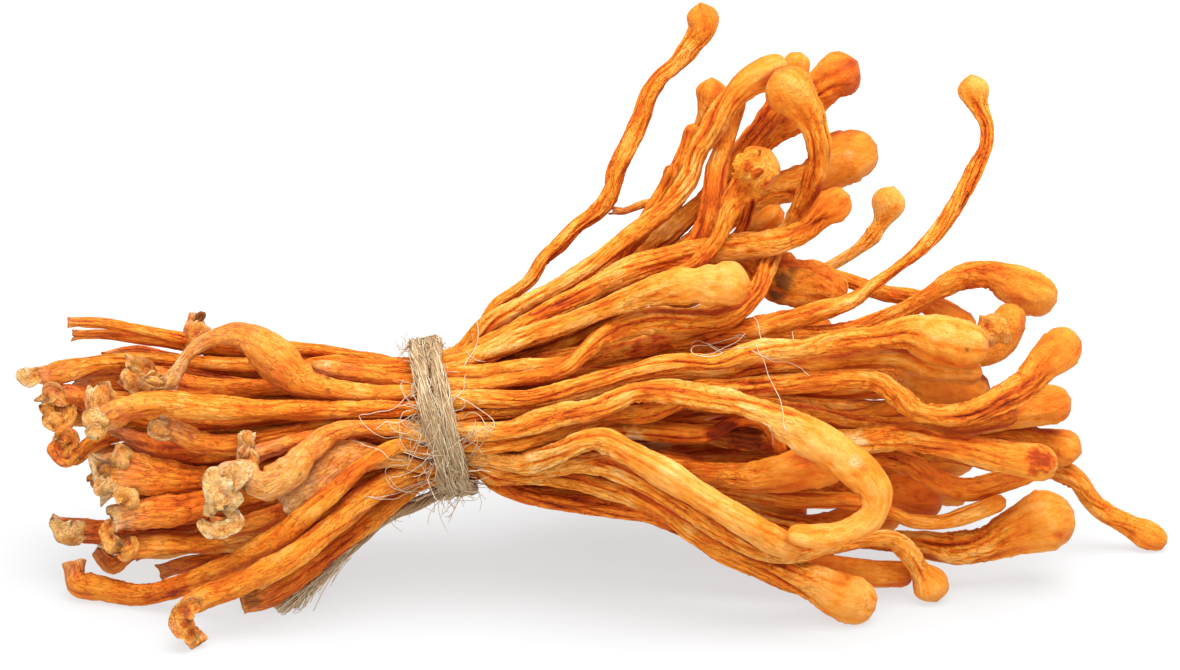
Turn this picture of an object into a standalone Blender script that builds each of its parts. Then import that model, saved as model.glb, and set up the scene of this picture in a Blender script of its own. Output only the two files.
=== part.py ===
"""A bunch of dried cordyceps fruiting bodies, tied round the middle with jute twine and lying down.

Metres, +Z up. The heads point to +X, the cut bases to -X, and the side seen in the picture is -Y.

Every stalk is drawn in the plane of the picture, in millimetres: from its base on the left, through the
tie, to its head on the right. Each point is (right, down, depth, width), with depth positive towards the
eye. The picture looks down a little, so the drawn stalks are turned upright afterwards. Stalks that meet
are then pushed apart, mostly in depth, the lowest ends are bent down to the surface, and the whole bunch
is set over the middle of its footprint.
"""
import math

import bpy
import numpy as np

MM = 0.001

# The picture: its size in millimetres at the tie, and the eye that looks at its middle.
PICTURE_W = 118.0
PICTURE_H = 67.0
EYE_DISTANCE = 400.0
EYE_ELEVATION = math.radians(20.0)
FLOOR_BELOW_MIDDLE = 24.8

# The tie: its middle in the picture, how far its band leans, and the oval that the stalks fill in it.
# Each ring of stalks in it has a count, and its height and depth as shares of the oval's.
TIE_X = 44.0
TIE_Y = 41.75
TIE_LEAN = math.radians(10.4)
OVAL_UP = 7.0
OVAL_DEEP = 9.2
TIE_HALF_LENGTH = 2.4
STALK_AT_TIE = 1.66
RINGS_AT_TIE = ((24, 0.87, 0.91), (18, 0.61, 0.70), (12, 0.35, 0.48), (5, 0.08, 0.26))

# The twine: a strand wound round the oval, from its free start over the top to its tail below.
STRAND_WIDE = 1.6
STRAND_THICK = 1.0
STRAND_TURNS = 2.15
STRAND_PITCH = 1.66
STRAND_SIDES = 6
STRAND_STEPS_PER_TURN = 18
STRAND_CLEAR = 0.22
STRAND_END_ANGLE = math.radians(188.0)
STRAND_TAPER = 0.6
STRAND_TIPS = (0.4, 0.5)
TAIL_OVERLAP = 3

# The stalks' sections: corners round each, the spacing of the samples, and how round a full head is.
SIDES = 7
SAMPLE_STEP = 0.9
SPLINE_STEPS = 12
HEAD_FROM = 1.3
HEAD_FLATNESS = 0.95
LEAST_FLATNESS = 0.7
ARM_FLATNESS = 0.9
TAIL_FLATNESS = 0.8

# Pushing apart: the gap wanted, the least gap left, the rounds, and how easily a push moves a stalk
# right, up and towards the eye.
GAP = 0.24
LEAST_GAP = 0.06
NEAR = 6.0
RELAX_ROUNDS = 200
RING_ROUNDS = 60
SQUEEZE_ROUNDS = 5
PAIR_ROUNDS = 12
MOST_STEP = 0.4
GIVE = np.array([0.14, 0.14, 1.0])

# How much of a shift is kept each round, in the picture's plane early and late, and in depth.
LATE = 0.7
KEEP_EARLY = 0.95
KEEP_LATE = 0.985
KEEP_DEPTH = 0.998

# Rings: how far the straight stretches between them may stray, in front and at the back, and the places
# along the tie that always have one, so that no stalk cuts through the twine.
FRONT_RING_ERROR = 0.40
BACK_RING_ERROR = 0.70
RING_WIDTH_WEIGHT = 0.7
TIE_RINGS = (-3.3, 3.3)
FRONT_STEPS = 14
ALSO_IN_FRONT = ("fork", "folded_head", "far_back", "high_end")

# Ends: the round of a head, its last small ring, and the hollow and tucked rim of a cut base.
ROUNDED_FROM = 1.2
LEAST_RADIUS = 0.4
LEAST_RING = 0.2
CAP_RING = 0.62
CAP_PLACE = 0.3
LEAST_CAP = 0.15
BASE_HOLLOW = 0.35
BASE_TUCK = 0.12
TUCK_REACH = 0.5

# The ends that the bunch lies on, how deep they press, and the stretch that bends down to get there.
RESTING_ENDS = (("drop", "base"), ("dipper", "base"), ("keel", "base"), ("back_prop", "base"),
                ("foot", "head"), ("drop", "head"), ("far_reach", "head"), ("back_prop", "head"),
                ("back_heel", "head"))
SINK = 0.2
REST_BEND = 7.0

# Looks.
TWINE_COLOUR = (0.60, 0.44, 0.27)
STALK_RED, STALK_GREEN, STALK_BLUE = (0.78, 0.90), (0.26, 0.38), (0.035, 0.055)
TINT_STEP = 2.4
STALK_ROUGHNESS = 0.62
TWINE_ROUGHNESS = 0.9
SHARP_ANGLE = math.radians(55)


# Name, place in the tie (ring, and step round it from the top over the front), flatness, then the points
# of the base side, from the cut end to the tie, and of the head side, from the tie to the head's tip.
STALKS = [
    ("top_bend", (0, 0), 0.84,
     [(6.7, 32.2, -1.0, 1.1), (10.0, 32.3, -1.0, 1.2), (14.0, 33.0, -0.8, 1.2),
      (18.0, 33.8, -0.6, 1.2), (23.0, 34.2, -0.2, 1.2), (28.5, 34.5, 0.2, 1.3),
      (34.0, 35.0, 0.6, 1.4), (39.0, 35.5, 0.6, 1.6)],
     [(48.5, 32.4, 0.8, 2.0), (52.0, 30.6, 0.8, 2.0), (56.0, 28.6, 0.6, 2.0),
      (60.0, 26.0, 0.4, 2.1), (63.0, 23.6, 0.2, 2.2), (66.6, 20.8, 0.0, 2.4),
      (68.8, 17.9, 0.0, 2.5), (69.7, 15.2, 0.0, 2.5), (71.2, 12.9, 0.2, 2.8),
      (72.6, 10.6, 0.4, 2.9), (74.6, 8.5, 0.4, 3.1), (76.8, 7.2, 0.2, 3.4),
      (78.8, 6.2, 0.0, 2.8)]),
    ("fork", (0, 23), 0.84,
     [(7.2, 33.5, -2.4, 1.0), (11.0, 33.5, -2.4, 1.1), (15.0, 34.2, -2.2, 1.1),
      (20.0, 35.2, -2.0, 1.1), (28.0, 35.6, -2.0, 1.1), (36.0, 36.0, -2.0, 1.3)],
     [(47.0, 33.0, -2.0, 1.2), (49.2, 30.4, -2.4, 1.2), (51.5, 29.0, -3.0, 1.3),
      (53.1, 27.8, -3.3, 1.4), (54.4, 25.8, -3.6, 1.7), (55.9, 24.5, -3.8, 1.8),
      (57.6, 22.7, -4.0, 1.6), (59.9, 21.0, -4.0, 2.0), (61.0, 19.4, -4.0, 2.0),
      (61.6, 17.3, -4.0, 2.3), (62.8, 14.6, -4.0, 2.2), (64.1, 11.8, -4.0, 2.1),
      (64.8, 9.7, -4.0, 1.9), (65.9, 7.9, -4.0, 1.8), (67.7, 6.3, -4.0, 1.7),
      (69.0, 4.7, -4.0, 2.4), (70.2, 2.8, -4.0, 3.4), (70.1, 0.2, -4.0, 3.3)]),
    ("long_elbow", (0, 1), 0.84,
     [(19.7, 31.3, -3.4, 1.4), (19.5, 32.8, -3.4, 2.5), (19.8, 34.1, -3.4, 2.0),
      (22.4, 35.6, -3.0, 1.4), (27.0, 36.3, -2.0, 1.4), (34.0, 36.3, 0.4, 1.5),
      (39.0, 36.6, 1.6, 1.6)],
     [(48.5, 33.8, 2.0, 1.8), (52.0, 32.3, 1.8, 2.0), (57.0, 30.0, 1.6, 2.0),
      (62.0, 27.7, 1.4, 2.2), (66.0, 26.4, 1.2, 2.4), (70.0, 25.4, 1.2, 2.6),
      (74.0, 24.8, 1.4, 2.6), (77.6, 24.2, 1.6, 2.5), (80.3, 23.2, 1.8, 2.4),
      (82.0, 21.6, 1.8, 3.0), (83.6, 20.3, 1.8, 4.0), (84.9, 19.5, 1.8, 3.6)]),
    ("front_club", (0, 2), 0.84,
     [(2.2, 37.5, -2.6, 1.2), (4.6, 37.5, -2.6, 1.9), (8.0, 36.8, -2.4, 1.9),
      (11.0, 36.2, -2.2, 1.6), (15.0, 35.9, -2.0, 1.3), (22.0, 36.5, -1.4, 1.3),
      (30.0, 36.9, 0.0, 1.4), (38.0, 37.1, 2.6, 1.5)],
     [(48.5, 35.1, 4.2, 1.9), (52.0, 34.1, 4.6, 1.9), (56.0, 32.9, 5.4, 1.9),
      (60.0, 31.3, 6.4, 1.9), (63.0, 30.1, 7.2, 2.4), (66.0, 29.1, 7.8, 3.0),
      (69.0, 28.6, 8.0, 4.2), (72.0, 28.5, 8.0, 4.8), (75.1, 28.2, 8.0, 4.0)]),
    ("swan_neck", (0, 3), 0.84,
     [(31.4, 36.2, 3.4, 1.8), (33.0, 36.4, 3.8, 2.2), (35.5, 36.9, 4.4, 2.2),
      (39.0, 37.6, 5.0, 2.0)],
     [(48.3, 37.3, 5.0, 1.5), (51.5, 36.7, 4.4, 1.4), (56.0, 36.2, 3.4, 1.5),
      (62.0, 35.0, 2.6, 1.7), (68.0, 33.8, 2.4, 2.0), (74.0, 33.0, 3.2, 2.3),
      (78.0, 32.2, 3.8, 2.4), (82.0, 31.1, 4.0, 2.2), (85.2, 30.1, 3.8, 1.8),
      (87.2, 28.6, 3.4, 1.4), (89.6, 26.9, 3.0, 1.4), (92.2, 24.8, 2.6, 1.5),
      (94.4, 22.3, 2.2, 1.8), (96.1, 19.6, 1.8, 1.9), (97.5, 16.8, 1.6, 1.9),
      (98.6, 14.4, 1.4, 1.5), (98.6, 12.4, 1.2, 1.4), (97.9, 10.8, 1.0, 2.0),
      (97.4, 9.4, 0.8, 3.4), (97.1, 7.4, 0.6, 3.4)]),
    ("high_loop", (0, 4), 0.72,
     [(16.6, 38.6, 4.6, 2.2), (17.7, 37.1, 4.6, 1.6), (18.8, 35.4, 4.8, 1.2),
      (20.4, 34.2, 5.0, 1.6), (22.6, 33.6, 5.4, 2.2), (24.8, 34.0, 5.8, 3.4),
      (26.8, 35.4, 6.2, 4.2), (28.8, 37.0, 6.4, 4.2), (31.0, 38.2, 6.4, 3.2),
      (34.0, 38.9, 6.6, 2.3), (38.5, 39.3, 6.8, 1.9)],
     [(47.8, 38.6, 6.8, 1.5), (51.0, 38.0, 6.8, 1.5), (54.0, 37.5, 7.0, 1.6),
      (56.5, 36.6, 7.2, 1.7), (58.4, 35.0, 7.2, 1.8), (60.2, 33.5, 7.0, 2.1),
      (62.5, 32.5, 6.6, 2.4), (65.5, 32.1, 6.0, 2.6), (69.0, 32.1, 5.4, 2.7),
      (72.0, 31.9, 4.8, 2.8), (74.3, 30.6, 4.2, 2.8), (75.9, 28.7, 3.2, 2.7),
      (76.8, 26.6, 1.2, 2.6), (77.8, 24.4, -1.0, 2.4), (79.3, 22.2, -1.0, 2.5),
      (80.7, 19.8, 0.6, 2.8), (81.6, 17.2, 2.4, 2.9), (81.9, 14.8, 3.6, 2.9),
      (81.2, 12.3, 4.2, 3.0), (80.1, 10.4, 4.4, 4.2), (78.9, 8.8, 4.4, 5.2),
      (77.6, 6.9, 4.4, 4.6)]),
    ("long_upper", (0, 5), 0.84,
     [(8.9, 42.5, 6.6, 2.3), (11.0, 41.6, 6.8, 2.7), (13.2, 40.7, 7.2, 2.6),
      (16.0, 40.2, 7.6, 2.5), (20.0, 40.5, 8.0, 2.4), (28.0, 40.8, 8.2, 2.1),
      (34.0, 40.8, 8.2, 1.9), (39.0, 40.7, 8.2, 1.8)],
     [(48.5, 39.9, 8.4, 1.7), (53.0, 39.8, 8.8, 1.7), (58.0, 38.6, 9.2, 1.7),
      (63.0, 37.2, 9.4, 1.7), (68.0, 36.2, 9.4, 1.7), (72.0, 36.1, 9.4, 1.7),
      (76.0, 35.0, 9.2, 1.9), (80.0, 34.9, 9.0, 1.9), (84.0, 34.1, 8.8, 2.2),
      (88.0, 33.8, 8.6, 2.4), (90.6, 33.4, 8.4, 3.2), (93.6, 33.9, 8.4, 4.9),
      (98.9, 34.9, 8.4, 4.9)]),
    ("long_lower", (0, 6), 0.84,
     [(15.6, 42.7, 5.4, 2.4), (17.5, 43.2, 5.6, 2.5), (20.0, 44.2, 6.0, 2.4),
      (24.0, 44.4, 6.6, 2.2), (29.0, 43.4, 7.2, 1.8), (34.0, 42.4, 7.8, 1.5),
      (39.0, 42.3, 8.2, 1.5)],
     [(48.5, 41.1, 8.0, 1.6), (53.0, 40.9, 7.8, 1.6), (58.0, 40.0, 7.6, 1.6),
      (63.0, 38.6, 7.4, 1.7), (68.0, 37.6, 7.4, 1.8), (73.0, 37.4, 7.2, 1.9),
      (77.5, 36.6, 7.0, 1.9), (82.0, 36.4, 6.8, 2.2), (86.5, 35.9, 6.4, 2.3),
      (90.0, 35.8, 6.0, 2.4), (93.0, 36.7, 5.6, 2.6), (98.3, 37.3, 5.2, 2.4)]),
    ("strap_loop", (0, 7), 0.66,
     [(22.3, 50.6, 9.6, 2.6), (22.7, 48.2, 9.8, 3.2), (24.3, 47.6, 10.0, 3.4),
      (26.4, 48.4, 10.4, 3.6), (29.0, 47.2, 10.4, 3.6), (31.2, 44.9, 10.0, 2.6),
      (34.2, 43.2, 9.4, 1.9), (39.0, 43.4, 8.8, 1.6)],
     [(48.5, 43.5, 9.4, 2.0), (52.0, 43.2, 9.8, 2.0), (56.0, 41.8, 10.2, 2.2),
      (60.0, 40.9, 10.4, 2.2), (63.5, 39.3, 10.4, 2.2), (66.5, 39.2, 10.4, 2.3),
      (70.0, 39.8, 10.8, 2.4), (74.0, 40.5, 11.4, 2.5), (77.5, 41.8, 12.0, 3.0),
      (80.5, 43.5, 12.4, 3.8), (83.6, 45.3, 12.6, 4.2), (86.0, 47.2, 12.8, 4.2),
      (87.5, 49.3, 12.8, 3.8), (87.2, 51.5, 12.8, 3.0), (85.0, 53.1, 12.8, 2.7),
      (81.8, 53.7, 12.8, 2.7), (78.6, 53.3, 12.8, 2.4)]),
    ("dipper", (0, 8), 0.80,
     [(6.8, 56.2, 4.2, 2.6), (7.4, 58.2, 4.6, 3.4), (9.6, 58.8, 5.2, 2.9), (13.5, 59.4, 6.2, 2.7),
      (17.0, 58.7, 7.2, 2.6), (20.5, 57.6, 8.2, 2.5), (24.0, 56.1, 9.2, 2.4),
      (28.0, 53.9, 10.2, 2.3), (31.0, 51.4, 10.8, 2.2), (33.5, 49.1, 10.8, 2.1),
      (36.0, 46.9, 10.2, 1.8), (39.5, 44.8, 9.2, 1.6)],
     [(48.5, 45.0, 8.2, 1.6), (52.5, 44.6, 8.0, 1.7), (57.0, 43.1, 8.0, 1.7),
      (61.0, 41.9, 8.2, 1.7), (64.5, 41.4, 8.6, 1.8), (67.5, 40.2, 8.8, 1.8),
      (70.0, 38.9, 8.8, 2.0), (73.0, 38.9, 8.4, 2.0), (77.0, 38.6, 8.0, 2.1),
      (81.0, 38.2, 7.8, 2.1), (84.5, 37.9, 7.6, 2.2), (87.6, 38.1, 7.4, 2.2),
      (89.6, 39.4, 7.6, 2.3), (91.4, 40.9, 8.0, 2.4), (94.0, 41.5, 8.2, 2.3),
      (97.0, 41.3, 8.2, 2.4), (99.8, 40.2, 8.0, 2.8), (102.6, 38.5, 7.6, 3.2),
      (104.4, 36.5, 7.2, 4.0), (105.9, 35.0, 6.8, 4.9), (107.5, 33.2, 6.4, 4.2)]),
    ("knee", (0, 9), 0.66,
     [(28.4, 51.0, 9.0, 3.2), (30.4, 49.3, 9.2, 4.4), (32.6, 47.3, 9.2, 4.6),
      (35.2, 45.7, 9.0, 3.8), (39.0, 45.4, 8.4, 2.4)],
     [(48.5, 46.6, 8.0, 2.2), (52.5, 46.1, 9.0, 2.2), (56.0, 44.9, 10.0, 2.1),
      (58.7, 43.9, 10.8, 2.3), (60.6, 44.1, 11.2, 2.6), (63.0, 45.4, 11.6, 2.8),
      (66.5, 47.4, 11.8, 3.0), (70.0, 49.6, 11.8, 2.9), (74.0, 52.0, 11.6, 2.9),
      (77.2, 53.9, 10.2, 3.1), (80.2, 55.0, 9.0, 2.6)]),
    ("drop", (0, 10), 0.80,
     [(19.8, 64.4, 13.4, 1.8), (18.4, 62.6, 13.0, 2.2), (18.4, 60.9, 12.6, 2.4),
      (20.2, 59.6, 12.2, 2.6), (23.0, 58.5, 11.8, 2.6), (26.5, 56.8, 11.6, 2.5),
      (30.0, 54.6, 11.4, 2.4), (33.0, 52.2, 11.0, 2.4), (36.0, 49.8, 10.2, 2.4),
      (39.5, 47.8, 8.6, 2.2)],
     [(48.5, 48.0, 6.6, 1.8), (53.0, 47.6, 7.4, 1.8), (57.0, 46.6, 8.4, 1.8),
      (60.5, 46.7, 9.2, 1.9), (64.0, 48.1, 10.0, 2.0), (68.0, 50.4, 10.6, 2.0),
      (72.0, 53.0, 10.4, 2.0), (76.0, 55.0, 9.4, 2.0), (79.5, 55.4, 7.8, 1.9),
      (83.0, 54.7, 6.0, 1.9), (86.5, 54.0, 4.6, 1.9), (89.2, 53.9, 3.6, 1.9),
      (90.8, 55.2, 2.8, 2.0), (92.0, 56.9, 2.0, 2.8), (93.1, 58.4, 1.4, 4.0),
      (93.7, 60.3, 1.0, 3.9)]),
    ("foot", (0, 11), 0.84,
     [(25.8, 58.6, 6.2, 1.4), (29.0, 56.2, 6.6, 1.4), (33.0, 53.2, 7.0, 1.4),
      (37.0, 50.4, 6.4, 1.4), (40.0, 48.9, 5.0, 1.4)],
     [(48.5, 48.8, 4.2, 1.5), (54.0, 48.6, 4.8, 1.6), (59.0, 48.8, 6.0, 1.8),
      (63.0, 49.6, 7.4, 1.9), (66.5, 51.2, 8.6, 2.0), (69.0, 53.0, 9.2, 2.2),
      (71.5, 54.6, 9.4, 2.5), (75.0, 56.2, 9.4, 2.7), (78.5, 57.4, 9.0, 3.0),
      (81.6, 58.3, 8.6, 3.6), (84.0, 59.5, 8.2, 4.8), (87.7, 61.0, 7.8, 4.8)]),
    ("keel", (0, 12), 0.84,
     [(23.8, 60.2, 3.2, 2.6), (26.2, 59.4, 3.6, 3.0), (28.8, 58.0, 4.0, 2.8),
      (32.0, 55.7, 4.2, 2.4), (35.5, 53.2, 3.8, 2.2), (39.5, 50.4, 2.6, 1.8)],
     [(48.5, 49.2, 1.0, 1.6), (54.0, 50.1, 1.4, 1.8), (60.0, 50.6, 2.0, 1.9),
      (65.0, 51.2, 2.8, 1.9), (69.0, 52.9, 3.4, 2.0), (73.0, 54.4, 3.2, 2.2),
      (78.0, 55.9, 2.4, 2.6), (83.0, 56.9, 1.4, 2.8), (87.4, 57.4, 0.4, 2.8),
      (91.4, 57.4, -0.6, 2.6)]),
    ("keel_back", (0, 13), 0.84,
     [(29.2, 57.6, -1.0, 1.6), (33.0, 55.4, -1.0, 1.6), (37.0, 52.6, -1.2, 1.6),
      (40.0, 50.6, -1.8, 1.5)],
     [(48.5, 49.0, -2.0, 1.5), (55.0, 49.6, -1.8, 1.6), (61.0, 50.0, -1.6, 1.8),
      (66.0, 50.8, -1.6, 1.9), (71.0, 52.2, -2.0, 2.0), (76.0, 53.4, -2.8, 2.4),
      (80.0, 53.8, -3.6, 3.2), (84.0, 53.6, -4.2, 3.2)]),
    ("inner_fold", (1, 0), 0.84,
     [(10.4, 35.7, -4.6, 1.1), (13.5, 35.0, -4.6, 1.1), (16.5, 35.5, -4.6, 1.1),
      (22.0, 36.8, -4.2, 1.1), (30.0, 37.6, -3.0, 1.3), (38.0, 38.0, -1.0, 1.4)],
     [(48.5, 34.6, 0.0, 1.6), (53.0, 32.6, -0.4, 1.7), (58.0, 30.4, -0.4, 1.8),
      (63.0, 28.4, -0.2, 1.9), (67.0, 26.4, 0.2, 2.0), (69.6, 24.4, 0.6, 2.2),
      (70.8, 22.2, 0.8, 2.3), (71.3, 19.8, 0.6, 2.3), (71.7, 17.2, -0.2, 2.2),
      (72.4, 14.6, -1.6, 1.9), (73.2, 12.0, -2.6, 1.7), (73.6, 9.6, -3.0, 2.2),
      (73.6, 8.2, -3.0, 2.0)]),
    ("folded_head", (1, 1), 0.84,
     [(12.3, 37.2, 0.8, 2.6), (14.6, 37.7, 0.8, 3.2), (17.6, 38.4, 0.4, 2.6),
      (22.0, 38.8, 0.6, 2.0), (28.0, 38.8, 1.4, 1.7), (36.0, 38.9, 2.6, 1.5)],
     [(48.5, 35.6, 2.0, 1.5), (54.0, 33.2, 1.2, 1.6), (60.0, 30.6, 0.6, 1.7),
      (65.5, 28.0, 0.6, 1.8), (69.5, 25.9, 1.6, 1.8), (71.8, 23.6, 2.2, 1.8),
      (72.7, 21.4, 2.4, 1.9), (73.8, 19.3, 2.4, 2.8), (75.2, 17.4, 2.2, 4.2),
      (77.0, 14.9, 2.0, 4.2)]),
    ("under_elbow", (1, 2), 0.84,
     [(7.5, 38.6, -4.2, 1.9), (11.0, 38.2, -4.0, 2.4), (15.0, 38.6, -3.6, 2.3),
      (21.0, 39.2, -3.0, 1.9), (28.0, 39.2, -2.0, 1.7), (36.0, 39.4, 0.2, 1.5)],
     [(48.5, 35.6, 0.4, 1.6), (54.0, 33.6, -0.6, 1.7), (60.0, 30.0, -1.0, 1.9),
      (65.0, 27.0, -1.8, 2.0), (70.0, 25.2, -2.4, 2.2), (74.0, 25.2, -2.8, 2.6),
      (76.6, 27.0, -2.8, 4.2), (79.4, 28.2, -2.6, 5.0), (82.2, 28.8, -2.4, 4.4),
      (84.6, 30.0, -2.2, 3.2)]),
    ("horned", (1, 3), 0.84,
     [(9.4, 38.6, 3.2, 1.3), (9.3, 40.2, 3.6, 1.8), (10.3, 41.2, 3.6, 1.8), (11.9, 40.4, 2.8, 1.7),
      (14.0, 41.6, 1.4, 1.7), (18.0, 42.2, 1.2, 1.7), (26.0, 41.9, 2.0, 1.6),
      (36.0, 41.0, 3.8, 1.5)],
     [(48.5, 37.4, 2.6, 1.6), (56.0, 35.8, 0.6, 1.7), (64.0, 34.6, -1.4, 1.7),
      (72.0, 34.2, -2.6, 1.8), (80.0, 33.8, -3.6, 1.9), (85.0, 33.2, -4.2, 2.0),
      (88.5, 32.0, -4.6, 2.0), (91.5, 30.5, -5.0, 2.1), (94.2, 28.8, -5.2, 2.3),
      (96.6, 27.7, -5.4, 2.5), (98.8, 27.5, -5.4, 2.9), (101.0, 28.3, -5.4, 4.0),
      (103.2, 29.3, -5.4, 4.4), (105.7, 30.2, -5.4, 4.0)]),
    ("speckled", (1, 4), 0.84,
     [(4.0, 40.9, -2.6, 1.6), (6.0, 39.7, -2.6, 2.5), (10.0, 40.1, -2.4, 2.5),
      (15.0, 40.6, -1.8, 2.1), (22.0, 40.6, -1.0, 1.7), (32.0, 40.4, 1.4, 1.5),
      (38.0, 40.4, 3.0, 1.5)],
     [(48.5, 38.6, 4.0, 1.6), (56.0, 37.6, 3.0, 1.7), (64.0, 36.4, 2.0, 1.7),
      (72.0, 35.6, 1.4, 1.8), (80.0, 35.4, 0.8, 1.8), (87.0, 35.2, 0.4, 2.0),
      (93.0, 35.3, 0.2, 2.2), (97.5, 35.3, 0.0, 2.8), (99.9, 34.2, 0.0, 3.8),
      (101.6, 30.4, 0.0, 3.7)]),
    ("speckled_low", (1, 5), 0.84,
     [(10.8, 42.7, 1.6, 1.6), (13.0, 44.0, 2.0, 2.1), (16.0, 45.4, 2.8, 2.5),
      (20.0, 46.0, 3.4, 2.4), (25.0, 45.6, 4.0, 2.0), (31.0, 44.2, 4.8, 1.7),
      (38.0, 42.8, 5.6, 1.5)],
     [(48.5, 41.2, 6.0, 1.6), (56.0, 41.0, 5.4, 1.7), (64.0, 40.4, 5.0, 1.7),
      (72.0, 40.8, 4.6, 1.8), (80.0, 41.4, 4.0, 1.8), (87.0, 42.6, 3.8, 1.8),
      (93.0, 42.9, 3.8, 2.0), (97.0, 42.5, 4.0, 2.2), (101.9, 41.1, 4.2, 2.3)]),
    ("torn_edge", (1, 6), 0.84,
     [(24.6, 43.1, 8.4, 1.4), (24.7, 45.4, 8.6, 2.3), (26.6, 45.0, 8.4, 2.0),
      (29.4, 44.2, 8.2, 1.7), (33.5, 43.4, 7.8, 1.5), (38.5, 43.4, 6.8, 1.5)],
     [(48.5, 42.9, 5.8, 1.5), (55.0, 43.2, 5.2, 1.6), (60.0, 42.9, 4.8, 1.7),
      (64.5, 43.0, 4.6, 1.9), (68.5, 43.3, 4.6, 2.0), (71.2, 43.2, 4.6, 1.7),
      (73.6, 42.0, 4.6, 1.5), (76.0, 42.0, 4.6, 1.5), (77.6, 43.6, 4.6, 1.5),
      (78.4, 45.6, 4.6, 1.4)]),
    ("crumpled", (1, 7), 0.84,
     [(10.8, 51.9, 4.2, 2.2), (13.8, 51.5, 4.6, 3.0), (18.0, 51.2, 5.2, 3.2),
      (22.0, 50.5, 5.8, 2.7), (27.5, 49.4, 6.6, 2.2), (33.5, 47.6, 7.0, 1.8),
      (39.0, 45.8, 6.4, 1.5)],
     [(48.5, 44.6, 5.4, 1.5), (56.0, 45.2, 5.8, 1.6), (62.0, 45.9, 6.2, 1.7),
      (66.5, 46.5, 6.4, 2.0), (70.5, 47.1, 6.4, 2.3), (74.5, 47.6, 6.4, 2.8),
      (78.0, 47.2, 6.4, 4.0), (81.0, 46.6, 6.4, 4.4), (84.6, 46.8, 6.4, 4.0)]),
    ("twin_upper", (1, 8), 0.84,
     [(21.0, 52.6, 7.4, 1.6), (23.6, 52.6, 7.8, 2.0), (27.0, 51.8, 8.4, 2.1),
      (30.5, 50.2, 8.4, 1.9), (34.0, 48.0, 7.8, 1.7), (39.0, 46.4, 6.2, 1.5)],
     [(48.5, 46.0, 4.2, 1.5), (56.0, 46.6, 4.2, 1.6), (64.0, 47.8, 4.0, 1.7),
      (72.0, 49.0, 3.4, 1.8), (79.0, 50.0, 2.8, 1.8), (85.5, 50.2, 2.4, 1.7),
      (88.6, 50.9, 2.0, 1.5), (91.0, 52.0, 1.6, 1.4), (94.2, 52.2, 1.4, 1.5),
      (97.6, 51.2, 1.4, 1.9), (100.6, 49.9, 1.4, 2.0)]),
    ("twin_club", (1, 9), 0.84,
     [(10.0, 54.0, 2.8, 2.2), (12.8, 54.6, 2.8, 2.6), (16.5, 54.4, 3.0, 2.4),
      (20.5, 54.4, 3.2, 2.0), (26.5, 53.4, 3.6, 1.8), (33.5, 50.4, 4.0, 1.6),
      (39.5, 47.8, 3.4, 1.5)],
     [(48.5, 47.2, 2.2, 1.5), (56.0, 48.0, 2.2, 1.6), (64.0, 49.2, 2.0, 1.8),
      (72.0, 51.2, 1.4, 1.9), (79.0, 52.8, 0.4, 2.0), (86.0, 53.9, -0.6, 2.0),
      (91.0, 54.4, -1.2, 2.4), (95.0, 54.8, -1.4, 3.0), (98.6, 54.3, -1.4, 3.6),
      (101.4, 53.2, -1.4, 4.8), (104.2, 52.2, -1.4, 6.2), (107.4, 51.1, -1.4, 5.6)]),
    ("under_twin", (1, 10), 0.84,
     [(15.8, 57.3, -2.4, 1.4), (18.6, 56.5, -2.4, 1.7), (22.5, 55.8, -2.0, 1.7),
      (29.0, 53.5, -1.4, 1.5), (36.0, 50.0, -0.6, 1.4)],
     [(48.5, 47.4, -0.4, 1.5), (56.0, 47.6, 0.0, 1.6), (64.0, 47.4, 0.4, 1.7),
      (72.0, 46.8, 0.6, 1.8), (80.0, 46.2, 0.8, 1.9), (86.0, 45.8, 1.0, 2.0),
      (90.5, 46.2, 1.0, 2.2), (94.0, 48.2, 1.0, 2.4), (97.0, 49.0, 0.8, 2.4),
      (100.0, 48.2, 0.6, 2.2), (103.6, 47.2, 0.4, 2.0)]),
    ("rough_end", (2, 3), 0.84,
     [(10.0, 47.7, 2.8, 3.4), (12.8, 47.0, 3.2, 4.2), (16.0, 47.1, 3.4, 3.4),
      (20.0, 46.9, 3.6, 2.6), (24.5, 46.0, 3.4, 2.0), (32.0, 44.8, 3.2, 1.6),
      (38.5, 43.8, 3.0, 1.5)],
     [(48.5, 42.2, 3.2, 1.5), (56.0, 42.6, 2.6, 1.6), (64.0, 43.0, 2.2, 1.8),
      (72.0, 43.6, 2.4, 2.0), (80.0, 44.2, 3.4, 2.2), (86.0, 44.0, 4.6, 2.6),
      (90.5, 43.7, 5.6, 2.8), (94.5, 44.3, 6.2, 3.0), (98.5, 45.2, 6.2, 2.9),
      (102.0, 45.9, 6.0, 3.4), (105.8, 46.6, 5.6, 3.8)]),
    ("far_reach", (2, 6), 0.84,
     [(9.8, 54.8, -5.4, 1.5), (11.2, 56.4, -5.6, 2.2), (13.4, 55.2, -5.4, 1.9),
      (18.0, 53.8, -5.0, 1.6), (27.0, 51.4, -4.0, 1.5), (36.0, 48.2, -2.6, 1.4)],
     [(48.5, 45.4, -1.2, 1.5), (58.0, 45.4, -2.0, 1.6), (68.0, 45.0, -3.0, 1.7),
      (78.0, 44.6, -4.0, 1.7), (88.0, 44.8, -5.2, 1.7), (96.0, 45.6, -6.6, 1.8),
      (102.0, 46.7, -7.6, 2.0), (105.8, 47.0, -8.4, 2.3), (107.8, 48.1, -8.8, 2.2),
      (109.3, 50.0, -9.2, 2.1), (111.0, 51.4, -9.4, 2.0), (112.9, 52.4, -9.6, 2.0),
      (114.8, 53.4, -9.8, 3.0), (116.9, 54.3, -10.0, 2.8)]),
    ("reddish", (2, 5), 0.84,
     [(5.1, 52.1, -3.0, 1.1), (7.2, 52.8, -3.0, 2.0), (10.5, 53.2, -2.8, 2.2),
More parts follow.
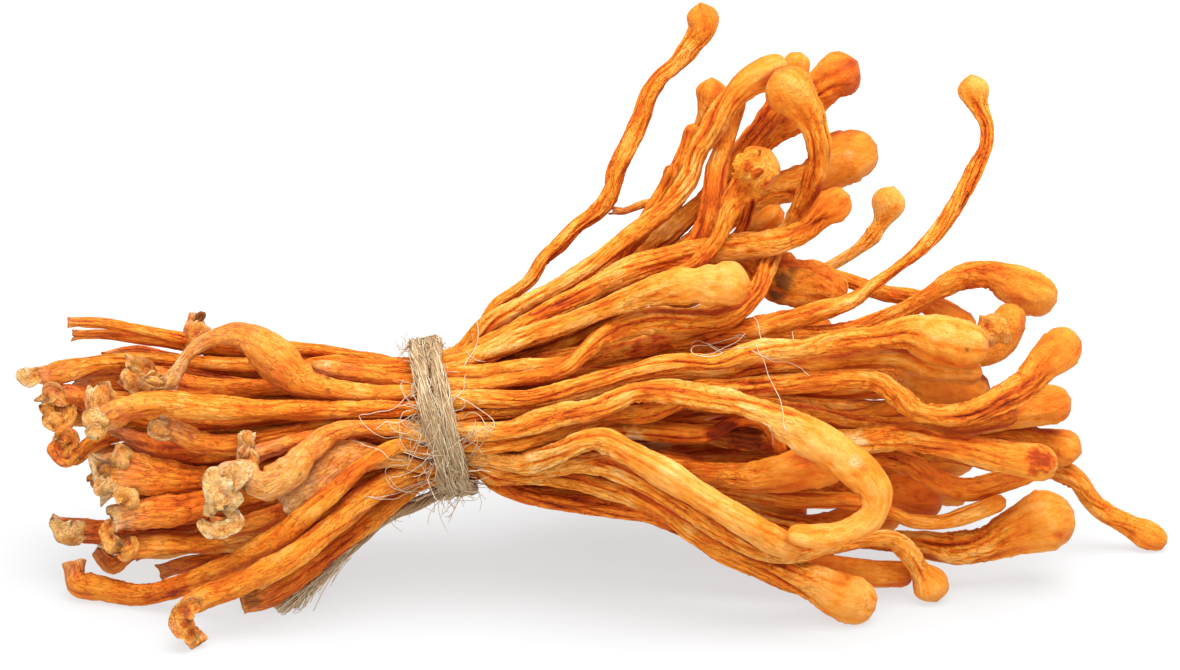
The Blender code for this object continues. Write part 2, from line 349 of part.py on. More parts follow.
      (16.0, 52.8, -2.2, 1.9), (24.0, 51.4, -1.4, 1.7), (33.5, 48.2, -0.2, 1.5)],
     [(48.5, 44.4, 0.8, 1.5), (56.0, 44.8, -0.4, 1.6), (64.0, 45.6, -2.0, 1.7),
      (72.0, 46.8, -3.6, 1.8), (80.0, 48.2, -5.2, 2.0), (86.0, 49.3, -6.4, 2.6),
      (89.8, 49.7, -7.2, 4.8), (94.2, 49.9, -7.8, 4.8)]),
    ("right_low", (2, 4), 0.84,
     [(12.5, 50.3, 0.6, 2.0), (17.0, 48.9, 0.8, 2.2), (21.5, 48.2, 1.0, 2.0),
      (28.0, 47.2, 1.2, 1.8), (36.0, 45.2, 1.8, 1.5)],
     [(48.5, 43.0, 2.0, 1.5), (58.0, 42.8, 0.4, 1.6), (68.0, 42.4, -1.6, 1.7),
      (78.0, 42.4, -3.4, 1.8), (86.0, 42.8, -4.8, 1.8), (94.0, 43.2, -6.0, 1.9),
      (101.0, 43.4, -7.0, 2.4), (105.0, 44.3, -7.4, 3.4), (108.2, 45.3, -7.6, 3.2)]),
    ("right_mid", (2, 2), 0.84,
     [(9.1, 48.5, -4.6, 1.4), (10.6, 47.0, -4.6, 1.8), (12.8, 46.1, -4.6, 1.8),
      (18.0, 45.6, -4.8, 1.7), (28.0, 44.4, -4.2, 1.5), (37.0, 42.8, -1.6, 1.4)],
     [(48.5, 40.0, 1.4, 1.5), (56.0, 40.0, 0.4, 1.6), (64.0, 40.0, -0.8, 1.7),
      (74.0, 40.0, -2.0, 1.8), (84.0, 40.4, -3.0, 1.9), (92.0, 41.4, -3.6, 2.1),
      (98.0, 41.9, -4.0, 2.6), (102.4, 41.0, -4.2, 3.8), (107.2, 39.9, -4.4, 4.2)]),
    ("pale_rear", (2, 11), 0.84,
     [(6.4, 43.4, -1.4, 1.5), (5.9, 45.0, -1.4, 2.0), (7.4, 45.7, -1.4, 1.9),
      (9.0, 44.6, -1.6, 1.8), (12.0, 43.6, -2.0, 1.7), (18.0, 43.0, -2.6, 1.6),
      (28.0, 42.2, -2.8, 1.5), (37.0, 41.2, -2.2, 1.4)],
     [(48.5, 37.4, -2.6, 1.5), (56.0, 34.6, -4.0, 1.6), (64.0, 31.6, -5.6, 1.6),
      (72.0, 28.8, -6.8, 1.6), (79.0, 27.4, -7.6, 1.6), (84.0, 27.8, -8.0, 1.6),
      (88.0, 29.2, -8.2, 1.6), (91.5, 29.8, -8.2, 1.8), (94.2, 31.2, -8.2, 2.8),
      (97.4, 33.4, -8.2, 3.2)]),
    ("middle_fold", (2, 1), 0.84,
     [(9.4, 45.7, -2.8, 1.6), (12.0, 44.8, -2.8, 1.8), (18.0, 44.0, -3.0, 1.6),
      (28.0, 42.8, -1.6, 1.5), (37.0, 41.4, 1.2, 1.4)],
     [(48.5, 38.4, 1.2, 1.5), (56.0, 37.4, -0.4, 1.6), (66.0, 36.6, -2.0, 1.7),
      (76.0, 36.8, -3.0, 1.8), (84.0, 37.4, -3.4, 2.0), (89.0, 37.9, -3.6, 2.6),
      (93.0, 38.4, -3.6, 4.0), (99.0, 39.2, -3.6, 4.2)]),
    ("inner_pale", (3, 0), 0.84,
     [(5.0, 41.9, -5.6, 1.5), (8.0, 41.7, -5.6, 2.0), (13.0, 41.8, -5.4, 1.8),
      (22.0, 41.4, -4.6, 1.6), (34.0, 41.0, -2.4, 1.4)],
     [(48.5, 39.2, -0.6, 1.5), (58.0, 38.4, -2.0, 1.6), (68.0, 38.2, -3.4, 1.7),
      (78.0, 38.8, -1.0, 1.8), (83.0, 39.1, 1.0, 2.1), (89.6, 38.9, 2.6, 2.1)]),
    ("inner_brown", (3, 2), 0.84,
     [(12.4, 49.4, -3.4, 1.6), (15.0, 49.1, -3.4, 1.9), (20.0, 48.4, -3.0, 1.7),
      (30.0, 46.2, -2.0, 1.5), (38.0, 44.0, -0.6, 1.4)],
     [(48.5, 42.0, 0.0, 1.5), (58.0, 41.6, -1.2, 1.6), (68.0, 41.2, -0.2, 1.7),
      (76.0, 41.0, 1.6, 1.9), (82.0, 42.0, 1.6, 2.2), (86.5, 42.0, 1.8, 2.6),
      (90.6, 40.4, 2.4, 2.6)]),
    ("high_end", (2, 0), 0.84,
     [(8.0, 40.2, -7.4, 1.6), (12.0, 39.8, -7.4, 2.0), (20.0, 39.8, -7.0, 1.8),
      (30.0, 39.6, -5.2, 1.5), (38.0, 39.4, -2.2, 1.4)],
     [(48.5, 36.4, -1.2, 1.6), (54.0, 33.6, -3.0, 1.8), (60.0, 30.0, -5.0, 2.0),
      (66.0, 25.8, -7.0, 2.2), (70.6, 21.4, -8.6, 2.6), (73.2, 17.2, -9.4, 2.9),
      (75.4, 14.4, -9.8, 3.1), (78.4, 12.4, -10.0, 3.2), (80.8, 10.4, -10.0, 3.6),
      (83.0, 8.1, -10.0, 5.2), (85.8, 6.1, -10.0, 4.8)]),
    ("high_small", (1, 17), 0.84,
     [(10.6, 42.6, -8.2, 1.5), (12.8, 42.6, -8.2, 2.0), (18.0, 42.6, -7.8, 1.7),
      (28.0, 41.4, -6.4, 1.5), (37.0, 40.0, -4.6, 1.4)],
     [(48.5, 35.8, -3.2, 1.5), (55.0, 32.4, -5.2, 1.7), (62.0, 28.0, -7.2, 1.9),
      (68.0, 23.0, -9.0, 2.0), (72.6, 18.4, -8.6, 2.0), (76.0, 13.6, -7.0, 2.2),
      (78.6, 9.4, -6.2, 2.6), (80.1, 5.2, -6.0, 3.0)]),
    ("high_side", (1, 16), 0.84,
     [(12.0, 45.8, -9.4, 1.7), (16.0, 45.2, -9.4, 2.1), (23.0, 44.0, -8.8, 1.7),
      (31.0, 42.4, -7.4, 1.5), (38.0, 41.0, -6.0, 1.4)],
     [(48.5, 36.8, -4.8, 1.6), (55.0, 33.8, -7.0, 1.8), (62.0, 29.8, -9.4, 2.0),
      (69.0, 25.0, -11.4, 2.3), (74.0, 21.4, -12.4, 2.8), (78.0, 19.2, -12.8, 3.2),
      (81.6, 17.8, -12.8, 4.2), (83.9, 16.1, -12.8, 5.8), (87.7, 14.5, -12.8, 5.2)]),
    ("rear_round", (0, 22), 0.84,
     [(9.6, 36.6, -8.6, 1.4), (14.0, 36.6, -8.4, 1.8), (22.0, 37.2, -7.6, 1.6),
      (31.0, 37.4, -6.0, 1.4), (38.0, 37.2, -4.6, 1.4)],
     [(48.5, 34.4, -4.2, 1.5), (54.0, 31.6, -5.8, 1.6), (59.0, 28.4, -7.4, 1.7),
      (64.0, 24.4, -8.6, 1.8), (67.4, 20.4, -8.0, 1.8), (69.4, 16.4, -6.6, 1.8),
      (70.6, 12.8, -5.6, 2.0), (71.1, 10.2, -5.0, 2.9), (71.2, 7.7, -4.6, 3.1)]),
    ("rear_knot", (0, 21), 0.84,
     [(15.0, 38.0, -11.0, 1.5), (19.0, 37.8, -10.8, 2.0), (26.0, 38.0, -9.6, 1.6),
      (33.0, 38.2, -8.2, 1.4), (39.0, 38.0, -6.8, 1.4)],
     [(48.5, 35.6, -6.4, 1.4), (54.0, 32.6, -6.6, 1.5), (59.0, 28.8, -5.4, 1.6),
      (63.0, 24.8, -4.0, 1.6), (66.0, 20.8, -3.2, 1.7), (68.0, 16.8, -3.0, 1.7),
      (69.0, 14.4, -3.0, 2.0), (69.4, 12.3, -3.0, 2.0)]),
    ("stub", (1, 14), 0.84,
     [(12.2, 48.8, -8.4, 1.6), (14.6, 48.4, -8.4, 2.0), (19.5, 47.4, -8.0, 1.7),
      (27.0, 45.2, -6.6, 1.5), (37.0, 42.6, -5.0, 1.4)],
     [(48.5, 38.2, -4.6, 1.4), (54.0, 34.6, -4.2, 1.4), (59.0, 29.6, -3.0, 1.4),
      (63.4, 23.6, -2.0, 1.4), (65.8, 20.0, -1.6, 1.4), (67.0, 18.0, -1.4, 1.5),
      (67.3, 16.4, -1.2, 1.5)]),
    ("rear_bud", (0, 20), 0.84,
     [(9.4, 40.4, -11.4, 1.5), (12.6, 40.4, -11.4, 2.0), (20.0, 40.8, -10.8, 1.7),
      (30.0, 40.0, -9.6, 1.5), (38.5, 39.4, -8.4, 1.4)],
     [(48.5, 37.2, -8.2, 1.4), (55.0, 34.0, -9.4, 1.5), (62.0, 30.0, -10.4, 1.6),
      (68.0, 26.4, -10.2, 1.7), (72.0, 24.0, -8.4, 1.8), (74.6, 22.4, -6.4, 2.0),
      (77.9, 20.4, -5.0, 2.9)]),
    ("far_back", (0, 19), 0.84,
     [(13.6, 43.6, -13.2, 1.6), (16.4, 43.4, -13.2, 2.1), (23.0, 43.8, -12.4, 1.7),
      (31.0, 42.4, -11.0, 1.5), (38.5, 41.2, -9.4, 1.4)],
     [(48.5, 39.0, -9.6, 1.4), (56.0, 36.6, -13.0, 1.6), (64.0, 33.6, -17.0, 1.7),
      (72.0, 30.6, -20.6, 1.6), (79.0, 28.2, -23.0, 1.2), (83.0, 26.6, -24.0, 1.2),
      (86.4, 24.4, -24.4, 1.4), (88.0, 22.4, -24.6, 2.8), (89.4, 18.6, -24.8, 3.6)]),
    ("back_upper", (0, 18), 0.84,
     [(12.8, 45.4, -14.6, 1.8), (15.6, 45.0, -14.4, 2.2), (21.0, 44.2, -13.6, 1.8),
      (29.0, 43.0, -12.0, 1.5), (38.5, 41.8, -9.8, 1.4)],
     [(48.5, 40.6, -10.0, 1.5), (57.0, 39.2, -12.4, 1.6), (66.0, 37.2, -14.6, 1.7),
      (75.0, 35.6, -15.6, 1.9), (83.0, 35.2, -15.4, 2.2), (87.5, 34.8, -14.8, 3.6),
      (91.6, 34.0, -14.2, 4.0)]),
    ("back_middle", (0, 17), 0.84,
     [(13.0, 48.8, -15.8, 1.7), (17.0, 48.4, -15.6, 2.2), (24.0, 46.8, -14.4, 1.8),
      (32.0, 44.8, -12.2, 1.5), (39.0, 43.2, -9.8, 1.4)],
     [(48.5, 42.2, -9.8, 1.5), (57.0, 41.2, -12.6, 1.6), (67.0, 40.2, -15.4, 1.8),
      (77.0, 39.4, -17.6, 1.9), (86.0, 38.8, -18.4, 2.2), (92.0, 38.6, -18.2, 3.6),
      (96.6, 38.2, -17.8, 4.2)]),
    ("back_curl", (0, 16), 0.84,
     [(14.6, 51.0, -12.6, 1.6), (17.0, 50.6, -12.6, 2.1), (22.0, 49.4, -12.0, 1.8),
      (29.0, 47.0, -10.8, 1.5), (38.5, 44.4, -9.2, 1.4)],
     [(48.5, 43.8, -9.0, 1.5), (56.0, 43.8, -11.8, 1.6), (65.0, 43.4, -15.2, 1.7),
      (73.0, 42.4, -18.4, 1.8), (80.0, 41.8, -21.0, 1.9), (86.0, 42.8, -22.6, 2.2),
      (89.6, 44.6, -22.6, 3.4), (91.6, 47.4, -22.0, 3.8)]),
    ("back_prop", (0, 15), 0.84,
     [(16.0, 52.8, -15.6, 1.7), (20.0, 52.2, -15.0, 2.2), (27.0, 49.8, -12.8, 1.8),
      (34.0, 47.0, -10.4, 1.5), (39.5, 45.2, -8.6, 1.4)],
     [(48.5, 45.4, -7.8, 1.5), (56.0, 46.4, -10.6, 1.7), (64.0, 48.2, -13.8, 1.9),
      (71.0, 50.2, -16.4, 2.2), (76.0, 51.4, -17.8, 3.4), (80.6, 51.8, -18.6, 4.0)]),
    ("back_heel", (0, 14), 0.84,
     [(21.0, 54.6, -11.6, 1.7), (25.0, 53.4, -11.0, 2.1), (30.0, 51.2, -9.4, 1.7),
      (36.0, 48.6, -7.2, 1.5), (40.0, 47.0, -5.8, 1.4)],
     [(48.5, 47.4, -5.4, 1.5), (56.0, 48.6, -7.0, 1.6), (64.0, 50.2, -8.8, 1.8),
      (72.0, 51.8, -10.4, 2.0), (80.0, 52.4, -11.4, 2.2), (86.0, 51.8, -12.0, 3.4),
      (90.4, 50.6, -12.2, 4.0)]),
    ("back_long", (1, 15), 0.84,
     [(11.8, 47.4, -11.0, 1.7), (14.4, 47.0, -11.0, 2.2), (19.5, 46.0, -10.4, 1.7),
      (28.0, 44.2, -9.0, 1.5), (38.0, 42.2, -7.2, 1.4)],
     [(48.5, 40.6, -6.6, 1.5), (58.0, 39.6, -8.4, 1.6), (68.0, 39.4, -10.0, 1.7),
      (78.0, 40.2, -11.2, 1.8), (87.0, 41.0, -12.0, 2.0), (93.5, 41.6, -12.4, 3.2),
      (98.4, 41.8, -12.6, 4.0)]),
    ("back_low", (1, 12), 0.84,
     [(11.0, 53.2, -9.0, 1.6), (15.0, 53.0, -9.0, 2.0), (23.0, 51.4, -8.4, 1.7),
      (31.0, 49.0, -7.0, 1.5), (38.5, 46.4, -5.2, 1.4)],
     [(48.5, 45.0, -4.6, 1.5), (58.0, 46.0, -6.6, 1.6), (68.0, 47.6, -9.0, 2.3),
      (78.0, 48.2, -11.4, 2.3), (87.0, 47.6, -13.8, 2.0), (93.0, 46.6, -15.2, 3.2),
      (97.4, 45.4, -16.0, 3.8)]),
    ("back_crook", (1, 13), 0.84,
     [(14.4, 50.8, -12.2, 1.6), (18.0, 50.2, -12.0, 2.0), (25.0, 48.2, -10.6, 1.7),
      (32.0, 46.0, -8.8, 1.5), (39.0, 43.8, -6.6, 1.4)],
     [(48.5, 42.8, -6.2, 1.5), (57.0, 42.6, -9.4, 1.8), (66.0, 42.0, -12.8, 2.6),
      (73.0, 39.8, -15.2, 2.6), (77.6, 36.2, -16.4, 1.9), (80.6, 34.2, -16.6, 3.0),
      (83.0, 32.0, -16.4, 3.6)]),
    ("inner_dark", (3, 3), 0.84,
     [(13.6, 55.2, -7.4, 1.6), (18.0, 54.6, -7.2, 1.9), (26.0, 52.2, -6.4, 1.6),
      (37.0, 46.4, -3.4, 1.4)],
     [(48.5, 43.6, -2.8, 1.5), (58.0, 43.6, -4.4, 1.8), (68.0, 44.4, -6.0, 2.6),
      (78.0, 45.8, -7.2, 2.6), (87.0, 47.2, -8.8, 2.4), (93.0, 48.6, -10.2, 3.2),
      (97.0, 49.6, -11.0, 3.2)]),
    ("inner_thin", (3, 1), 0.84,
     [(7.8, 37.6, -6.4, 1.2), (13.0, 37.4, -6.4, 1.6), (22.0, 38.2, -6.0, 1.5),
      (34.0, 39.4, -3.4, 1.4)],
     [(48.5, 37.4, -1.0, 1.3), (55.0, 35.0, -3.0, 1.3), (62.0, 31.4, -5.0, 1.3),
      (68.0, 27.8, -6.0, 1.2), (72.4, 25.0, -5.6, 1.1), (74.4, 22.6, -4.4, 1.1),
      (75.3, 19.6, -3.4, 1.2)]),
    ("inner_deep", (3, 4), 0.84,
     [(17.0, 47.4, -7.0, 1.6), (22.0, 46.8, -6.8, 1.8), (30.0, 44.6, -5.6, 1.5),
      (38.0, 42.4, -3.8, 1.4)],
     [(48.5, 39.8, -3.2, 1.4), (58.0, 37.6, -5.2, 1.6), (68.0, 36.0, -7.2, 1.7),
      (77.0, 35.6, -8.8, 1.9), (85.0, 36.4, -10.0, 2.6), (90.0, 37.4, -10.6, 3.8),
      (94.4, 38.4, -10.8, 3.8)]),
]

# The side arm of the tall forked stalk, from the fork to its tip.
FORK_ARM = [(61.0, 21.0, -4.2, 1.0), (62.2, 21.2, -4.3, 1.2), (63.6, 20.9, -4.4, 1.2),
            (65.0, 20.5, -4.5, 1.1), (66.4, 19.8, -4.8, 0.9)]

# The tail of the twine, from the tie to its frayed end.
TWINE_TAIL = [(39.6, 51.2, 0.6, 1.3), (36.6, 53.6, 1.2, 1.4), (33.6, 56.0, 1.8, 1.5),
              (30.8, 58.4, 2.4, 1.7), (28.4, 60.4, 2.6, 1.8)]


def picture_to_view(points):
    """Picture millimetres to u right, v up, w towards the eye: what is nearer the eye is drawn larger."""
    p = np.array(points, float)
    nearer = (EYE_DISTANCE - p[:, 2]) / EYE_DISTANCE
    u = (p[:, 0] - PICTURE_W / 2) * nearer
    v = (PICTURE_H / 2 - p[:, 1]) * nearer
    return np.column_stack([u, v, p[:, 2], p[:, 3] * nearer])


def view_to_upright(p):
    """Turns u, v, w upright about the picture's level axis: x right, y away from the eye, z up."""
    c = math.cos(EYE_ELEVATION)
    s = math.sin(EYE_ELEVATION)
    y = p[:, 1] * s - p[:, 2] * c
    z = p[:, 1] * c + p[:, 2] * s + FLOOR_BELOW_MIDDLE
    return np.column_stack([p[:, 0], y, z])


# The tie's own axes in view space: along the bunch, up its band, and towards the eye.
ALONG = np.array([math.cos(TIE_LEAN), math.sin(TIE_LEAN), 0.0])
UP = np.array([-math.sin(TIE_LEAN), math.cos(TIE_LEAN), 0.0])
TOWARDS = np.array([0.0, 0.0, 1.0])
TIE_MIDDLE = np.array([TIE_X - PICTURE_W / 2, PICTURE_H / 2 - TIE_Y, 0.0])

# Straight up in view space, and the way a stalk slides when it is lifted: up, and mostly to the eye.
RISE = np.array([0.0, math.cos(EYE_ELEVATION), math.sin(EYE_ELEVATION)])
SLIDE = np.array([0.0, 0.50, 0.87])
SLIDE /= SLIDE @ RISE


def place_in_tie(ring, step):
    """The middle of one stalk in the tie: rings of an oval, counted from the top over the front."""
    count, up, deep = RINGS_AT_TIE[ring]
    angle = 2 * math.pi * step / count
    rise = OVAL_UP * up * math.cos(angle)
    reach = OVAL_DEEP * deep * math.sin(angle)
    return TIE_MIDDLE + UP * rise + TOWARDS * reach


def smooth_curve(knots, step):
    """A curve through the knots, with a point every step: a centripetal Catmull-Rom spline."""
    k = np.array(knots, float)
    k = np.vstack([2 * k[0] - k[1], k, 2 * k[-1] - k[-2]])
    k[0, 3] = k[1, 3]
    k[-1, 3] = k[-2, 3]
    out = []
    for i in range(1, len(k) - 2):
        chord = [np.linalg.norm(k[i + j + 1, :3] - k[i + j, :3]) ** 0.5 for j in (-1, 0, 1)]
        t0, t1 = 0.0, chord[0]
        t2, t3 = t1 + chord[1], t1 + chord[1] + chord[2]
        t = np.linspace(t1, t2, SPLINE_STEPS, endpoint=False)[:, None]
        a1 = (t1 - t) / (t1 - t0) * k[i - 1] + (t - t0) / (t1 - t0) * k[i]
        a2 = (t2 - t) / (t2 - t1) * k[i] + (t - t1) / (t2 - t1) * k[i + 1]
        a3 = (t3 - t) / (t3 - t2) * k[i + 1] + (t - t2) / (t3 - t2) * k[i + 2]
        b1 = (t2 - t) / (t2 - t0) * a1 + (t - t0) / (t2 - t0) * a2
        b2 = (t3 - t) / (t3 - t1) * a2 + (t - t1) / (t3 - t1) * a3
        out.append((t2 - t) / (t2 - t1) * b1 + (t - t1) / (t2 - t1) * b2)
    out.append(k[-2:-1])
    fine = np.vstack(out)
    pieces = np.linalg.norm(np.diff(fine[:, :3], axis=0), axis=1)
    length = np.concatenate([[0], np.cumsum(pieces)])
    count = max(4, int(round(length[-1] / step)) + 1)
    at = np.linspace(0, length[-1], count)
    return np.column_stack([np.interp(at, length, fine[:, c]) for c in range(4)])


def stalk_knots(slot, base_side, head_side):
    """The knots of a whole stalk: base side, two points straight through the tie, head side."""
    middle = place_in_tie(*slot)
    half = TIE_HALF_LENGTH / 2
    inside = [np.append(middle + ALONG * s, STALK_AT_TIE) for s in (-half, half)]
    return np.vstack([picture_to_view(base_side), inside, picture_to_view(head_side)])


def unit(rows):
    """Each row at length 1."""
    return rows / np.linalg.norm(rows, axis=1)[:, None]


def frames_along(points):
    """Tangent, wide and thin directions at each point, carried along the curve without twisting."""
    tangent = unit(np.gradient(points, axis=0))
    wide = np.zeros_like(points)
    middle = len(points) // 2
    wide[middle] = np.cross(TOWARDS, tangent[middle])
    wide[middle] /= np.linalg.norm(wide[middle])
    for run in (range(middle + 1, len(points)), range(middle - 1, -1, -1)):
        last = wide[middle]
        for i in run:
            last = last - tangent[i] * (last @ tangent[i])
            last = last / np.linalg.norm(last)
            wide[i] = last
    return tangent, wide, np.cross(tangent, wide)


def round_off(points, half):
    """Scales the sections near the last point so that this end is rounded by a quarter circle."""
    steps = np.linalg.norm(np.diff(points, axis=0), axis=1)
    left = np.append(steps[::-1].cumsum()[::-1], 0.0)
    near = np.argmin(np.abs(left - ROUNDED_FROM))
    radius = max(LEAST_RADIUS, half[near])
    depth = np.clip(1 - left / radius, 0, 1)
    return np.sqrt(np.maximum(1 - depth ** 2, 0.0))


def choose_rings(track, allowed, fixed):
    """The samples to keep as rings: splits the run where it strays most, until none strays too far."""
    keep = sorted({0, len(track) - 1, *fixed})
    stack = list(zip(keep[:-1], keep[1:]))
    while stack:
        a, b = stack.pop()
        if b - a < 2:
            continue
        t = np.linspace(0, 1, b - a + 1)[:, None]
        straight = track[a] * (1 - t) + track[b] * t
        stray = np.linalg.norm(track[a:b + 1] - straight, axis=1)
        worst = int(np.argmax(stray))
        if stray[worst] > allowed:
            keep.append(a + worst)
            stack += [(a, a + worst), (a + worst, b)]
    return sorted(keep)


class Bunch:
    """All the stalks as one cloud of sample points, so that they can be pushed apart together."""

    def __init__(self, knot_lists, flatness, resting_ends):
        curves = [smooth_curve(k, SAMPLE_STEP) for k in knot_lists]
        self.start = np.cumsum([0] + [len(c) for c in curves])
        self.spans = list(zip(self.start[:-1], self.start[1:]))
        whole = np.vstack(curves)
        self.home = whole[:, :3].copy()
        self.place = self.home.copy()
        self.owner = np.repeat(np.arange(len(curves)), [len(c) for c in curves])
        self.half_wide = self.cap_at_tie(whole[:, 3] / 2)
        flat = np.array(flatness)[self.owner]
        headlike = np.clip(self.half_wide - HEAD_FROM, 0, 1) * (flat > LEAST_FLATNESS)
        self.half_thin = self.half_wide * (flat + (HEAD_FLATNESS - flat) * headlike)
        rounding = [round_off(self.home[a:b], self.half_wide[a:b]) for a, b in self.spans]
        self.rounding = np.concatenate(rounding)
        self.resting = [self.third_of(index, end) for index, end in resting_ends]
        self.measure_frames()

    def third_of(self, index, end):
        """The samples in the third of a stalk next to its base or head."""
        a, b = self.spans[index]
        third = (b - a) // 3
        return (a, a + third) if end == "base" else (b - third, b)

    def cap_at_tie(self, half):
        """Stalks are squeezed to one thickness inside the tie."""
        along = (self.home - TIE_MIDDLE) @ ALONG
        squeeze = np.exp(-(along / (2 * TIE_HALF_LENGTH)) ** 4)
        return half + (np.minimum(half, STALK_AT_TIE / 2) - half) * squeeze

    def measure_frames(self):
        """Finds the directions of every sample from where the samples now are."""
        self.tangent = np.zeros_like(self.place)
        self.wide = np.zeros_like(self.place)
        self.thin = np.zeros_like(self.place)
        for a, b in self.spans:
            found = frames_along(self.place[a:b])
            self.tangent[a:b], self.wide[a:b], self.thin[a:b] = found

    def near_pairs(self, reach):
        """Pairs of samples on different stalks that lie within reach of one another."""
        first, second = [], []
        for a, b in self.spans:
            others = self.place[b:]
            if not len(others):
                break
            apart = self.place[a:b, None, :] - others[None, :, :]
            i, j = np.nonzero((apart ** 2).sum(axis=2) < reach ** 2)
            first.append(i + a)
            second.append(j + b)
        return np.concatenate(first), np.concatenate(second)

    def overlap(self, i, j, gap):
        """How far each pair is too close, the way from j to i, and what the two sections need."""
        way = self.place[i] - self.place[j]
        apart = np.linalg.norm(way, axis=1) + 1e-9
        way = way / apart[:, None]
        need = np.zeros(len(i))
        for k in (i, j):
            across = (way * self.wide[k]).sum(axis=1) * self.half_wide[k]
            through = (way * self.thin[k]).sum(axis=1) * self.half_thin[k]
            need += np.hypot(across, through)
        return need + gap - apart, way, need

    def push_apart(self, pairs):
        """Moves both samples of every overlapping pair half their overlap apart."""
        i, j = pairs
        deep, way, _ = self.overlap(i, j, GAP)
        hit = deep > 0
        a, b, d, n = i[hit], j[hit], deep[hit], way[hit]
        step = n * GIVE
        step *= (np.minimum(d, MOST_STEP) / (n * step).sum(axis=1))[:, None]
        move = np.zeros_like(self.place)
        weight = np.full(len(self.place), 1e-9)
        for k, sign in ((a, 0.5), (b, -0.5)):
            for axis in range(3):
                move[:, axis] += np.bincount(k, sign * step[:, axis] * d, len(self.place))
            weight += np.bincount(k, d, len(self.place))
        self.place += np.clip(move / weight[:, None], -MOST_STEP, MOST_STEP)

    def relax(self):
        """Pushes overlapping stalks apart while their places in the picture hold."""
        for turn in range(RELAX_ROUNDS):
            if turn % PAIR_ROUNDS == 0:
                pairs = self.near_pairs(NEAR)
                self.measure_frames()
            self.push_apart(pairs)
            self.steady(turn > RELAX_ROUNDS * LATE)
            self.hold_in_tie()
            self.settle_on_floor()

    def steady(self, late):
        """Spreads each stalk's shift along it, and draws the shift in the picture's plane back."""
        shift = self.place - self.home
        for a, b in self.spans:
            s = shift[a:b]
            for _ in range(1 if late else 2):
                padded = np.vstack([s[:1], s, s[-1:]])
                s = 0.5 * s + 0.25 * (padded[:-2] + padded[2:])
            shift[a:b] = s
        shift[:, :2] *= KEEP_LATE if late else KEEP_EARLY
        shift[:, 2] *= KEEP_DEPTH
        self.place = self.home + shift

    def hold_in_tie(self):
        """Keeps the stalks within the tie's oval, and the start of the twine's tail where it is."""
        from_tie = self.place - TIE_MIDDLE
        inside = np.abs(from_tie @ ALONG) < TIE_RINGS[-1] + SAMPLE_STEP
        twine = inside & (self.owner == len(self.spans) - 1)
        self.place[twine] = self.home[twine]
        inside &= ~twine
        up = from_tie @ UP
        deep = from_tie @ TOWARDS
        thick = STALK_AT_TIE / 2
        out = np.hypot(up / (OVAL_UP - thick), deep / (OVAL_DEEP - thick))
        far = inside & (out > 1)
        back = 1 / out[far] - 1
        self.place[far] += np.outer(back * up[far], UP) + np.outer(back * deep[far], TOWARDS)

    def bottom(self):
        """The height of each section's lowest point above the floor."""
        reach = np.hypot((self.wide @ RISE) * self.half_wide, (self.thin @ RISE) * self.half_thin)
        return self.place @ RISE + FLOOR_BELOW_MIDDLE - reach * self.rounding

    def settle_on_floor(self):
        """Lifts what sinks into the floor, and bends the resting ends down until they touch it."""
        low = np.maximum(-SINK - self.bottom(), 0)
        self.place += low[:, None] * SLIDE
        over = self.bottom() + SINK
        for a, b in self.resting:
            lowest = a + int(np.argmin(over[a:b]))
            bump = np.exp(-((np.arange(a, b) - lowest) * SAMPLE_STEP / REST_BEND) ** 2)
            self.place[a:b] -= (over[lowest] * bump)[:, None] * SLIDE

    def lowest_samples(self, a, b):
        """Where a stalk's resting ends touch the floor, counted from its own first sample."""
        bottom = self.bottom()
        ends = [(c, d) for c, d in self.resting if a <= c and d <= b]
        return [c + int(np.argmin(bottom[c:d])) - a for c, d in ends]

    def keep_rings(self, allowed):
        """Chooses each stalk's rings; the samples between two rings then lie on straight lines."""
        self.rings = []
        count = len(self.place)
        self.before = np.zeros(count, int)
        self.after = np.zeros(count, int)
        self.part = np.zeros(count)
        sizes = np.column_stack([self.half_wide, self.half_thin]) * self.rounding[:, None]
        track = np.hstack([self.place, RING_WIDTH_WEIGHT * sizes])
        for (a, b), most in zip(self.spans, allowed):
            along = (self.place[a:b] - TIE_MIDDLE) @ ALONG
            through = [s for s in TIE_RINGS if along.min() < s < along.max()]
            fixed = [int(np.argmin(np.abs(along - s))) for s in through]
            fixed += self.lowest_samples(a, b)
            keep = np.array(choose_rings(track[a:b], most, fixed))
            self.rings.append(a + keep)
            own = np.arange(b - a)
            gap = np.clip(np.searchsorted(keep, own, side="right") - 1, 0, len(keep) - 2)
            self.before[a:b] = a + keep[gap]
            self.after[a:b] = a + keep[gap + 1]
            self.part[a:b] = (own - keep[gap]) / (keep[gap + 1] - keep[gap])
        self.straighten()

    def straighten(self):
        """Puts the samples between two rings back on the line from one to the other."""
        t = self.part
        one, two = self.before, self.after
        self.place = self.place[one] * (1 - t)[:, None] + self.place[two] * t[:, None]
        self.half_wide = self.half_wide[one] * (1 - t) + self.half_wide[two] * t
        self.half_thin = self.half_thin[one] * (1 - t) + self.half_thin[two] * t
        self.measure_frames()

    def relax_rings(self):
        """Pushes the straight stretches between rings apart by moving the rings at their ends."""
        for turn in range(RING_ROUNDS):
            if turn % PAIR_ROUNDS == 0:
                pairs = self.near_pairs(NEAR)
            was = self.place.copy()
            self.push_apart(pairs)
            self.hold_in_tie()
            self.settle_on_floor()
            move = self.place - was
            size = np.linalg.norm(move, axis=1)
            total, weight = np.zeros_like(was), np.full(len(was), 1e-9)
            for ring, share in ((self.before, 1 - self.part), (self.after, self.part)):
                for axis in range(3):
                    total[:, axis] += np.bincount(ring, share * size * move[:, axis], len(was))
                weight += np.bincount(ring, share * size, len(was))
            self.place = was + total / weight[:, None]
            self.hold_in_tie()
            self.straighten()

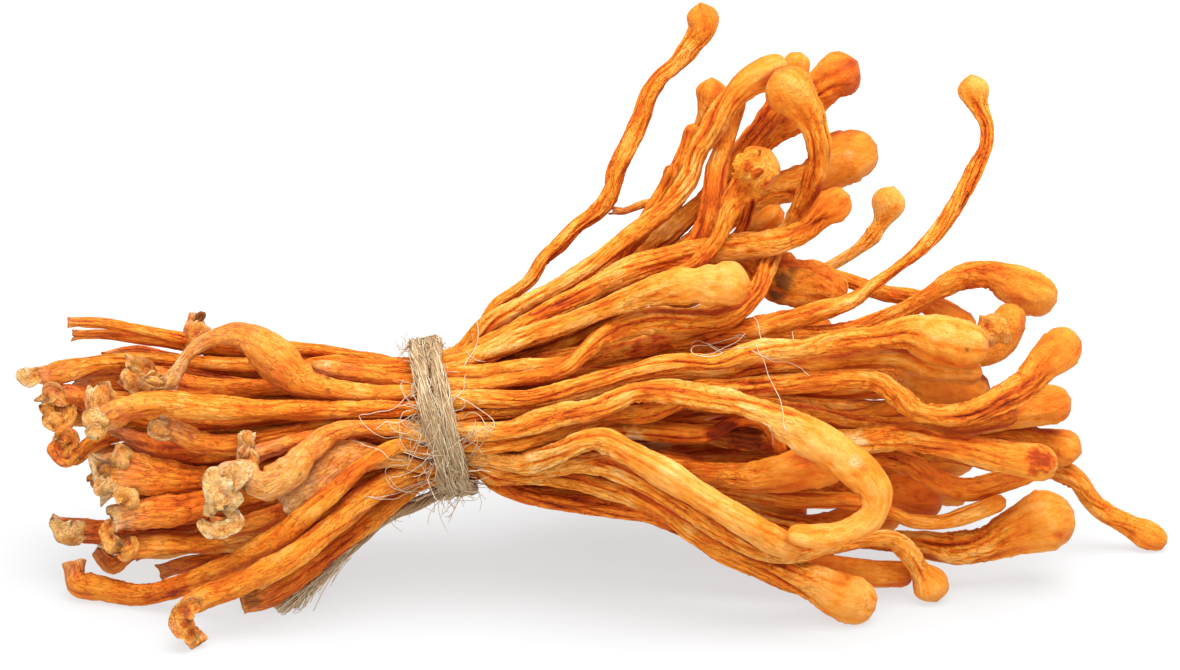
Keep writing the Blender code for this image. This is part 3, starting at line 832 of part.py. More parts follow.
    def squeeze_the_rest(self):
        """Thins both stalks at the rings on either side of wherever they still touch."""
        for _ in range(SQUEEZE_ROUNDS):
            i, j = self.near_pairs(NEAR)
            deep, _, need = self.overlap(i, j, LEAST_GAP)
            hit = deep > 0
            fit = 1 - deep[hit] / need[hit]
            scale = np.ones(len(self.place))
            for k in (i[hit], j[hit]):
                np.minimum.at(scale, self.before[k], fit)
                np.minimum.at(scale, self.after[k], fit)
            self.half_wide *= scale
            self.half_thin *= scale
            self.straighten()


def finished_run(bunch, index):
    """One stalk's rings after everything is in place: middles, directions, half sizes, end points."""
    keep = bunch.rings[index]
    base, head = keep[0], keep[-1]
    head_tip = bunch.place[head]
    base_tip = bunch.place[base] + bunch.tangent[base] * BASE_HOLLOW * bunch.half_wide[base]
    from_base = np.linalg.norm(bunch.place[keep] - bunch.place[base], axis=1)
    tuck = 1 - BASE_TUCK * np.exp(-(from_base / TUCK_REACH) ** 2)
    scale = bunch.rounding[keep] * tuck
    solid = scale > LEAST_RING
    keep, scale = keep[solid], scale[solid]
    run = [bunch.place[keep], bunch.wide[keep], bunch.thin[keep],
           bunch.half_wide[keep] * scale, bunch.half_thin[keep] * scale]
    last = keep[-1]
    cap = head_tip + (bunch.place[last] - head_tip) * CAP_PLACE
    if np.linalg.norm(cap - head_tip) > LEAST_CAP:
        sizes = (run[3][-1] * CAP_RING, run[4][-1] * CAP_RING)
        small = (cap, bunch.wide[last], bunch.thin[last], *sizes)
        run = [np.concatenate([rows, np.array(row)[None]]) for rows, row in zip(run, small)]
    return run, np.array([base_tip, head_tip])


def loft(name, run, tips, sides):
    """A closed skin over unlike oval rings, with a point at each end."""
    points, wide, thin, half_wide, half_thin = run
    turn = 2 * math.pi * np.arange(sides) / sides
    across = (half_wide[:, None] * np.cos(turn))[:, :, None]
    through = (half_thin[:, None] * np.sin(turn))[:, :, None]
    rings = points[:, None, :] + wide[:, None, :] * across + thin[:, None, :] * through
    count = len(points)
    corners = np.vstack([rings.reshape(-1, 3), tips])
    faces = []
    for k in range(count - 1):
        for s in range(sides):
            here, after = k * sides + s, k * sides + (s + 1) % sides
            faces.append((here, after, after + sides, here + sides))
    last = (count - 1) * sides
    for s in range(sides):
        after = (s + 1) % sides
        faces.append((count * sides, after, s))
        faces.append((count * sides + 1, last + s, last + after))
    mesh = bpy.data.meshes.new(name)
    mesh.from_pydata(corners.tolist(), [], faces)
    mesh.update()
    return mesh


def strand_path():
    """The strand's middle on its turns round the oval, from right to left."""
    s = np.linspace(0, 1, int(STRAND_TURNS * STRAND_STEPS_PER_TURN))
    angle = STRAND_END_ANGLE + 2 * math.pi * STRAND_TURNS * (1 - s)
    up = (OVAL_UP + STRAND_THICK / 2 + STRAND_CLEAR) * np.cos(angle)
    deep = (OVAL_DEEP + STRAND_THICK / 2 + STRAND_CLEAR) * np.sin(angle)
    along = STRAND_PITCH * STRAND_TURNS * (0.5 - s)
    return TIE_MIDDLE + np.outer(along, ALONG) + np.outer(up, UP) + np.outer(deep, TOWARDS)


def loft_strand(turns, tail):
    """The twine as one closed tube: its flat side lies against the bunch, and turns with the tail."""
    path = np.vstack([turns, tail])
    tangent = unit(np.gradient(path, axis=0))
    wide = np.zeros_like(path)
    last = ALONG
    for k in range(len(path)):
        base = ALONG if k < len(turns) else last
        last = base - tangent[k] * (base @ tangent[k])
        last /= np.linalg.norm(last)
        wide[k] = last
    half_wide = np.full(len(path), STRAND_WIDE / 2)
    half_thin = np.full(len(path), STRAND_THICK / 2)
    half_wide[0] *= STRAND_TAPER
    half_thin[0] *= STRAND_TAPER
    start, end = STRAND_TIPS
    tips = np.array([path[0] - tangent[0] * start, path[-1] + tangent[-1] * end])
    run = [path, wide, np.cross(tangent, wide), half_wide, half_thin]
    return loft("twine", run, tips, STRAND_SIDES)


def mesh_points(mesh):
    """A mesh's corners as rows of three numbers."""
    flat = np.zeros(len(mesh.vertices) * 3, np.float32)
    mesh.vertices.foreach_get("co", flat)
    return flat.reshape(-1, 3).astype(float)


def set_down(mesh, shift):
    """Turns a mesh upright, moves it by shift, and presses what is below the surface flat onto it."""
    points = view_to_upright(mesh_points(mesh)) + shift
    points[:, 2] = np.maximum(points[:, 2], 0.0)
    mesh.vertices.foreach_set("co", (points * MM).astype(np.float32).ravel())
    mesh.update()


def make_material(name, colour, roughness):
    """A plain material with that colour and roughness."""
    material = bpy.data.materials.new(name)
    material.use_nodes = True
    shader = material.node_tree.nodes["Principled BSDF"]
    shader.inputs["Base Color"].default_value = (*colour, 1.0)
    shader.inputs["Roughness"].default_value = roughness
    shader.inputs["Metallic"].default_value = 0.0
    return material


def stalk_colour(index):
    """Orange, a little redder or paler from stalk to stalk."""
    wave = 0.5 + 0.5 * math.sin(index * TINT_STEP)
    return tuple(low + (high - low) * wave for low, high in (STALK_RED, STALK_GREEN, STALK_BLUE))


def add_piece(mesh, collection, material):
    """Puts a mesh in the collection as an object of the same name, shaded smooth round its section."""
    piece = bpy.data.objects.new(mesh.name, mesh)
    piece.data.materials.append(material)
    collection.objects.link(piece)
    piece.data.shade_smooth()
    piece.data.set_sharp_from_angle(angle=SHARP_ANGLE)
    return piece


def build():
    """Makes every stalk and the twine, and returns how far they were moved to stand over the origin."""
    for old in list(bpy.data.objects):
        bpy.data.objects.remove(old, do_unlink=True)
    collection = bpy.data.collections.new("cordyceps_bunch")
    bpy.context.scene.collection.children.link(collection)

    names = [name for name, _, _, _, _ in STALKS]
    knots = [stalk_knots(slot, base, head) for _, slot, _, base, head in STALKS]
    flatness = [flat for _, _, flat, _, _ in STALKS]
    strand = strand_path()
    tail_start = np.column_stack([strand[-TAIL_OVERLAP:], np.full(TAIL_OVERLAP, STRAND_THICK)])
    knots.append(picture_to_view(FORK_ARM))
    knots.append(np.vstack([tail_start, picture_to_view(TWINE_TAIL)]))
    flatness += [ARM_FLATNESS, TAIL_FLATNESS]
    resting_ends = [(names.index(name), end) for name, end in RESTING_ENDS]
    in_front = [ring == 0 and step < FRONT_STEPS or name in ALSO_IN_FRONT
                for name, (ring, step), _, _, _ in STALKS]
    in_front += [False, True]

    bunch = Bunch(knots, flatness, resting_ends)
    bunch.relax()
    bunch.keep_rings([FRONT_RING_ERROR if near else BACK_RING_ERROR for near in in_front])
    bunch.relax_rings()
    bunch.squeeze_the_rest()

    made = []
    for index, name in enumerate(names + ["fork_arm"]):
        run, tips = finished_run(bunch, index)
        made.append(loft("stalk_" + name, run, tips, SIDES))
    made.append(loft_strand(strand[:-TAIL_OVERLAP], bunch.place[bunch.rings[-1]]))

    corners = view_to_upright(np.vstack([mesh_points(mesh) for mesh in made]))
    low, high = corners.min(axis=0), corners.max(axis=0)
    shift = np.array([-(low[0] + high[0]) / 2, -(low[1] + high[1]) / 2, 0.0])
    for index, mesh in enumerate(made):
        set_down(mesh, shift)
        if mesh.name == "twine":
            material = make_material("jute_twine", TWINE_COLOUR, TWINE_ROUGHNESS)
        else:
            material = make_material(mesh.name + "_skin", stalk_colour(index), STALK_ROUGHNESS)
        add_piece(mesh, collection, material)
    return shift


SHIFT = build()
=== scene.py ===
# %% [markdown]
# # A tied bunch of dried cordyceps
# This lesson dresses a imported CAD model: about fifty dried orange fungus stalks, tied round the middle
# with jute twine. The CAD model says where every stalk lies. Here each one gets its dried skin: folds,
# wrinkles, a hollow torn base and a grainy head, and then colour. The twine gets its fibres.
# Everything is in the CAD model's own frame, so nothing has to be fitted by eye.

import math

import bpy
import numpy as np
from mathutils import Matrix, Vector
from mathutils.bvhtree import BVHTree


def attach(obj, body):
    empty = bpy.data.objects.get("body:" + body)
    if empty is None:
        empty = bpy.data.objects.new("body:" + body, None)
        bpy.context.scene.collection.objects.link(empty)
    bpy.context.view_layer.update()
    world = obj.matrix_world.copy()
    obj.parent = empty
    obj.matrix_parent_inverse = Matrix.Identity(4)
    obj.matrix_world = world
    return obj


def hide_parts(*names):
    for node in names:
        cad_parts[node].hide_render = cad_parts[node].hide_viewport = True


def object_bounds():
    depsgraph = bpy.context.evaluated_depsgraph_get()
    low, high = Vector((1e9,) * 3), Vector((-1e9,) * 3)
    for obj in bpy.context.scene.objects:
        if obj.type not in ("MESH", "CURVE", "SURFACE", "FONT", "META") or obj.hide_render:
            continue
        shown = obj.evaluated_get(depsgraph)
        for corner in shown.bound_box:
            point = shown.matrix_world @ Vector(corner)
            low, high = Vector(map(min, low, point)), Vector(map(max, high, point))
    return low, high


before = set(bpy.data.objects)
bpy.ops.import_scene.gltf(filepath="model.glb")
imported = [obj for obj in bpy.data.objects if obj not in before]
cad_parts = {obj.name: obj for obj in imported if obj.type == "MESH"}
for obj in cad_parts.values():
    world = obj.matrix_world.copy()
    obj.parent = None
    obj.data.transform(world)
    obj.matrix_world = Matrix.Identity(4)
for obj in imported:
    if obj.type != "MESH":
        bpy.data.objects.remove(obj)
cad_low, cad_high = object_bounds()
MM = 0.001
cad_size = [round((b - a) / MM, 1) for a, b in zip(cad_low, cad_high)]
print("nodes", len(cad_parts), "box mm", cad_size)

# %% [markdown]
# ## The camera
# The picture is 118 mm wide at the tie, seen from 400 mm away and 20 degrees above the table. A long
# lens gives the same view: its length is the sensor's width times distance over picture width. The
# camera comes first, because hairs and marks are put on the stalks along its rays later.

# %% Place the camera
PICTURE_W, PICTURE_H = 118.0, 67.0
EYE_DISTANCE, EYE_ELEVATION = 400.0, math.radians(20.0)
PICTURE_MIDDLE = np.array([-1.1330, -4.1361, 24.8])
SENSOR_W = 36.0
BACK = np.array([0.0, -math.cos(EYE_ELEVATION), math.sin(EYE_ELEVATION)])
UPWARDS = np.array([0.0, math.sin(EYE_ELEVATION), math.cos(EYE_ELEVATION)])
EYE = PICTURE_MIDDLE + EYE_DISTANCE * BACK


def placed(name, data):
    """A new object with this data, in the scene."""
    made = bpy.data.objects.new(name, data)
    bpy.context.scene.collection.objects.link(made)
    return made


camera_data = bpy.data.cameras.new("camera")
camera_data.sensor_width = SENSOR_W
camera_data.lens = SENSOR_W * EYE_DISTANCE / PICTURE_W
camera_data.clip_start = 0.01
camera_data.clip_end = 20.0
camera = placed("camera", camera_data)
camera.location = Vector(EYE * MM)
camera.rotation_euler = (math.pi / 2 - EYE_ELEVATION, 0.0, 0.0)
bpy.context.scene.camera = camera
print("lens mm", round(camera_data.lens, 1))

# %% [markdown]
# ## The drawn routes
# Each stalk was drawn in the plane of the picture, and the same points are used here: from its base to
# the tie, and from the tie to its head's tip. A point is (right, down, depth, width) in tenths of a
# millimetre. The CAD model keeps few rings of each stalk, so thin necks and round heads come from these
# points. The stalks stand in the tie in four rings, and the number after a name is its step round one.

# %% Routes of the outer ring: the stalks that face the eye, and those behind them
OUTER = [
    ("top_bend", 0, [(67, 322, -10, 11), (100, 323, -10, 12), (140, 330, -8, 12), (180, 338, -6, 12),
     (230, 342, -2, 12), (285, 345, 2, 13), (340, 350, 6, 14), (390, 355, 6, 16), (485, 324, 8, 20),
     (520, 306, 8, 20), (560, 286, 6, 20), (600, 260, 4, 21), (630, 236, 2, 22), (666, 208, 0, 24),
     (688, 179, 0, 25), (697, 152, 0, 25), (712, 129, 2, 28), (726, 106, 4, 29), (746, 85, 4, 31),
     (768, 72, 2, 34), (788, 62, 0, 28)]),
    ("fork", 23, [(72, 335, -24, 10), (110, 335, -24, 11), (150, 342, -22, 11), (200, 352, -20, 11),
     (280, 356, -20, 11), (360, 360, -20, 13), (470, 330, -20, 12), (492, 304, -24, 12),
     (515, 290, -30, 13), (531, 278, -33, 14), (544, 258, -36, 17), (559, 245, -38, 18),
     (576, 227, -40, 16), (599, 210, -40, 20), (610, 194, -40, 20), (616, 173, -40, 23),
     (628, 146, -40, 22), (641, 118, -40, 21), (648, 97, -40, 19), (659, 79, -40, 18), (677, 63, -40, 17),
     (690, 47, -40, 24), (702, 28, -40, 34), (701, 2, -40, 33)]),
    ("long_elbow", 1, [(197, 313, -34, 14), (195, 328, -34, 25), (198, 341, -34, 20), (224, 356, -30, 14),
     (270, 363, -20, 14), (340, 363, 4, 15), (390, 366, 16, 16), (485, 338, 20, 18), (520, 323, 18, 20),
     (570, 300, 16, 20), (620, 277, 14, 22), (660, 264, 12, 24), (700, 254, 12, 26), (740, 248, 14, 26),
     (776, 242, 16, 25), (803, 232, 18, 24), (820, 216, 18, 30), (836, 203, 18, 40), (849, 195, 18, 36)]),
    ("front_club", 2, [(22, 375, -26, 12), (46, 375, -26, 19), (80, 368, -24, 19), (110, 362, -22, 16),
     (150, 359, -20, 13), (220, 365, -14, 13), (300, 369, 0, 14), (380, 371, 26, 15), (485, 351, 42, 19),
     (520, 341, 46, 19), (560, 329, 54, 19), (600, 313, 64, 19), (630, 301, 72, 24), (660, 291, 78, 30),
     (690, 286, 80, 42), (720, 285, 80, 48), (751, 282, 80, 40)]),
    ("swan_neck", 3, [(314, 362, 34, 18), (330, 364, 38, 22), (355, 369, 44, 22), (390, 376, 50, 20),
     (483, 373, 50, 15), (515, 367, 44, 14), (560, 362, 34, 15), (620, 350, 26, 17), (680, 338, 24, 20),
     (740, 330, 32, 23), (780, 322, 38, 24), (820, 311, 40, 22), (852, 301, 38, 18), (872, 286, 34, 14),
     (896, 269, 30, 14), (922, 248, 26, 15), (944, 223, 22, 18), (961, 196, 18, 19), (975, 168, 16, 19),
     (986, 144, 14, 15), (986, 124, 12, 14), (979, 108, 10, 20), (974, 94, 8, 34), (971, 74, 6, 34)]),
    ("high_loop", 4, [(166, 386, 46, 22), (177, 371, 46, 16), (188, 354, 48, 12), (204, 342, 50, 16),
     (226, 336, 54, 22), (248, 340, 58, 34), (268, 354, 62, 42), (288, 370, 64, 42), (310, 382, 64, 32),
     (340, 389, 66, 23), (385, 393, 68, 19), (478, 386, 68, 15), (510, 380, 68, 15), (540, 375, 70, 16),
     (565, 366, 72, 17), (584, 350, 72, 18), (602, 335, 70, 21), (625, 325, 66, 24), (655, 321, 60, 26),
     (690, 321, 54, 27), (720, 319, 48, 28), (743, 306, 42, 28), (759, 287, 32, 27), (768, 266, 12, 26),
     (778, 244, -10, 24), (793, 222, -10, 25), (807, 198, 6, 28), (816, 172, 24, 29), (819, 148, 36, 29),
     (812, 123, 42, 30), (801, 104, 44, 42), (789, 88, 44, 52), (776, 69, 44, 46)]),
    ("long_upper", 5, [(89, 425, 66, 23), (110, 416, 68, 27), (132, 407, 72, 26), (160, 402, 76, 25),
     (200, 405, 80, 24), (280, 408, 82, 21), (340, 408, 82, 19), (390, 407, 82, 18), (485, 399, 84, 17),
     (530, 398, 88, 17), (580, 386, 92, 17), (630, 372, 94, 17), (680, 362, 94, 17), (720, 361, 94, 17),
     (760, 350, 92, 19), (800, 349, 90, 19), (840, 341, 88, 22), (880, 338, 86, 24), (906, 334, 84, 32),
     (936, 339, 84, 49), (989, 349, 84, 49)]),
    ("long_lower", 6, [(156, 427, 54, 24), (175, 432, 56, 25), (200, 442, 60, 24), (240, 444, 66, 22),
     (290, 434, 72, 18), (340, 424, 78, 15), (390, 423, 82, 15), (485, 411, 80, 16), (530, 409, 78, 16),
     (580, 400, 76, 16), (630, 386, 74, 17), (680, 376, 74, 18), (730, 374, 72, 19), (775, 366, 70, 19),
     (820, 364, 68, 22), (865, 359, 64, 23), (900, 358, 60, 24), (930, 367, 56, 26), (983, 373, 52, 24)]),
    ("strap_loop", 7, [(223, 506, 96, 26), (227, 482, 98, 32), (243, 476, 100, 34), (264, 484, 104, 36),
     (290, 472, 104, 36), (312, 449, 100, 26), (342, 432, 94, 19), (390, 434, 88, 16), (485, 435, 94, 20),
     (520, 432, 98, 20), (560, 418, 102, 22), (600, 409, 104, 22), (635, 393, 104, 22), (665, 392, 104, 23),
     (700, 398, 108, 24), (740, 405, 114, 25), (775, 418, 120, 30), (805, 435, 124, 38),
     (836, 453, 126, 42), (860, 472, 128, 42), (875, 493, 128, 38), (872, 515, 128, 30),
     (850, 531, 128, 27), (818, 537, 128, 27), (786, 533, 128, 24)]),
    ("dipper", 8, [(68, 562, 42, 26), (74, 582, 46, 34), (96, 588, 52, 29), (135, 594, 62, 27),
     (170, 587, 72, 26), (205, 576, 82, 25), (240, 561, 92, 24), (280, 539, 102, 23), (310, 514, 108, 22),
     (335, 491, 108, 21), (360, 469, 102, 18), (395, 448, 92, 16), (485, 450, 82, 16), (525, 446, 80, 17),
     (570, 431, 80, 17), (610, 419, 82, 17), (645, 414, 86, 18), (675, 402, 88, 18), (700, 389, 88, 20),
     (730, 389, 84, 20), (770, 386, 80, 21), (810, 382, 78, 21), (845, 379, 76, 22), (876, 381, 74, 22),
     (896, 394, 76, 23), (914, 409, 80, 24), (940, 415, 82, 23), (970, 413, 82, 24), (998, 402, 80, 28),
     (1026, 385, 76, 32), (1044, 365, 72, 40), (1059, 350, 68, 49), (1075, 332, 64, 42)]),
    ("knee", 9, [(284, 510, 90, 32), (304, 493, 92, 44), (326, 473, 92, 46), (352, 457, 90, 38),
     (390, 454, 84, 24), (485, 466, 80, 22), (525, 461, 90, 22), (560, 449, 100, 21), (587, 439, 108, 23),
     (606, 441, 112, 26), (630, 454, 116, 28), (665, 474, 118, 30), (700, 496, 118, 29),
     (740, 520, 116, 29), (772, 539, 102, 31), (802, 550, 90, 26)]),
    ("drop", 10, [(198, 644, 134, 18), (184, 626, 130, 22), (184, 609, 126, 24), (202, 596, 122, 26),
     (230, 585, 118, 26), (265, 568, 116, 25), (300, 546, 114, 24), (330, 522, 110, 24),
     (360, 498, 102, 24), (395, 478, 86, 22), (485, 480, 66, 18), (530, 476, 74, 18), (570, 466, 84, 18),
     (605, 467, 92, 19), (640, 481, 100, 20), (680, 504, 106, 20), (720, 530, 104, 20), (760, 550, 94, 20),
     (795, 554, 78, 19), (830, 547, 60, 19), (865, 540, 46, 19), (892, 539, 36, 19), (908, 552, 28, 20),
     (920, 569, 20, 28), (931, 584, 14, 40), (937, 603, 10, 39)]),
    ("foot", 11, [(258, 586, 62, 14), (290, 562, 66, 14), (330, 532, 70, 14), (370, 504, 64, 14),
     (400, 489, 50, 14), (485, 488, 42, 15), (540, 486, 48, 16), (590, 488, 60, 18), (630, 496, 74, 19),
     (665, 512, 86, 20), (690, 530, 92, 22), (715, 546, 94, 25), (750, 562, 94, 27), (785, 574, 90, 30),
     (816, 583, 86, 36), (840, 595, 82, 48), (877, 610, 78, 48)]),
    ("keel", 12, [(238, 602, 32, 26), (262, 594, 36, 30), (288, 580, 40, 28), (320, 557, 42, 24),
     (355, 532, 38, 22), (395, 504, 26, 18), (485, 492, 10, 16), (540, 501, 14, 18), (600, 506, 20, 19),
     (650, 512, 28, 19), (690, 529, 34, 20), (730, 544, 32, 22), (780, 559, 24, 26), (830, 569, 14, 28),
     (874, 574, 4, 28), (914, 574, -6, 26)]),
    ("keel_back", 13, [(292, 576, -10, 16), (330, 554, -10, 16), (370, 526, -12, 16), (400, 506, -18, 15),
     (485, 490, -20, 15), (550, 496, -18, 16), (610, 500, -16, 18), (660, 508, -16, 19),
     (710, 522, -20, 20), (760, 534, -28, 24), (800, 538, -36, 32), (840, 536, -42, 32)]),
    ("rear_round", 22, [(96, 366, -86, 14), (140, 366, -84, 18), (220, 372, -76, 16), (310, 374, -60, 14),
     (380, 372, -46, 14), (485, 344, -42, 15), (540, 316, -58, 16), (590, 284, -74, 17),
     (640, 244, -86, 18), (674, 204, -80, 18), (694, 164, -66, 18), (706, 128, -56, 20),
     (711, 102, -50, 29), (712, 77, -46, 31)]),
    ("rear_knot", 21, [(150, 380, -110, 15), (190, 378, -108, 20), (260, 380, -96, 16), (330, 382, -82, 14),
     (390, 380, -68, 14), (485, 356, -64, 14), (540, 326, -66, 15), (590, 288, -54, 16),
     (630, 248, -40, 16), (660, 208, -32, 17), (680, 168, -30, 17), (690, 144, -30, 20),
     (694, 123, -30, 20)]),
    ("rear_bud", 20, [(94, 404, -114, 15), (126, 404, -114, 20), (200, 408, -108, 17), (300, 400, -96, 15),
     (385, 394, -84, 14), (485, 372, -82, 14), (550, 340, -94, 15), (620, 300, -104, 16),
     (680, 264, -102, 17), (720, 240, -84, 18), (746, 224, -64, 20), (779, 204, -50, 29)]),
    ("far_back", 19, [(136, 436, -132, 16), (164, 434, -132, 21), (230, 438, -124, 17),
     (310, 424, -110, 15), (385, 412, -94, 14), (485, 390, -96, 14), (560, 366, -130, 16),
     (640, 336, -170, 17), (720, 306, -206, 16), (790, 282, -230, 12), (830, 266, -240, 12),
     (864, 244, -244, 14), (880, 224, -246, 28), (894, 186, -248, 36)]),
    ("back_upper", 18, [(128, 454, -146, 18), (156, 450, -144, 22), (210, 442, -136, 18),
     (290, 430, -120, 15), (385, 418, -98, 14), (485, 406, -100, 15), (570, 392, -124, 16),
     (660, 372, -146, 17), (750, 356, -156, 19), (830, 352, -154, 22), (875, 348, -148, 36),
     (916, 340, -142, 40)]),
    ("back_middle", 17, [(130, 488, -158, 17), (170, 484, -156, 22), (240, 468, -144, 18),
     (320, 448, -122, 15), (390, 432, -98, 14), (485, 422, -98, 15), (570, 412, -126, 16),
     (670, 402, -154, 18), (770, 394, -176, 19), (860, 388, -184, 22), (920, 386, -182, 36),
     (966, 382, -178, 42)]),
    ("back_curl", 16, [(146, 510, -126, 16), (170, 506, -126, 21), (220, 494, -120, 18),
     (290, 470, -108, 15), (385, 444, -92, 14), (485, 438, -90, 15), (560, 438, -118, 16),
     (650, 434, -152, 17), (730, 424, -184, 18), (800, 418, -210, 19), (860, 428, -226, 22),
     (896, 446, -226, 34), (916, 474, -220, 38)]),
    ("back_prop", 15, [(160, 528, -156, 17), (200, 522, -150, 22), (270, 498, -128, 18),
     (340, 470, -104, 15), (395, 452, -86, 14), (485, 454, -78, 15), (560, 464, -106, 17),
     (640, 482, -138, 19), (710, 502, -164, 22), (760, 514, -178, 34), (806, 518, -186, 40)]),
    ("back_heel", 14, [(210, 546, -116, 17), (250, 534, -110, 21), (300, 512, -94, 17), (360, 486, -72, 15),
     (400, 470, -58, 14), (485, 474, -54, 15), (560, 486, -70, 16), (640, 502, -88, 18),
     (720, 518, -104, 20), (800, 524, -114, 22), (860, 518, -120, 34), (904, 506, -122, 40)]),
]

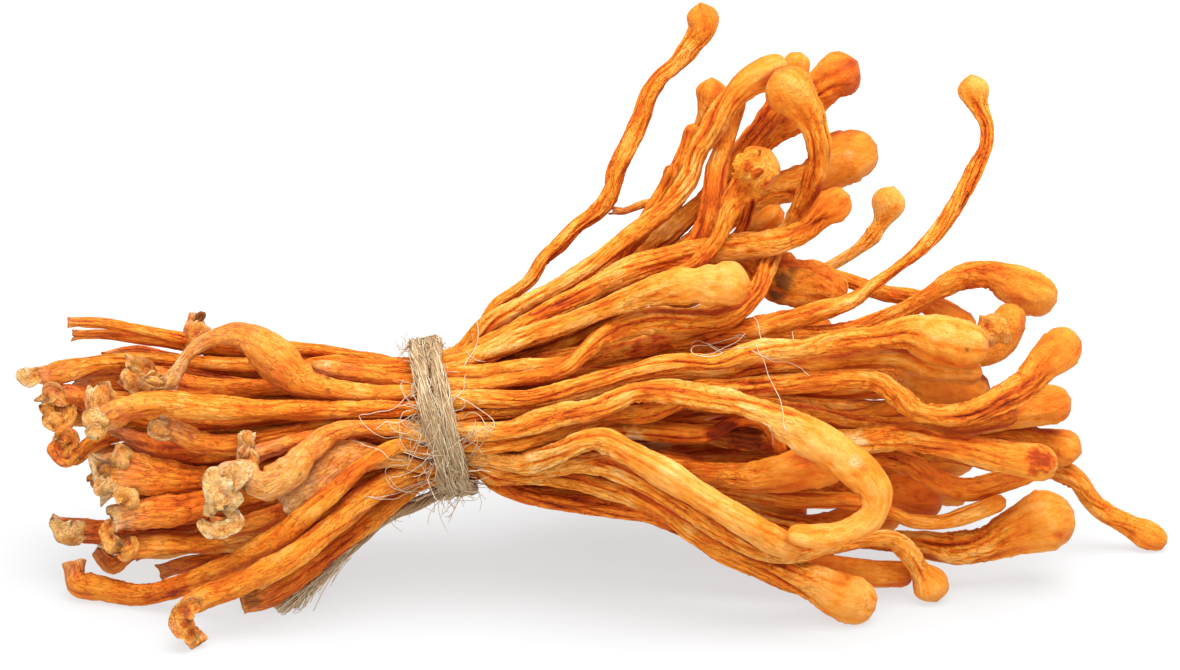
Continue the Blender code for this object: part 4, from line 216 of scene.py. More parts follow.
# %% Routes of the second ring
SECOND = [
    ("inner_fold", 0, [(104, 357, -46, 11), (135, 350, -46, 11), (165, 355, -46, 11), (220, 368, -42, 11),
     (300, 376, -30, 13), (380, 380, -10, 14), (485, 346, 0, 16), (530, 326, -4, 17), (580, 304, -4, 18),
     (630, 284, -2, 19), (670, 264, 2, 20), (696, 244, 6, 22), (708, 222, 8, 23), (713, 198, 6, 23),
     (717, 172, -2, 22), (724, 146, -16, 19), (732, 120, -26, 17), (736, 96, -30, 22), (736, 82, -30, 20)]),
    ("folded_head", 1, [(123, 372, 8, 26), (146, 377, 8, 32), (176, 384, 4, 26), (220, 388, 6, 20),
     (280, 388, 14, 17), (360, 389, 26, 15), (485, 356, 20, 15), (540, 332, 12, 16), (600, 306, 6, 17),
     (655, 280, 6, 18), (695, 259, 16, 18), (718, 236, 22, 18), (727, 214, 24, 19), (738, 193, 24, 28),
     (752, 174, 22, 42), (770, 149, 20, 42)]),
    ("under_elbow", 2, [(75, 386, -42, 19), (110, 382, -40, 24), (150, 386, -36, 23), (210, 392, -30, 19),
     (280, 392, -20, 17), (360, 394, 2, 15), (485, 356, 4, 16), (540, 336, -6, 17), (600, 300, -10, 19),
     (650, 270, -18, 20), (700, 252, -24, 22), (740, 252, -28, 26), (766, 270, -28, 42),
     (794, 282, -26, 50), (822, 288, -24, 44), (846, 300, -22, 32)]),
    ("horned", 3, [(94, 386, 32, 13), (93, 402, 36, 18), (103, 412, 36, 18), (119, 404, 28, 17),
     (140, 416, 14, 17), (180, 422, 12, 17), (260, 419, 20, 16), (360, 410, 38, 15), (485, 374, 26, 16),
     (560, 358, 6, 17), (640, 346, -14, 17), (720, 342, -26, 18), (800, 338, -36, 19), (850, 332, -42, 20),
     (885, 320, -46, 20), (915, 305, -50, 21), (942, 288, -52, 23), (966, 277, -54, 25),
     (988, 275, -54, 29), (1010, 283, -54, 40), (1032, 293, -54, 44), (1057, 302, -54, 40)]),
    ("speckled", 4, [(40, 409, -26, 16), (60, 397, -26, 25), (100, 401, -24, 25), (150, 406, -18, 21),
     (220, 406, -10, 17), (320, 404, 14, 15), (380, 404, 30, 15), (485, 386, 40, 16), (560, 376, 30, 17),
     (640, 364, 20, 17), (720, 356, 14, 18), (800, 354, 8, 18), (870, 352, 4, 20), (930, 353, 2, 22),
     (975, 353, 0, 28), (999, 342, 0, 38), (1016, 304, 0, 37)]),
    ("speckled_low", 5, [(108, 427, 16, 16), (130, 440, 20, 21), (160, 454, 28, 25), (200, 460, 34, 24),
     (250, 456, 40, 20), (310, 442, 48, 17), (380, 428, 56, 15), (485, 412, 60, 16), (560, 410, 54, 17),
     (640, 404, 50, 17), (720, 408, 46, 18), (800, 414, 40, 18), (870, 426, 38, 18), (930, 429, 38, 20),
     (970, 425, 40, 22), (1019, 411, 42, 23)]),
    ("torn_edge", 6, [(246, 431, 84, 14), (247, 454, 86, 23), (266, 450, 84, 20), (294, 442, 82, 17),
     (335, 434, 78, 15), (385, 434, 68, 15), (485, 429, 58, 15), (550, 432, 52, 16), (600, 429, 48, 17),
     (645, 430, 46, 19), (685, 433, 46, 20), (712, 432, 46, 17), (736, 420, 46, 15), (760, 420, 46, 15),
     (776, 436, 46, 15), (784, 456, 46, 14)]),
    ("crumpled", 7, [(108, 519, 42, 22), (138, 515, 46, 30), (180, 512, 52, 32), (220, 505, 58, 27),
     (275, 494, 66, 22), (335, 476, 70, 18), (390, 458, 64, 15), (485, 446, 54, 15), (560, 452, 58, 16),
     (620, 459, 62, 17), (665, 465, 64, 20), (705, 471, 64, 23), (745, 476, 64, 28), (780, 472, 64, 40),
     (810, 466, 64, 44), (846, 468, 64, 40)]),
    ("twin_upper", 8, [(210, 526, 74, 16), (236, 526, 78, 20), (270, 518, 84, 21), (305, 502, 84, 19),
     (340, 480, 78, 17), (390, 464, 62, 15), (485, 460, 42, 15), (560, 466, 42, 16), (640, 478, 40, 17),
     (720, 490, 34, 18), (790, 500, 28, 18), (855, 502, 24, 17), (886, 509, 20, 15), (910, 520, 16, 14),
     (942, 522, 14, 15), (976, 512, 14, 19), (1006, 499, 14, 20)]),
    ("twin_club", 9, [(100, 540, 28, 22), (128, 546, 28, 26), (165, 544, 30, 24), (205, 544, 32, 20),
     (265, 534, 36, 18), (335, 504, 40, 16), (395, 478, 34, 15), (485, 472, 22, 15), (560, 480, 22, 16),
     (640, 492, 20, 18), (720, 512, 14, 19), (790, 528, 4, 20), (860, 539, -6, 20), (910, 544, -12, 24),
     (950, 548, -14, 30), (986, 543, -14, 36), (1014, 532, -14, 48), (1042, 522, -14, 62),
     (1074, 511, -14, 56)]),
    ("under_twin", 10, [(158, 573, -24, 14), (186, 565, -24, 17), (225, 558, -20, 17), (290, 535, -14, 15),
     (360, 500, -6, 14), (485, 474, -4, 15), (560, 476, 0, 16), (640, 474, 4, 17), (720, 468, 6, 18),
     (800, 462, 8, 19), (860, 458, 10, 20), (905, 462, 10, 22), (940, 482, 10, 24), (970, 490, 8, 24),
     (1000, 482, 6, 22), (1036, 472, 4, 20)]),
    ("high_small", 17, [(106, 426, -82, 15), (128, 426, -82, 20), (180, 426, -78, 17), (280, 414, -64, 15),
     (370, 400, -46, 14), (485, 358, -32, 15), (550, 324, -52, 17), (620, 280, -72, 19),
     (680, 230, -90, 20), (726, 184, -86, 20), (760, 136, -70, 22), (786, 94, -62, 26),
     (801, 52, -60, 30)]),
    ("high_side", 16, [(120, 458, -94, 17), (160, 452, -94, 21), (230, 440, -88, 17), (310, 424, -74, 15),
     (380, 410, -60, 14), (485, 368, -48, 16), (550, 338, -70, 18), (620, 298, -94, 20),
     (690, 250, -114, 23), (740, 214, -124, 28), (780, 192, -128, 32), (816, 178, -128, 42),
     (839, 161, -128, 58), (877, 145, -128, 52)]),
    ("stub", 14, [(122, 488, -84, 16), (146, 484, -84, 20), (195, 474, -80, 17), (270, 452, -66, 15),
     (370, 426, -50, 14), (485, 382, -46, 14), (540, 346, -42, 14), (590, 296, -30, 14),
     (634, 236, -20, 14), (658, 200, -16, 14), (670, 180, -14, 15), (673, 164, -12, 15)]),
    ("back_long", 15, [(118, 474, -110, 17), (144, 470, -110, 22), (195, 460, -104, 17),
     (280, 442, -90, 15), (380, 422, -72, 14), (485, 406, -66, 15), (580, 396, -84, 16),
     (680, 394, -100, 17), (780, 402, -112, 18), (870, 410, -120, 20), (935, 416, -124, 32),
     (984, 418, -126, 40)]),
    ("back_low", 12, [(110, 532, -90, 16), (150, 530, -90, 20), (230, 514, -84, 17), (310, 490, -70, 15),
     (385, 464, -52, 14), (485, 450, -46, 15), (580, 460, -66, 16), (680, 476, -90, 23),
     (780, 482, -114, 23), (870, 476, -138, 20), (930, 466, -152, 32), (974, 454, -160, 38)]),
    ("back_crook", 13, [(144, 508, -122, 16), (180, 502, -120, 20), (250, 482, -106, 17),
     (320, 460, -88, 15), (390, 438, -66, 14), (485, 428, -62, 15), (570, 426, -94, 18),
     (660, 420, -128, 26), (730, 398, -152, 26), (776, 362, -164, 19), (806, 342, -166, 30),
     (830, 320, -164, 36)]),
]

# %% Routes of the third ring
THIRD = [
    ("rough_end", 3, [(100, 477, 28, 34), (128, 470, 32, 42), (160, 471, 34, 34), (200, 469, 36, 26),
     (245, 460, 34, 20), (320, 448, 32, 16), (385, 438, 30, 15), (485, 422, 32, 15), (560, 426, 26, 16),
     (640, 430, 22, 18), (720, 436, 24, 20), (800, 442, 34, 22), (860, 440, 46, 26), (905, 437, 56, 28),
     (945, 443, 62, 30), (985, 452, 62, 29), (1020, 459, 60, 34), (1058, 466, 56, 38)]),
    ("far_reach", 6, [(98, 548, -54, 15), (112, 564, -56, 22), (134, 552, -54, 19), (180, 538, -50, 16),
     (270, 514, -40, 15), (360, 482, -26, 14), (485, 454, -12, 15), (580, 454, -20, 16),
     (680, 450, -30, 17), (780, 446, -40, 17), (880, 448, -52, 17), (960, 456, -66, 18),
     (1020, 467, -76, 20), (1058, 470, -84, 23), (1078, 481, -88, 22), (1093, 500, -92, 21),
     (1110, 514, -94, 20), (1129, 524, -96, 20), (1148, 534, -98, 30), (1169, 543, -100, 28)]),
    ("reddish", 5, [(51, 521, -30, 11), (72, 528, -30, 20), (105, 532, -28, 22), (160, 528, -22, 19),
     (240, 514, -14, 17), (335, 482, -2, 15), (485, 444, 8, 15), (560, 448, -4, 16), (640, 456, -20, 17),
     (720, 468, -36, 18), (800, 482, -52, 20), (860, 493, -64, 26), (898, 497, -72, 48),
     (942, 499, -78, 48)]),
    ("right_low", 4, [(125, 503, 6, 20), (170, 489, 8, 22), (215, 482, 10, 20), (280, 472, 12, 18),
     (360, 452, 18, 15), (485, 430, 20, 15), (580, 428, 4, 16), (680, 424, -16, 17), (780, 424, -34, 18),
     (860, 428, -48, 18), (940, 432, -60, 19), (1010, 434, -70, 24), (1050, 443, -74, 34),
     (1082, 453, -76, 32)]),
    ("right_mid", 2, [(91, 485, -46, 14), (106, 470, -46, 18), (128, 461, -46, 18), (180, 456, -48, 17),
     (280, 444, -42, 15), (370, 428, -16, 14), (485, 400, 14, 15), (560, 400, 4, 16), (640, 400, -8, 17),
     (740, 400, -20, 18), (840, 404, -30, 19), (920, 414, -36, 21), (980, 419, -40, 26),
     (1024, 410, -42, 38), (1072, 399, -44, 42)]),
    ("pale_rear", 11, [(64, 434, -14, 15), (59, 450, -14, 20), (74, 457, -14, 19), (90, 446, -16, 18),
     (120, 436, -20, 17), (180, 430, -26, 16), (280, 422, -28, 15), (370, 412, -22, 14),
     (485, 374, -26, 15), (560, 346, -40, 16), (640, 316, -56, 16), (720, 288, -68, 16),
     (790, 274, -76, 16), (840, 278, -80, 16), (880, 292, -82, 16), (915, 298, -82, 18),
     (942, 312, -82, 28), (974, 334, -82, 32)]),
    ("middle_fold", 1, [(94, 457, -28, 16), (120, 448, -28, 18), (180, 440, -30, 16), (280, 428, -16, 15),
     (370, 414, 12, 14), (485, 384, 12, 15), (560, 374, -4, 16), (660, 366, -20, 17), (760, 368, -30, 18),
     (840, 374, -34, 20), (890, 379, -36, 26), (930, 384, -36, 40), (990, 392, -36, 42)]),
    ("high_end", 0, [(80, 402, -74, 16), (120, 398, -74, 20), (200, 398, -70, 18), (300, 396, -52, 15),
     (380, 394, -22, 14), (485, 364, -12, 16), (540, 336, -30, 18), (600, 300, -50, 20),
     (660, 258, -70, 22), (706, 214, -86, 26), (732, 172, -94, 29), (754, 144, -98, 31),
     (784, 124, -100, 32), (808, 104, -100, 36), (830, 81, -100, 52), (858, 61, -100, 48)]),
]

# %% Routes of the middle of the tie
CORE = [
    ("inner_pale", 0, [(50, 419, -56, 15), (80, 417, -56, 20), (130, 418, -54, 18), (220, 414, -46, 16),
     (340, 410, -24, 14), (485, 392, -6, 15), (580, 384, -20, 16), (680, 382, -34, 17), (780, 388, -10, 18),
     (830, 391, 10, 21), (896, 389, 26, 21)]),
    ("inner_brown", 2, [(124, 494, -34, 16), (150, 491, -34, 19), (200, 484, -30, 17), (300, 462, -20, 15),
     (380, 440, -6, 14), (485, 420, 0, 15), (580, 416, -12, 16), (680, 412, -2, 17), (760, 410, 16, 19),
     (820, 420, 16, 22), (865, 420, 18, 26), (906, 404, 24, 26)]),
    ("inner_dark", 3, [(136, 552, -74, 16), (180, 546, -72, 19), (260, 522, -64, 16), (370, 464, -34, 14),
     (485, 436, -28, 15), (580, 436, -44, 18), (680, 444, -60, 26), (780, 458, -72, 26),
     (870, 472, -88, 24), (930, 486, -102, 32), (970, 496, -110, 32)]),
    ("inner_thin", 1, [(78, 376, -64, 12), (130, 374, -64, 16), (220, 382, -60, 15), (340, 394, -34, 14),
     (485, 374, -10, 13), (550, 350, -30, 13), (620, 314, -50, 13), (680, 278, -60, 12),
     (724, 250, -56, 11), (744, 226, -44, 11), (753, 196, -34, 12)]),
    ("inner_deep", 4, [(170, 474, -70, 16), (220, 468, -68, 18), (300, 446, -56, 15), (380, 424, -38, 14),
     (485, 398, -32, 14), (580, 376, -52, 16), (680, 360, -72, 17), (770, 356, -88, 19),
     (850, 364, -100, 26), (900, 374, -106, 38), (944, 384, -108, 38)]),
]

# %% The fork's side arm
FORK_ARM = [(610, 210, -42, 10), (622, 212, -43, 12), (636, 209, -44, 12), (650, 205, -45, 11),
            (664, 198, -48, 9)]
RINGS = (OUTER, SECOND, THIRD, CORE)
print("routes", sum(len(ring) for ring in RINGS) + 1)

# %% [markdown]
# ## From the drawing to the model
# The drawing is flat, and a depth stands beside each point. What is nearer the eye is drawn larger, so
# the first step takes that out. The tie's two knots come from its oval. The last step turns the drawing
# the way the camera looks, so that right, up and towards the eye become places in the model.

# %% Places in the picture as places in the model
TENTHS = 10
TIE_X, TIE_Y, TIE_LEAN = 44.0, 41.75, math.radians(10.4)
OVAL_UP, OVAL_DEEP = 7.0, 9.2
RINGS_AT_TIE = ((24, 0.87, 0.91), (18, 0.61, 0.70), (12, 0.35, 0.48), (5, 0.08, 0.26))
STALK_AT_TIE = 1.66


def picture_to_view(points):
    """Right, up and towards the eye in mm: (right, down) from the middle, times distance over 400."""
    p = np.array(points, float)
    nearer = (EYE_DISTANCE - p[:, 2]) / EYE_DISTANCE
    right = (p[:, 0] - PICTURE_W / 2) * nearer
    up = (PICTURE_H / 2 - p[:, 1]) * nearer
    return np.column_stack([right, up, p[:, 2], p[:, 3] * nearer])


def drawn_view(points):
    """The same for drawn points, which are in tenths of a millimetre."""
    return picture_to_view(np.array(points) / TENTHS)


def through_tie(ring, step):
    """Two knots on a line through the tie: its place is on an oval, its direction is the tie's lean."""
    count, up, deep = RINGS_AT_TIE[ring]
    angle = 2 * math.pi * step / count
    rise = OVAL_UP * up * math.cos(angle)
    reach = OVAL_DEEP * deep * math.sin(angle)
    ends = np.array([-1.2, 1.2])
    right = TIE_X - PICTURE_W / 2 - math.sin(TIE_LEAN) * rise + math.cos(TIE_LEAN) * ends
    high = PICTURE_H / 2 - TIE_Y + math.cos(TIE_LEAN) * rise + math.sin(TIE_LEAN) * ends
    return np.column_stack([right, high, [reach, reach], [STALK_AT_TIE, STALK_AT_TIE]])


def view_to_model(view):
    """The picture's middle plus right, up and towards the eye along the camera's axes; width is kept."""
    place = PICTURE_MIDDLE + view[:, :1] * [1.0, 0.0, 0.0] + view[:, 1:2] * UPWARDS + view[:, 2:3] * BACK
    return np.column_stack([place, view[:, 3]])


# %% [markdown]
# ## A smooth curve through the knots
# A centripetal Catmull-Rom curve blends straight lines through four neighbouring knots. A knot's time
# grows by the square root of its distance from the last one, and that keeps sharp bends from looping.


# %% Curve, length and smoothing
POINTS_BETWEEN = 12


def unit(rows):
    """Each row divided by its length."""
    return rows / (np.linalg.norm(rows, axis=-1)[..., None] + 1e-12)


def along(points):
    """Each point's distance from the first: the running sum of the steps' lengths."""
    return np.append(0, np.cumsum(np.linalg.norm(np.diff(points, axis=0), axis=1)))


def evenly(rows, step):
    """The rows again, one every step along their first three columns."""
    length = along(rows[:, :3])
    at = np.linspace(0, length[-1], max(4, int(round(length[-1] / step)) + 1))
    return np.column_stack([np.interp(at, length, rows[:, c]) for c in range(rows.shape[1])])


def smooth_curve(knots, step):
    """Catmull-Rom: lines between knots 0-1, 1-2, 2-3, then blends of those, then a blend of the blends."""
    k = np.vstack([2 * knots[0] - knots[1], knots, 2 * knots[-1] - knots[-2]])
    k[0, 3:], k[-1, 3:] = k[1, 3:], k[-2, 3:]
    chord = np.sqrt(np.linalg.norm(np.diff(k[:, :3], axis=0), axis=1))[:, None, None]
    time = [0 * chord[:-2], chord[:-2], chord[:-2] + chord[1:-1], chord[:-2] + chord[1:-1] + chord[2:]]
    now = time[1] + chord[1:-1] * np.linspace(0, 1, POINTS_BETWEEN, endpoint=False)[None, :, None]
    four = [k[i:i + len(knots) - 1, None] for i in range(4)]

    def blend(a, b, i, j):
        """The straight line that is a at time i and b at time j."""
        return ((time[j] - now) * a + (now - time[i]) * b) / (time[j] - time[i])

    line = [blend(four[i], four[i + 1], i, i + 1) for i in range(3)]
    pair = [blend(line[0], line[1], 0, 2), blend(line[1], line[2], 1, 3)]
    fine = blend(pair[0], pair[1], 1, 2).reshape(-1, knots.shape[1])
    return evenly(np.vstack([fine, knots[-1:]]), step)


def turns(count):
    """So many angles evenly round a circle."""
    return np.linspace(0, 2 * math.pi, count, endpoint=False)


def ramp(low, high, x):
    """0 below low, 1 above high, and a smooth 3t^2 - 2t^3 between."""
    t = np.clip((x - low) / (high - low), 0, 1)
    return t * t * (3 - 2 * t)


def smoothed(rows, rounds):
    """Each row moved to a quarter, a half and a quarter of its neighbours and itself, several times."""
    for _ in range(rounds):
        rows = np.concatenate([rows[:1], (rows[:-2] + 2 * rows[1:-1] + rows[2:]) / 4, rows[-1:]])
    return rows


# %% [markdown]
# ## Reading a stalk back
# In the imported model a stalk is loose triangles. Merged, it is a stack of seven-cornered rings with a
# point at each end. Walking outwards from one end point, an edge at a time, meets exactly one ring per
# step, so the rings come back in order.


# %% Merge a node's triangles and walk its rings
STALK_SIDES, TWINE_SIDES = 7, 6


def corners_of(mesh):
    """The mesh's corners as rows, in metres."""
    corners = np.zeros(len(mesh.vertices) * 3, np.float32)
    mesh.vertices.foreach_get("co", corners)
    return corners.reshape(-1, 3)


def merged(node):
    """The node's corners in millimetres with doubles merged, and its triangles."""
    mesh = node.data
    mesh.calc_loop_triangles()
    triangles = np.zeros(len(mesh.loop_triangles) * 3, np.int32)
    mesh.loop_triangles.foreach_get("vertices", triangles)
    corners = corners_of(mesh).astype(float) / MM
    rounded = np.round(corners * 1000)
    _, first, same = np.unique(rounded, axis=0, return_index=True, return_inverse=True)
    return corners[first], same.reshape(-1)[triangles].reshape(-1, 3)


def rings_of(node, sides):
    """The rings from base to head, each as (sides, 3) corners, and the head's end point."""
    corners, triangles = merged(node)
    touching = [set() for _ in corners]
    for a, b, c in triangles.tolist():
        touching[a] |= {b, c}
        touching[b] |= {a, c}
        touching[c] |= {a, b}
    best = None
    for start in [k for k, near in enumerate(touching) if len(near - {k}) == sides]:
        seen, levels = {start}, [[start]]
        while True:
            onwards = {w for v in levels[-1] for w in touching[v]} - seen
            if not onwards:
                break
            seen |= onwards
            levels.append(sorted(onwards))
        sizes = [len(level) for level in levels]
        if sizes[-1] == 1 and set(sizes[1:-1]) == {sides} and len(seen) == len(corners):
            if best is None or corners[start][0] < corners[best[0][0]][0]:
                best = levels
    rings = np.array([corners[level] for level in best[1:-1]])
    return rings, corners[best[-1][0]]


def ovals_of(rings):
    """Each ring's oval as the sum of (corner - middle) times itself: half sizes squared, in any axes."""
    arms = rings - rings.mean(axis=1)[:, None]
    return np.einsum("ksi,ksj->kij", arms, arms) * 2 / rings.shape[1]


# %% [markdown]
# ## Laying the drawn stalk on the modelled one
# In the model the stalks were pushed apart until none passes through another, mostly in depth. So each
# ring is paired with the drawn point that lies nearest to it in the picture, and the drawn curve is
# moved by the difference. Between rings the difference changes evenly, and the fine shape stays drawn.


# %% A stalk's middle line, half widths and ovals
PAIR_WINDOW = 0.06      # how far along, as a share of the length, a ring's drawn point may be
DEPTH_IGNORED = 0.75    # how much of the depth is ignored when the nearest drawn point is chosen
TIP_LEFT_OUT = 1.6      # the modelled rings this near the tip say nothing about the width, mm
EVEN_OUT = 10           # rounds of smoothing for what the model changes


class Path:
    """A stalk's middle line, half width and oval, evenly spaced, with directions that do not twist."""

    def __init__(self, node, drawn, spacing, ball=None, slim=None):
        rings, tip = rings_of(node, STALK_SIDES)
        knots = np.vstack([rings.mean(axis=1), tip])
        ovals = ovals_of(rings)
        size = np.sqrt(np.linalg.eigvalsh(ovals)[:, -1])
        at, kept = self.pair(drawn, knots)
        sample = np.arange(len(drawn))
        apart = knots[kept] - drawn[at, :3]
        move = np.column_stack([np.interp(sample, at, apart[:, c]) for c in range(3)])
        drawn = drawn.copy()
        drawn[:, :3] += smoothed(move, EVEN_OUT)
        left = along(drawn[:, :3])[-1] - along(drawn[:, :3])
        useful = (kept < len(rings)) & (left[at] > TIP_LEFT_OUT)
        rows, place = kept[useful], at[useful]
        share = np.clip(size[rows] * 2 / drawn[place, 3], 0.6, 1.0)
        share[0] = share[min(1, len(share) - 1)]
        drawn[:, 3] *= smoothed(np.interp(sample, place, share)[:, None], EVEN_OUT)[:, 0] / 2
        even = (ovals / (size**2)[:, None, None]).reshape(-1, 9)[rows]
        oval = np.column_stack([np.interp(sample, place, even[:, c]) for c in range(9)])
        table = evenly(np.column_stack([drawn, smoothed(oval, 6)]), spacing)
        self.middle, self.half, self.oval = table[:, :3], table[:, 3], table[:, 4:].reshape(-1, 3, 3)
        self.s = along(self.middle)
        self.length, self.count = self.s[-1], len(self.s)
        if slim is not None:
            share = self.s / self.length
            within = ramp(slim[0] - 0.1, slim[0], share) * ramp(slim[1] + 0.05, slim[1], share)
            self.half = self.half * (1 - (1 - slim[2]) * within)
        self.round_tip(ball)
        self.carry_directions()
        self.root = self.section_root()

    def pair(self, drawn, knots):
        """For each knot the drawn sample nearest in the picture, among those near its share of the length."""
        share = along(drawn[:, :3]) / along(drawn[:, :3])[-1]
        wanted = along(knots) / along(knots)[-1]
        gap = drawn[None, :, :3] - knots[:, None]
        seen = gap - DEPTH_IGNORED * (gap @ BACK)[..., None] * BACK
        far = np.linalg.norm(seen, axis=-1) + 1e3 * (np.abs(share - wanted[:, None]) > PAIR_WINDOW)
        at = np.minimum(np.maximum.accumulate(np.argmin(far, axis=1)), len(drawn) - 2)
        at[0], at[-1] = 0, len(drawn) - 1
        return np.unique(at, return_index=True)

    def round_tip(self, ball):
        """The head ends in part of a ball: half width is at most sqrt(R^2 - (R - left)^2).

        Where the head is a whole ball, its own circle and the neck's half width give the shape instead.
        """
        left = self.length - self.s
        if ball is not None:
            size, neck = ball
            circle = np.sqrt(np.maximum(size**2 - (left - size) ** 2, 0))
            near = left < 2 * size + 1.5
            stem = neck + 0.25 * size * np.exp(-np.abs(left - 1.9 * size) / 0.6)
            self.half = np.where(near, np.maximum(circle, np.where(left > size, stem, 0)), self.half)
            self.half = smoothed(self.half[:, None], 3)[:, 0]
        big = 0.92 * self.half[left < 4].max() if ball is None else ball[0]
        ball = np.sqrt(np.maximum(big**2 - np.maximum(big - left, 0) ** 2, 0))
        self.half = np.where(left < big, np.minimum(self.half, ball), self.half)

    def carry_directions(self):
        """Two directions across: each is the last one with its share along the tangent taken out."""
        self.tangent = unit(smoothed(np.gradient(self.middle, axis=0), 3))
        self.one = np.zeros_like(self.middle)
        half = self.count // 2
        start = BACK - self.tangent[half] * (BACK @ self.tangent[half])
        self.one[half] = start / np.linalg.norm(start)
        for run in (range(half + 1, self.count), range(half - 1, -1, -1)):
            last = self.one[half]
            for i in run:
                last = last - self.tangent[i] * (last @ self.tangent[i])
                last = last / np.linalg.norm(last)
                self.one[i] = last
        self.two = np.cross(self.tangent, self.one)

    def section_root(self):
        """The square root of each oval in its own two directions: it turns a circle into the oval."""
        axes = np.stack([self.one, self.two], axis=1)
        q = axes @ self.oval @ axes.transpose(0, 2, 1)
        root_det = np.sqrt(np.maximum(np.linalg.det(q), 1e-8))[:, None, None]
        total = np.trace(q, axis1=1, axis2=2)[:, None, None] + 2 * root_det
        return (q + root_det * np.eye(2)) / np.sqrt(total)


# %% [markdown]
# ## How finely each stalk is made
# A stalk that shows its whole length gets a ring every 0.33 mm and 66 points round it. One that shows
# only an end, or nothing, gets fewer. The fork's side arm starts inside the stalk that it grows from.
# Some stalks are slimmer near the head than the CAD model (from, to, share), and some heads are whole
# balls (radius, half width of the neck).

# %% All the paths
DRAWN_STEP, ROW_STEP_SHOWN, ROW_STEP_HIDDEN = 0.3, 0.33, 0.5
IN_SIGHT = """top_bend fork long_elbow front_club swan_neck high_loop long_upper long_lower strap_loop
dipper knee drop foot keel folded_head horned speckled torn_edge crumpled twin_upper twin_club rough_end
far_reach reddish right_low right_mid high_end high_side far_back under_elbow inner_fold high_small
rear_round rear_knot""".split()
SLIM = {"top_bend": (0.62, 0.90, 0.80), "high_loop": (0.66, 0.93, 0.80), "swan_neck": (0.55, 0.94, 0.88),
        "folded_head": (0.60, 0.85, 0.86), "fork": (0.50, 0.90, 0.92)}
BALLS = {"high_loop": (2.55, 1.4), "fork": (1.75, 0.95), "swan_neck": (1.65, 0.7), "far_back": (1.9, 0.72),
         "folded_head": (2.15, 0.95), "rear_round": (1.55, 0.9), "high_end": (2.5, 1.6),
         "drop": (1.85, 0.9), "right_low": (1.9, 1.1), "front_club": (2.25, 1.6)}

drawn_routes = {}
for ring, stalks_in_ring in enumerate(RINGS):
    for name, step, route in stalks_in_ring:
        left = sum(point[0] < TIE_X * TENTHS for point in route)
        points = drawn_view(route)
        knots = np.vstack([points[:left], through_tie(ring, step), points[left:]])
        drawn_routes[name] = smooth_curve(view_to_model(knots), DRAWN_STEP)
drawn_routes["fork_arm"] = smooth_curve(view_to_model(drawn_view(FORK_ARM)), DRAWN_STEP)


def path_of(name):
    """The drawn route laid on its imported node, with close rows where the stalk shows."""
    spacing = ROW_STEP_SHOWN if name in IN_SIGHT else ROW_STEP_HIDDEN
    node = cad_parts["stalk_" + name]
    return Path(node, drawn_routes[name], spacing, BALLS.get(name), SLIM.get(name))


paths = {name: path_of(name) for name in drawn_routes}
NAMES = sorted(paths)
print("stalks", len(paths), "mean length mm", round(np.mean([p.length for p in paths.values()]), 1))

# %% [markdown]
# ## Noise
# Dried skin is uneven at every size. Value noise gives that: a fixed random number at each corner of a
# lattice, blended smoothly in between. Feeding it (cos, sin, along) instead of an angle makes it close
# up round a stalk without a seam.


# %% Value noise on whole arrays
def lattice(cell, seed):
    """A fixed number from -1 to 1 for each whole-number corner: products of primes, mixed by shifts."""
    h = cell[..., 0] * 374761393 + cell[..., 1] * 668265263 + cell[..., 2] * 2147483647
    h = h + seed * 1274126177
    h = (h ^ (h >> 13)) * 1103515245 & 0xFFFFFFFF
    h = (h ^ (h >> 16)) * 73244475 & 0xFFFFFFFF
    return (h ^ (h >> 15)) % 65536 / 32767.5 - 1


def cell_corners(t):
    """A cell's eight corners, each with its weight: the product of t or 1 - t along each axis."""
    for corner in range(8):
        bits = np.array([corner & 1, corner >> 1 & 1, corner >> 2])
        yield bits, np.prod(np.where(bits, t, 1 - t), axis=-1)


def noise(points, seed):
    """Value noise: the eight corners' numbers, weighted by 3t^2 - 2t^3 along each axis."""
    cell = np.floor(points).astype(np.int64)
    t = points - cell
    t = t * t * (3 - 2 * t)
    total = 0.0
    for bits, weight in cell_corners(t):
        total = total + weight * lattice(cell + bits, seed)
    return total


def layered(points, seed, layers=3):
    """Noise added to itself at twice the scale and half the height, several times."""
    return sum(noise(points * 2**k, seed + 31 * k) / 2**k for k in range(layers)) / (2 - 2 ** (1 - layers))


# %% [markdown]
# ## The dried skin
# A drying stalk shrinks inside a skin that is then too big for it. The skin falls into lengthwise folds
# with round shoulders and sharp valleys. A valley lies where a phase passes a whole turn: the phase
# grows with the angle round the stalk, and noise makes the valleys wander, meet and part. Finer folds
# repeat this, cross wrinkles stand at bends, and the whole stalk swells and shrinks along its length.


# %% How one stalk has dried
AROUND_SHOWN, AROUND_HIDDEN = 66, 44
HEAD_REACH = 24


class Look:
    """Numbers that a stalk's shape and colour both read."""

    def __init__(self, **said):
        # Folds: how many, how deep, the finer ones, and how strong they are near the base.
        self.folds, self.depth, self.fine, self.still = 4, 0.32, 0.16, 0.55
        # Swellings, crumples, turns per millimetre, how much head there is, and its dents.
        self.lumps, self.crumple, self.twist, self.head, self.dent = 0.15, 0.11, 0.0, 1.0, 0.10
        # The base: depth of its hollow, its torn rim, its flare, its knobs, and how flat it is pinched.
        self.hollow, self.ragged, self.flare, self.knobs, self.pinch = 1.2, 0.5, 0.0, 0.0, 0.3
        # Colour: from red to yellow, the cream of the base and its reach in mm, specks and grain.
        self.tone, self.cream, self.cream_reach, self.speckle, self.grainy = 0.5, 0.35, 1.8, 0.0, 0.3
        self.around = AROUND_HIDDEN
        for key, value in said.items():
            setattr(self, key, value)


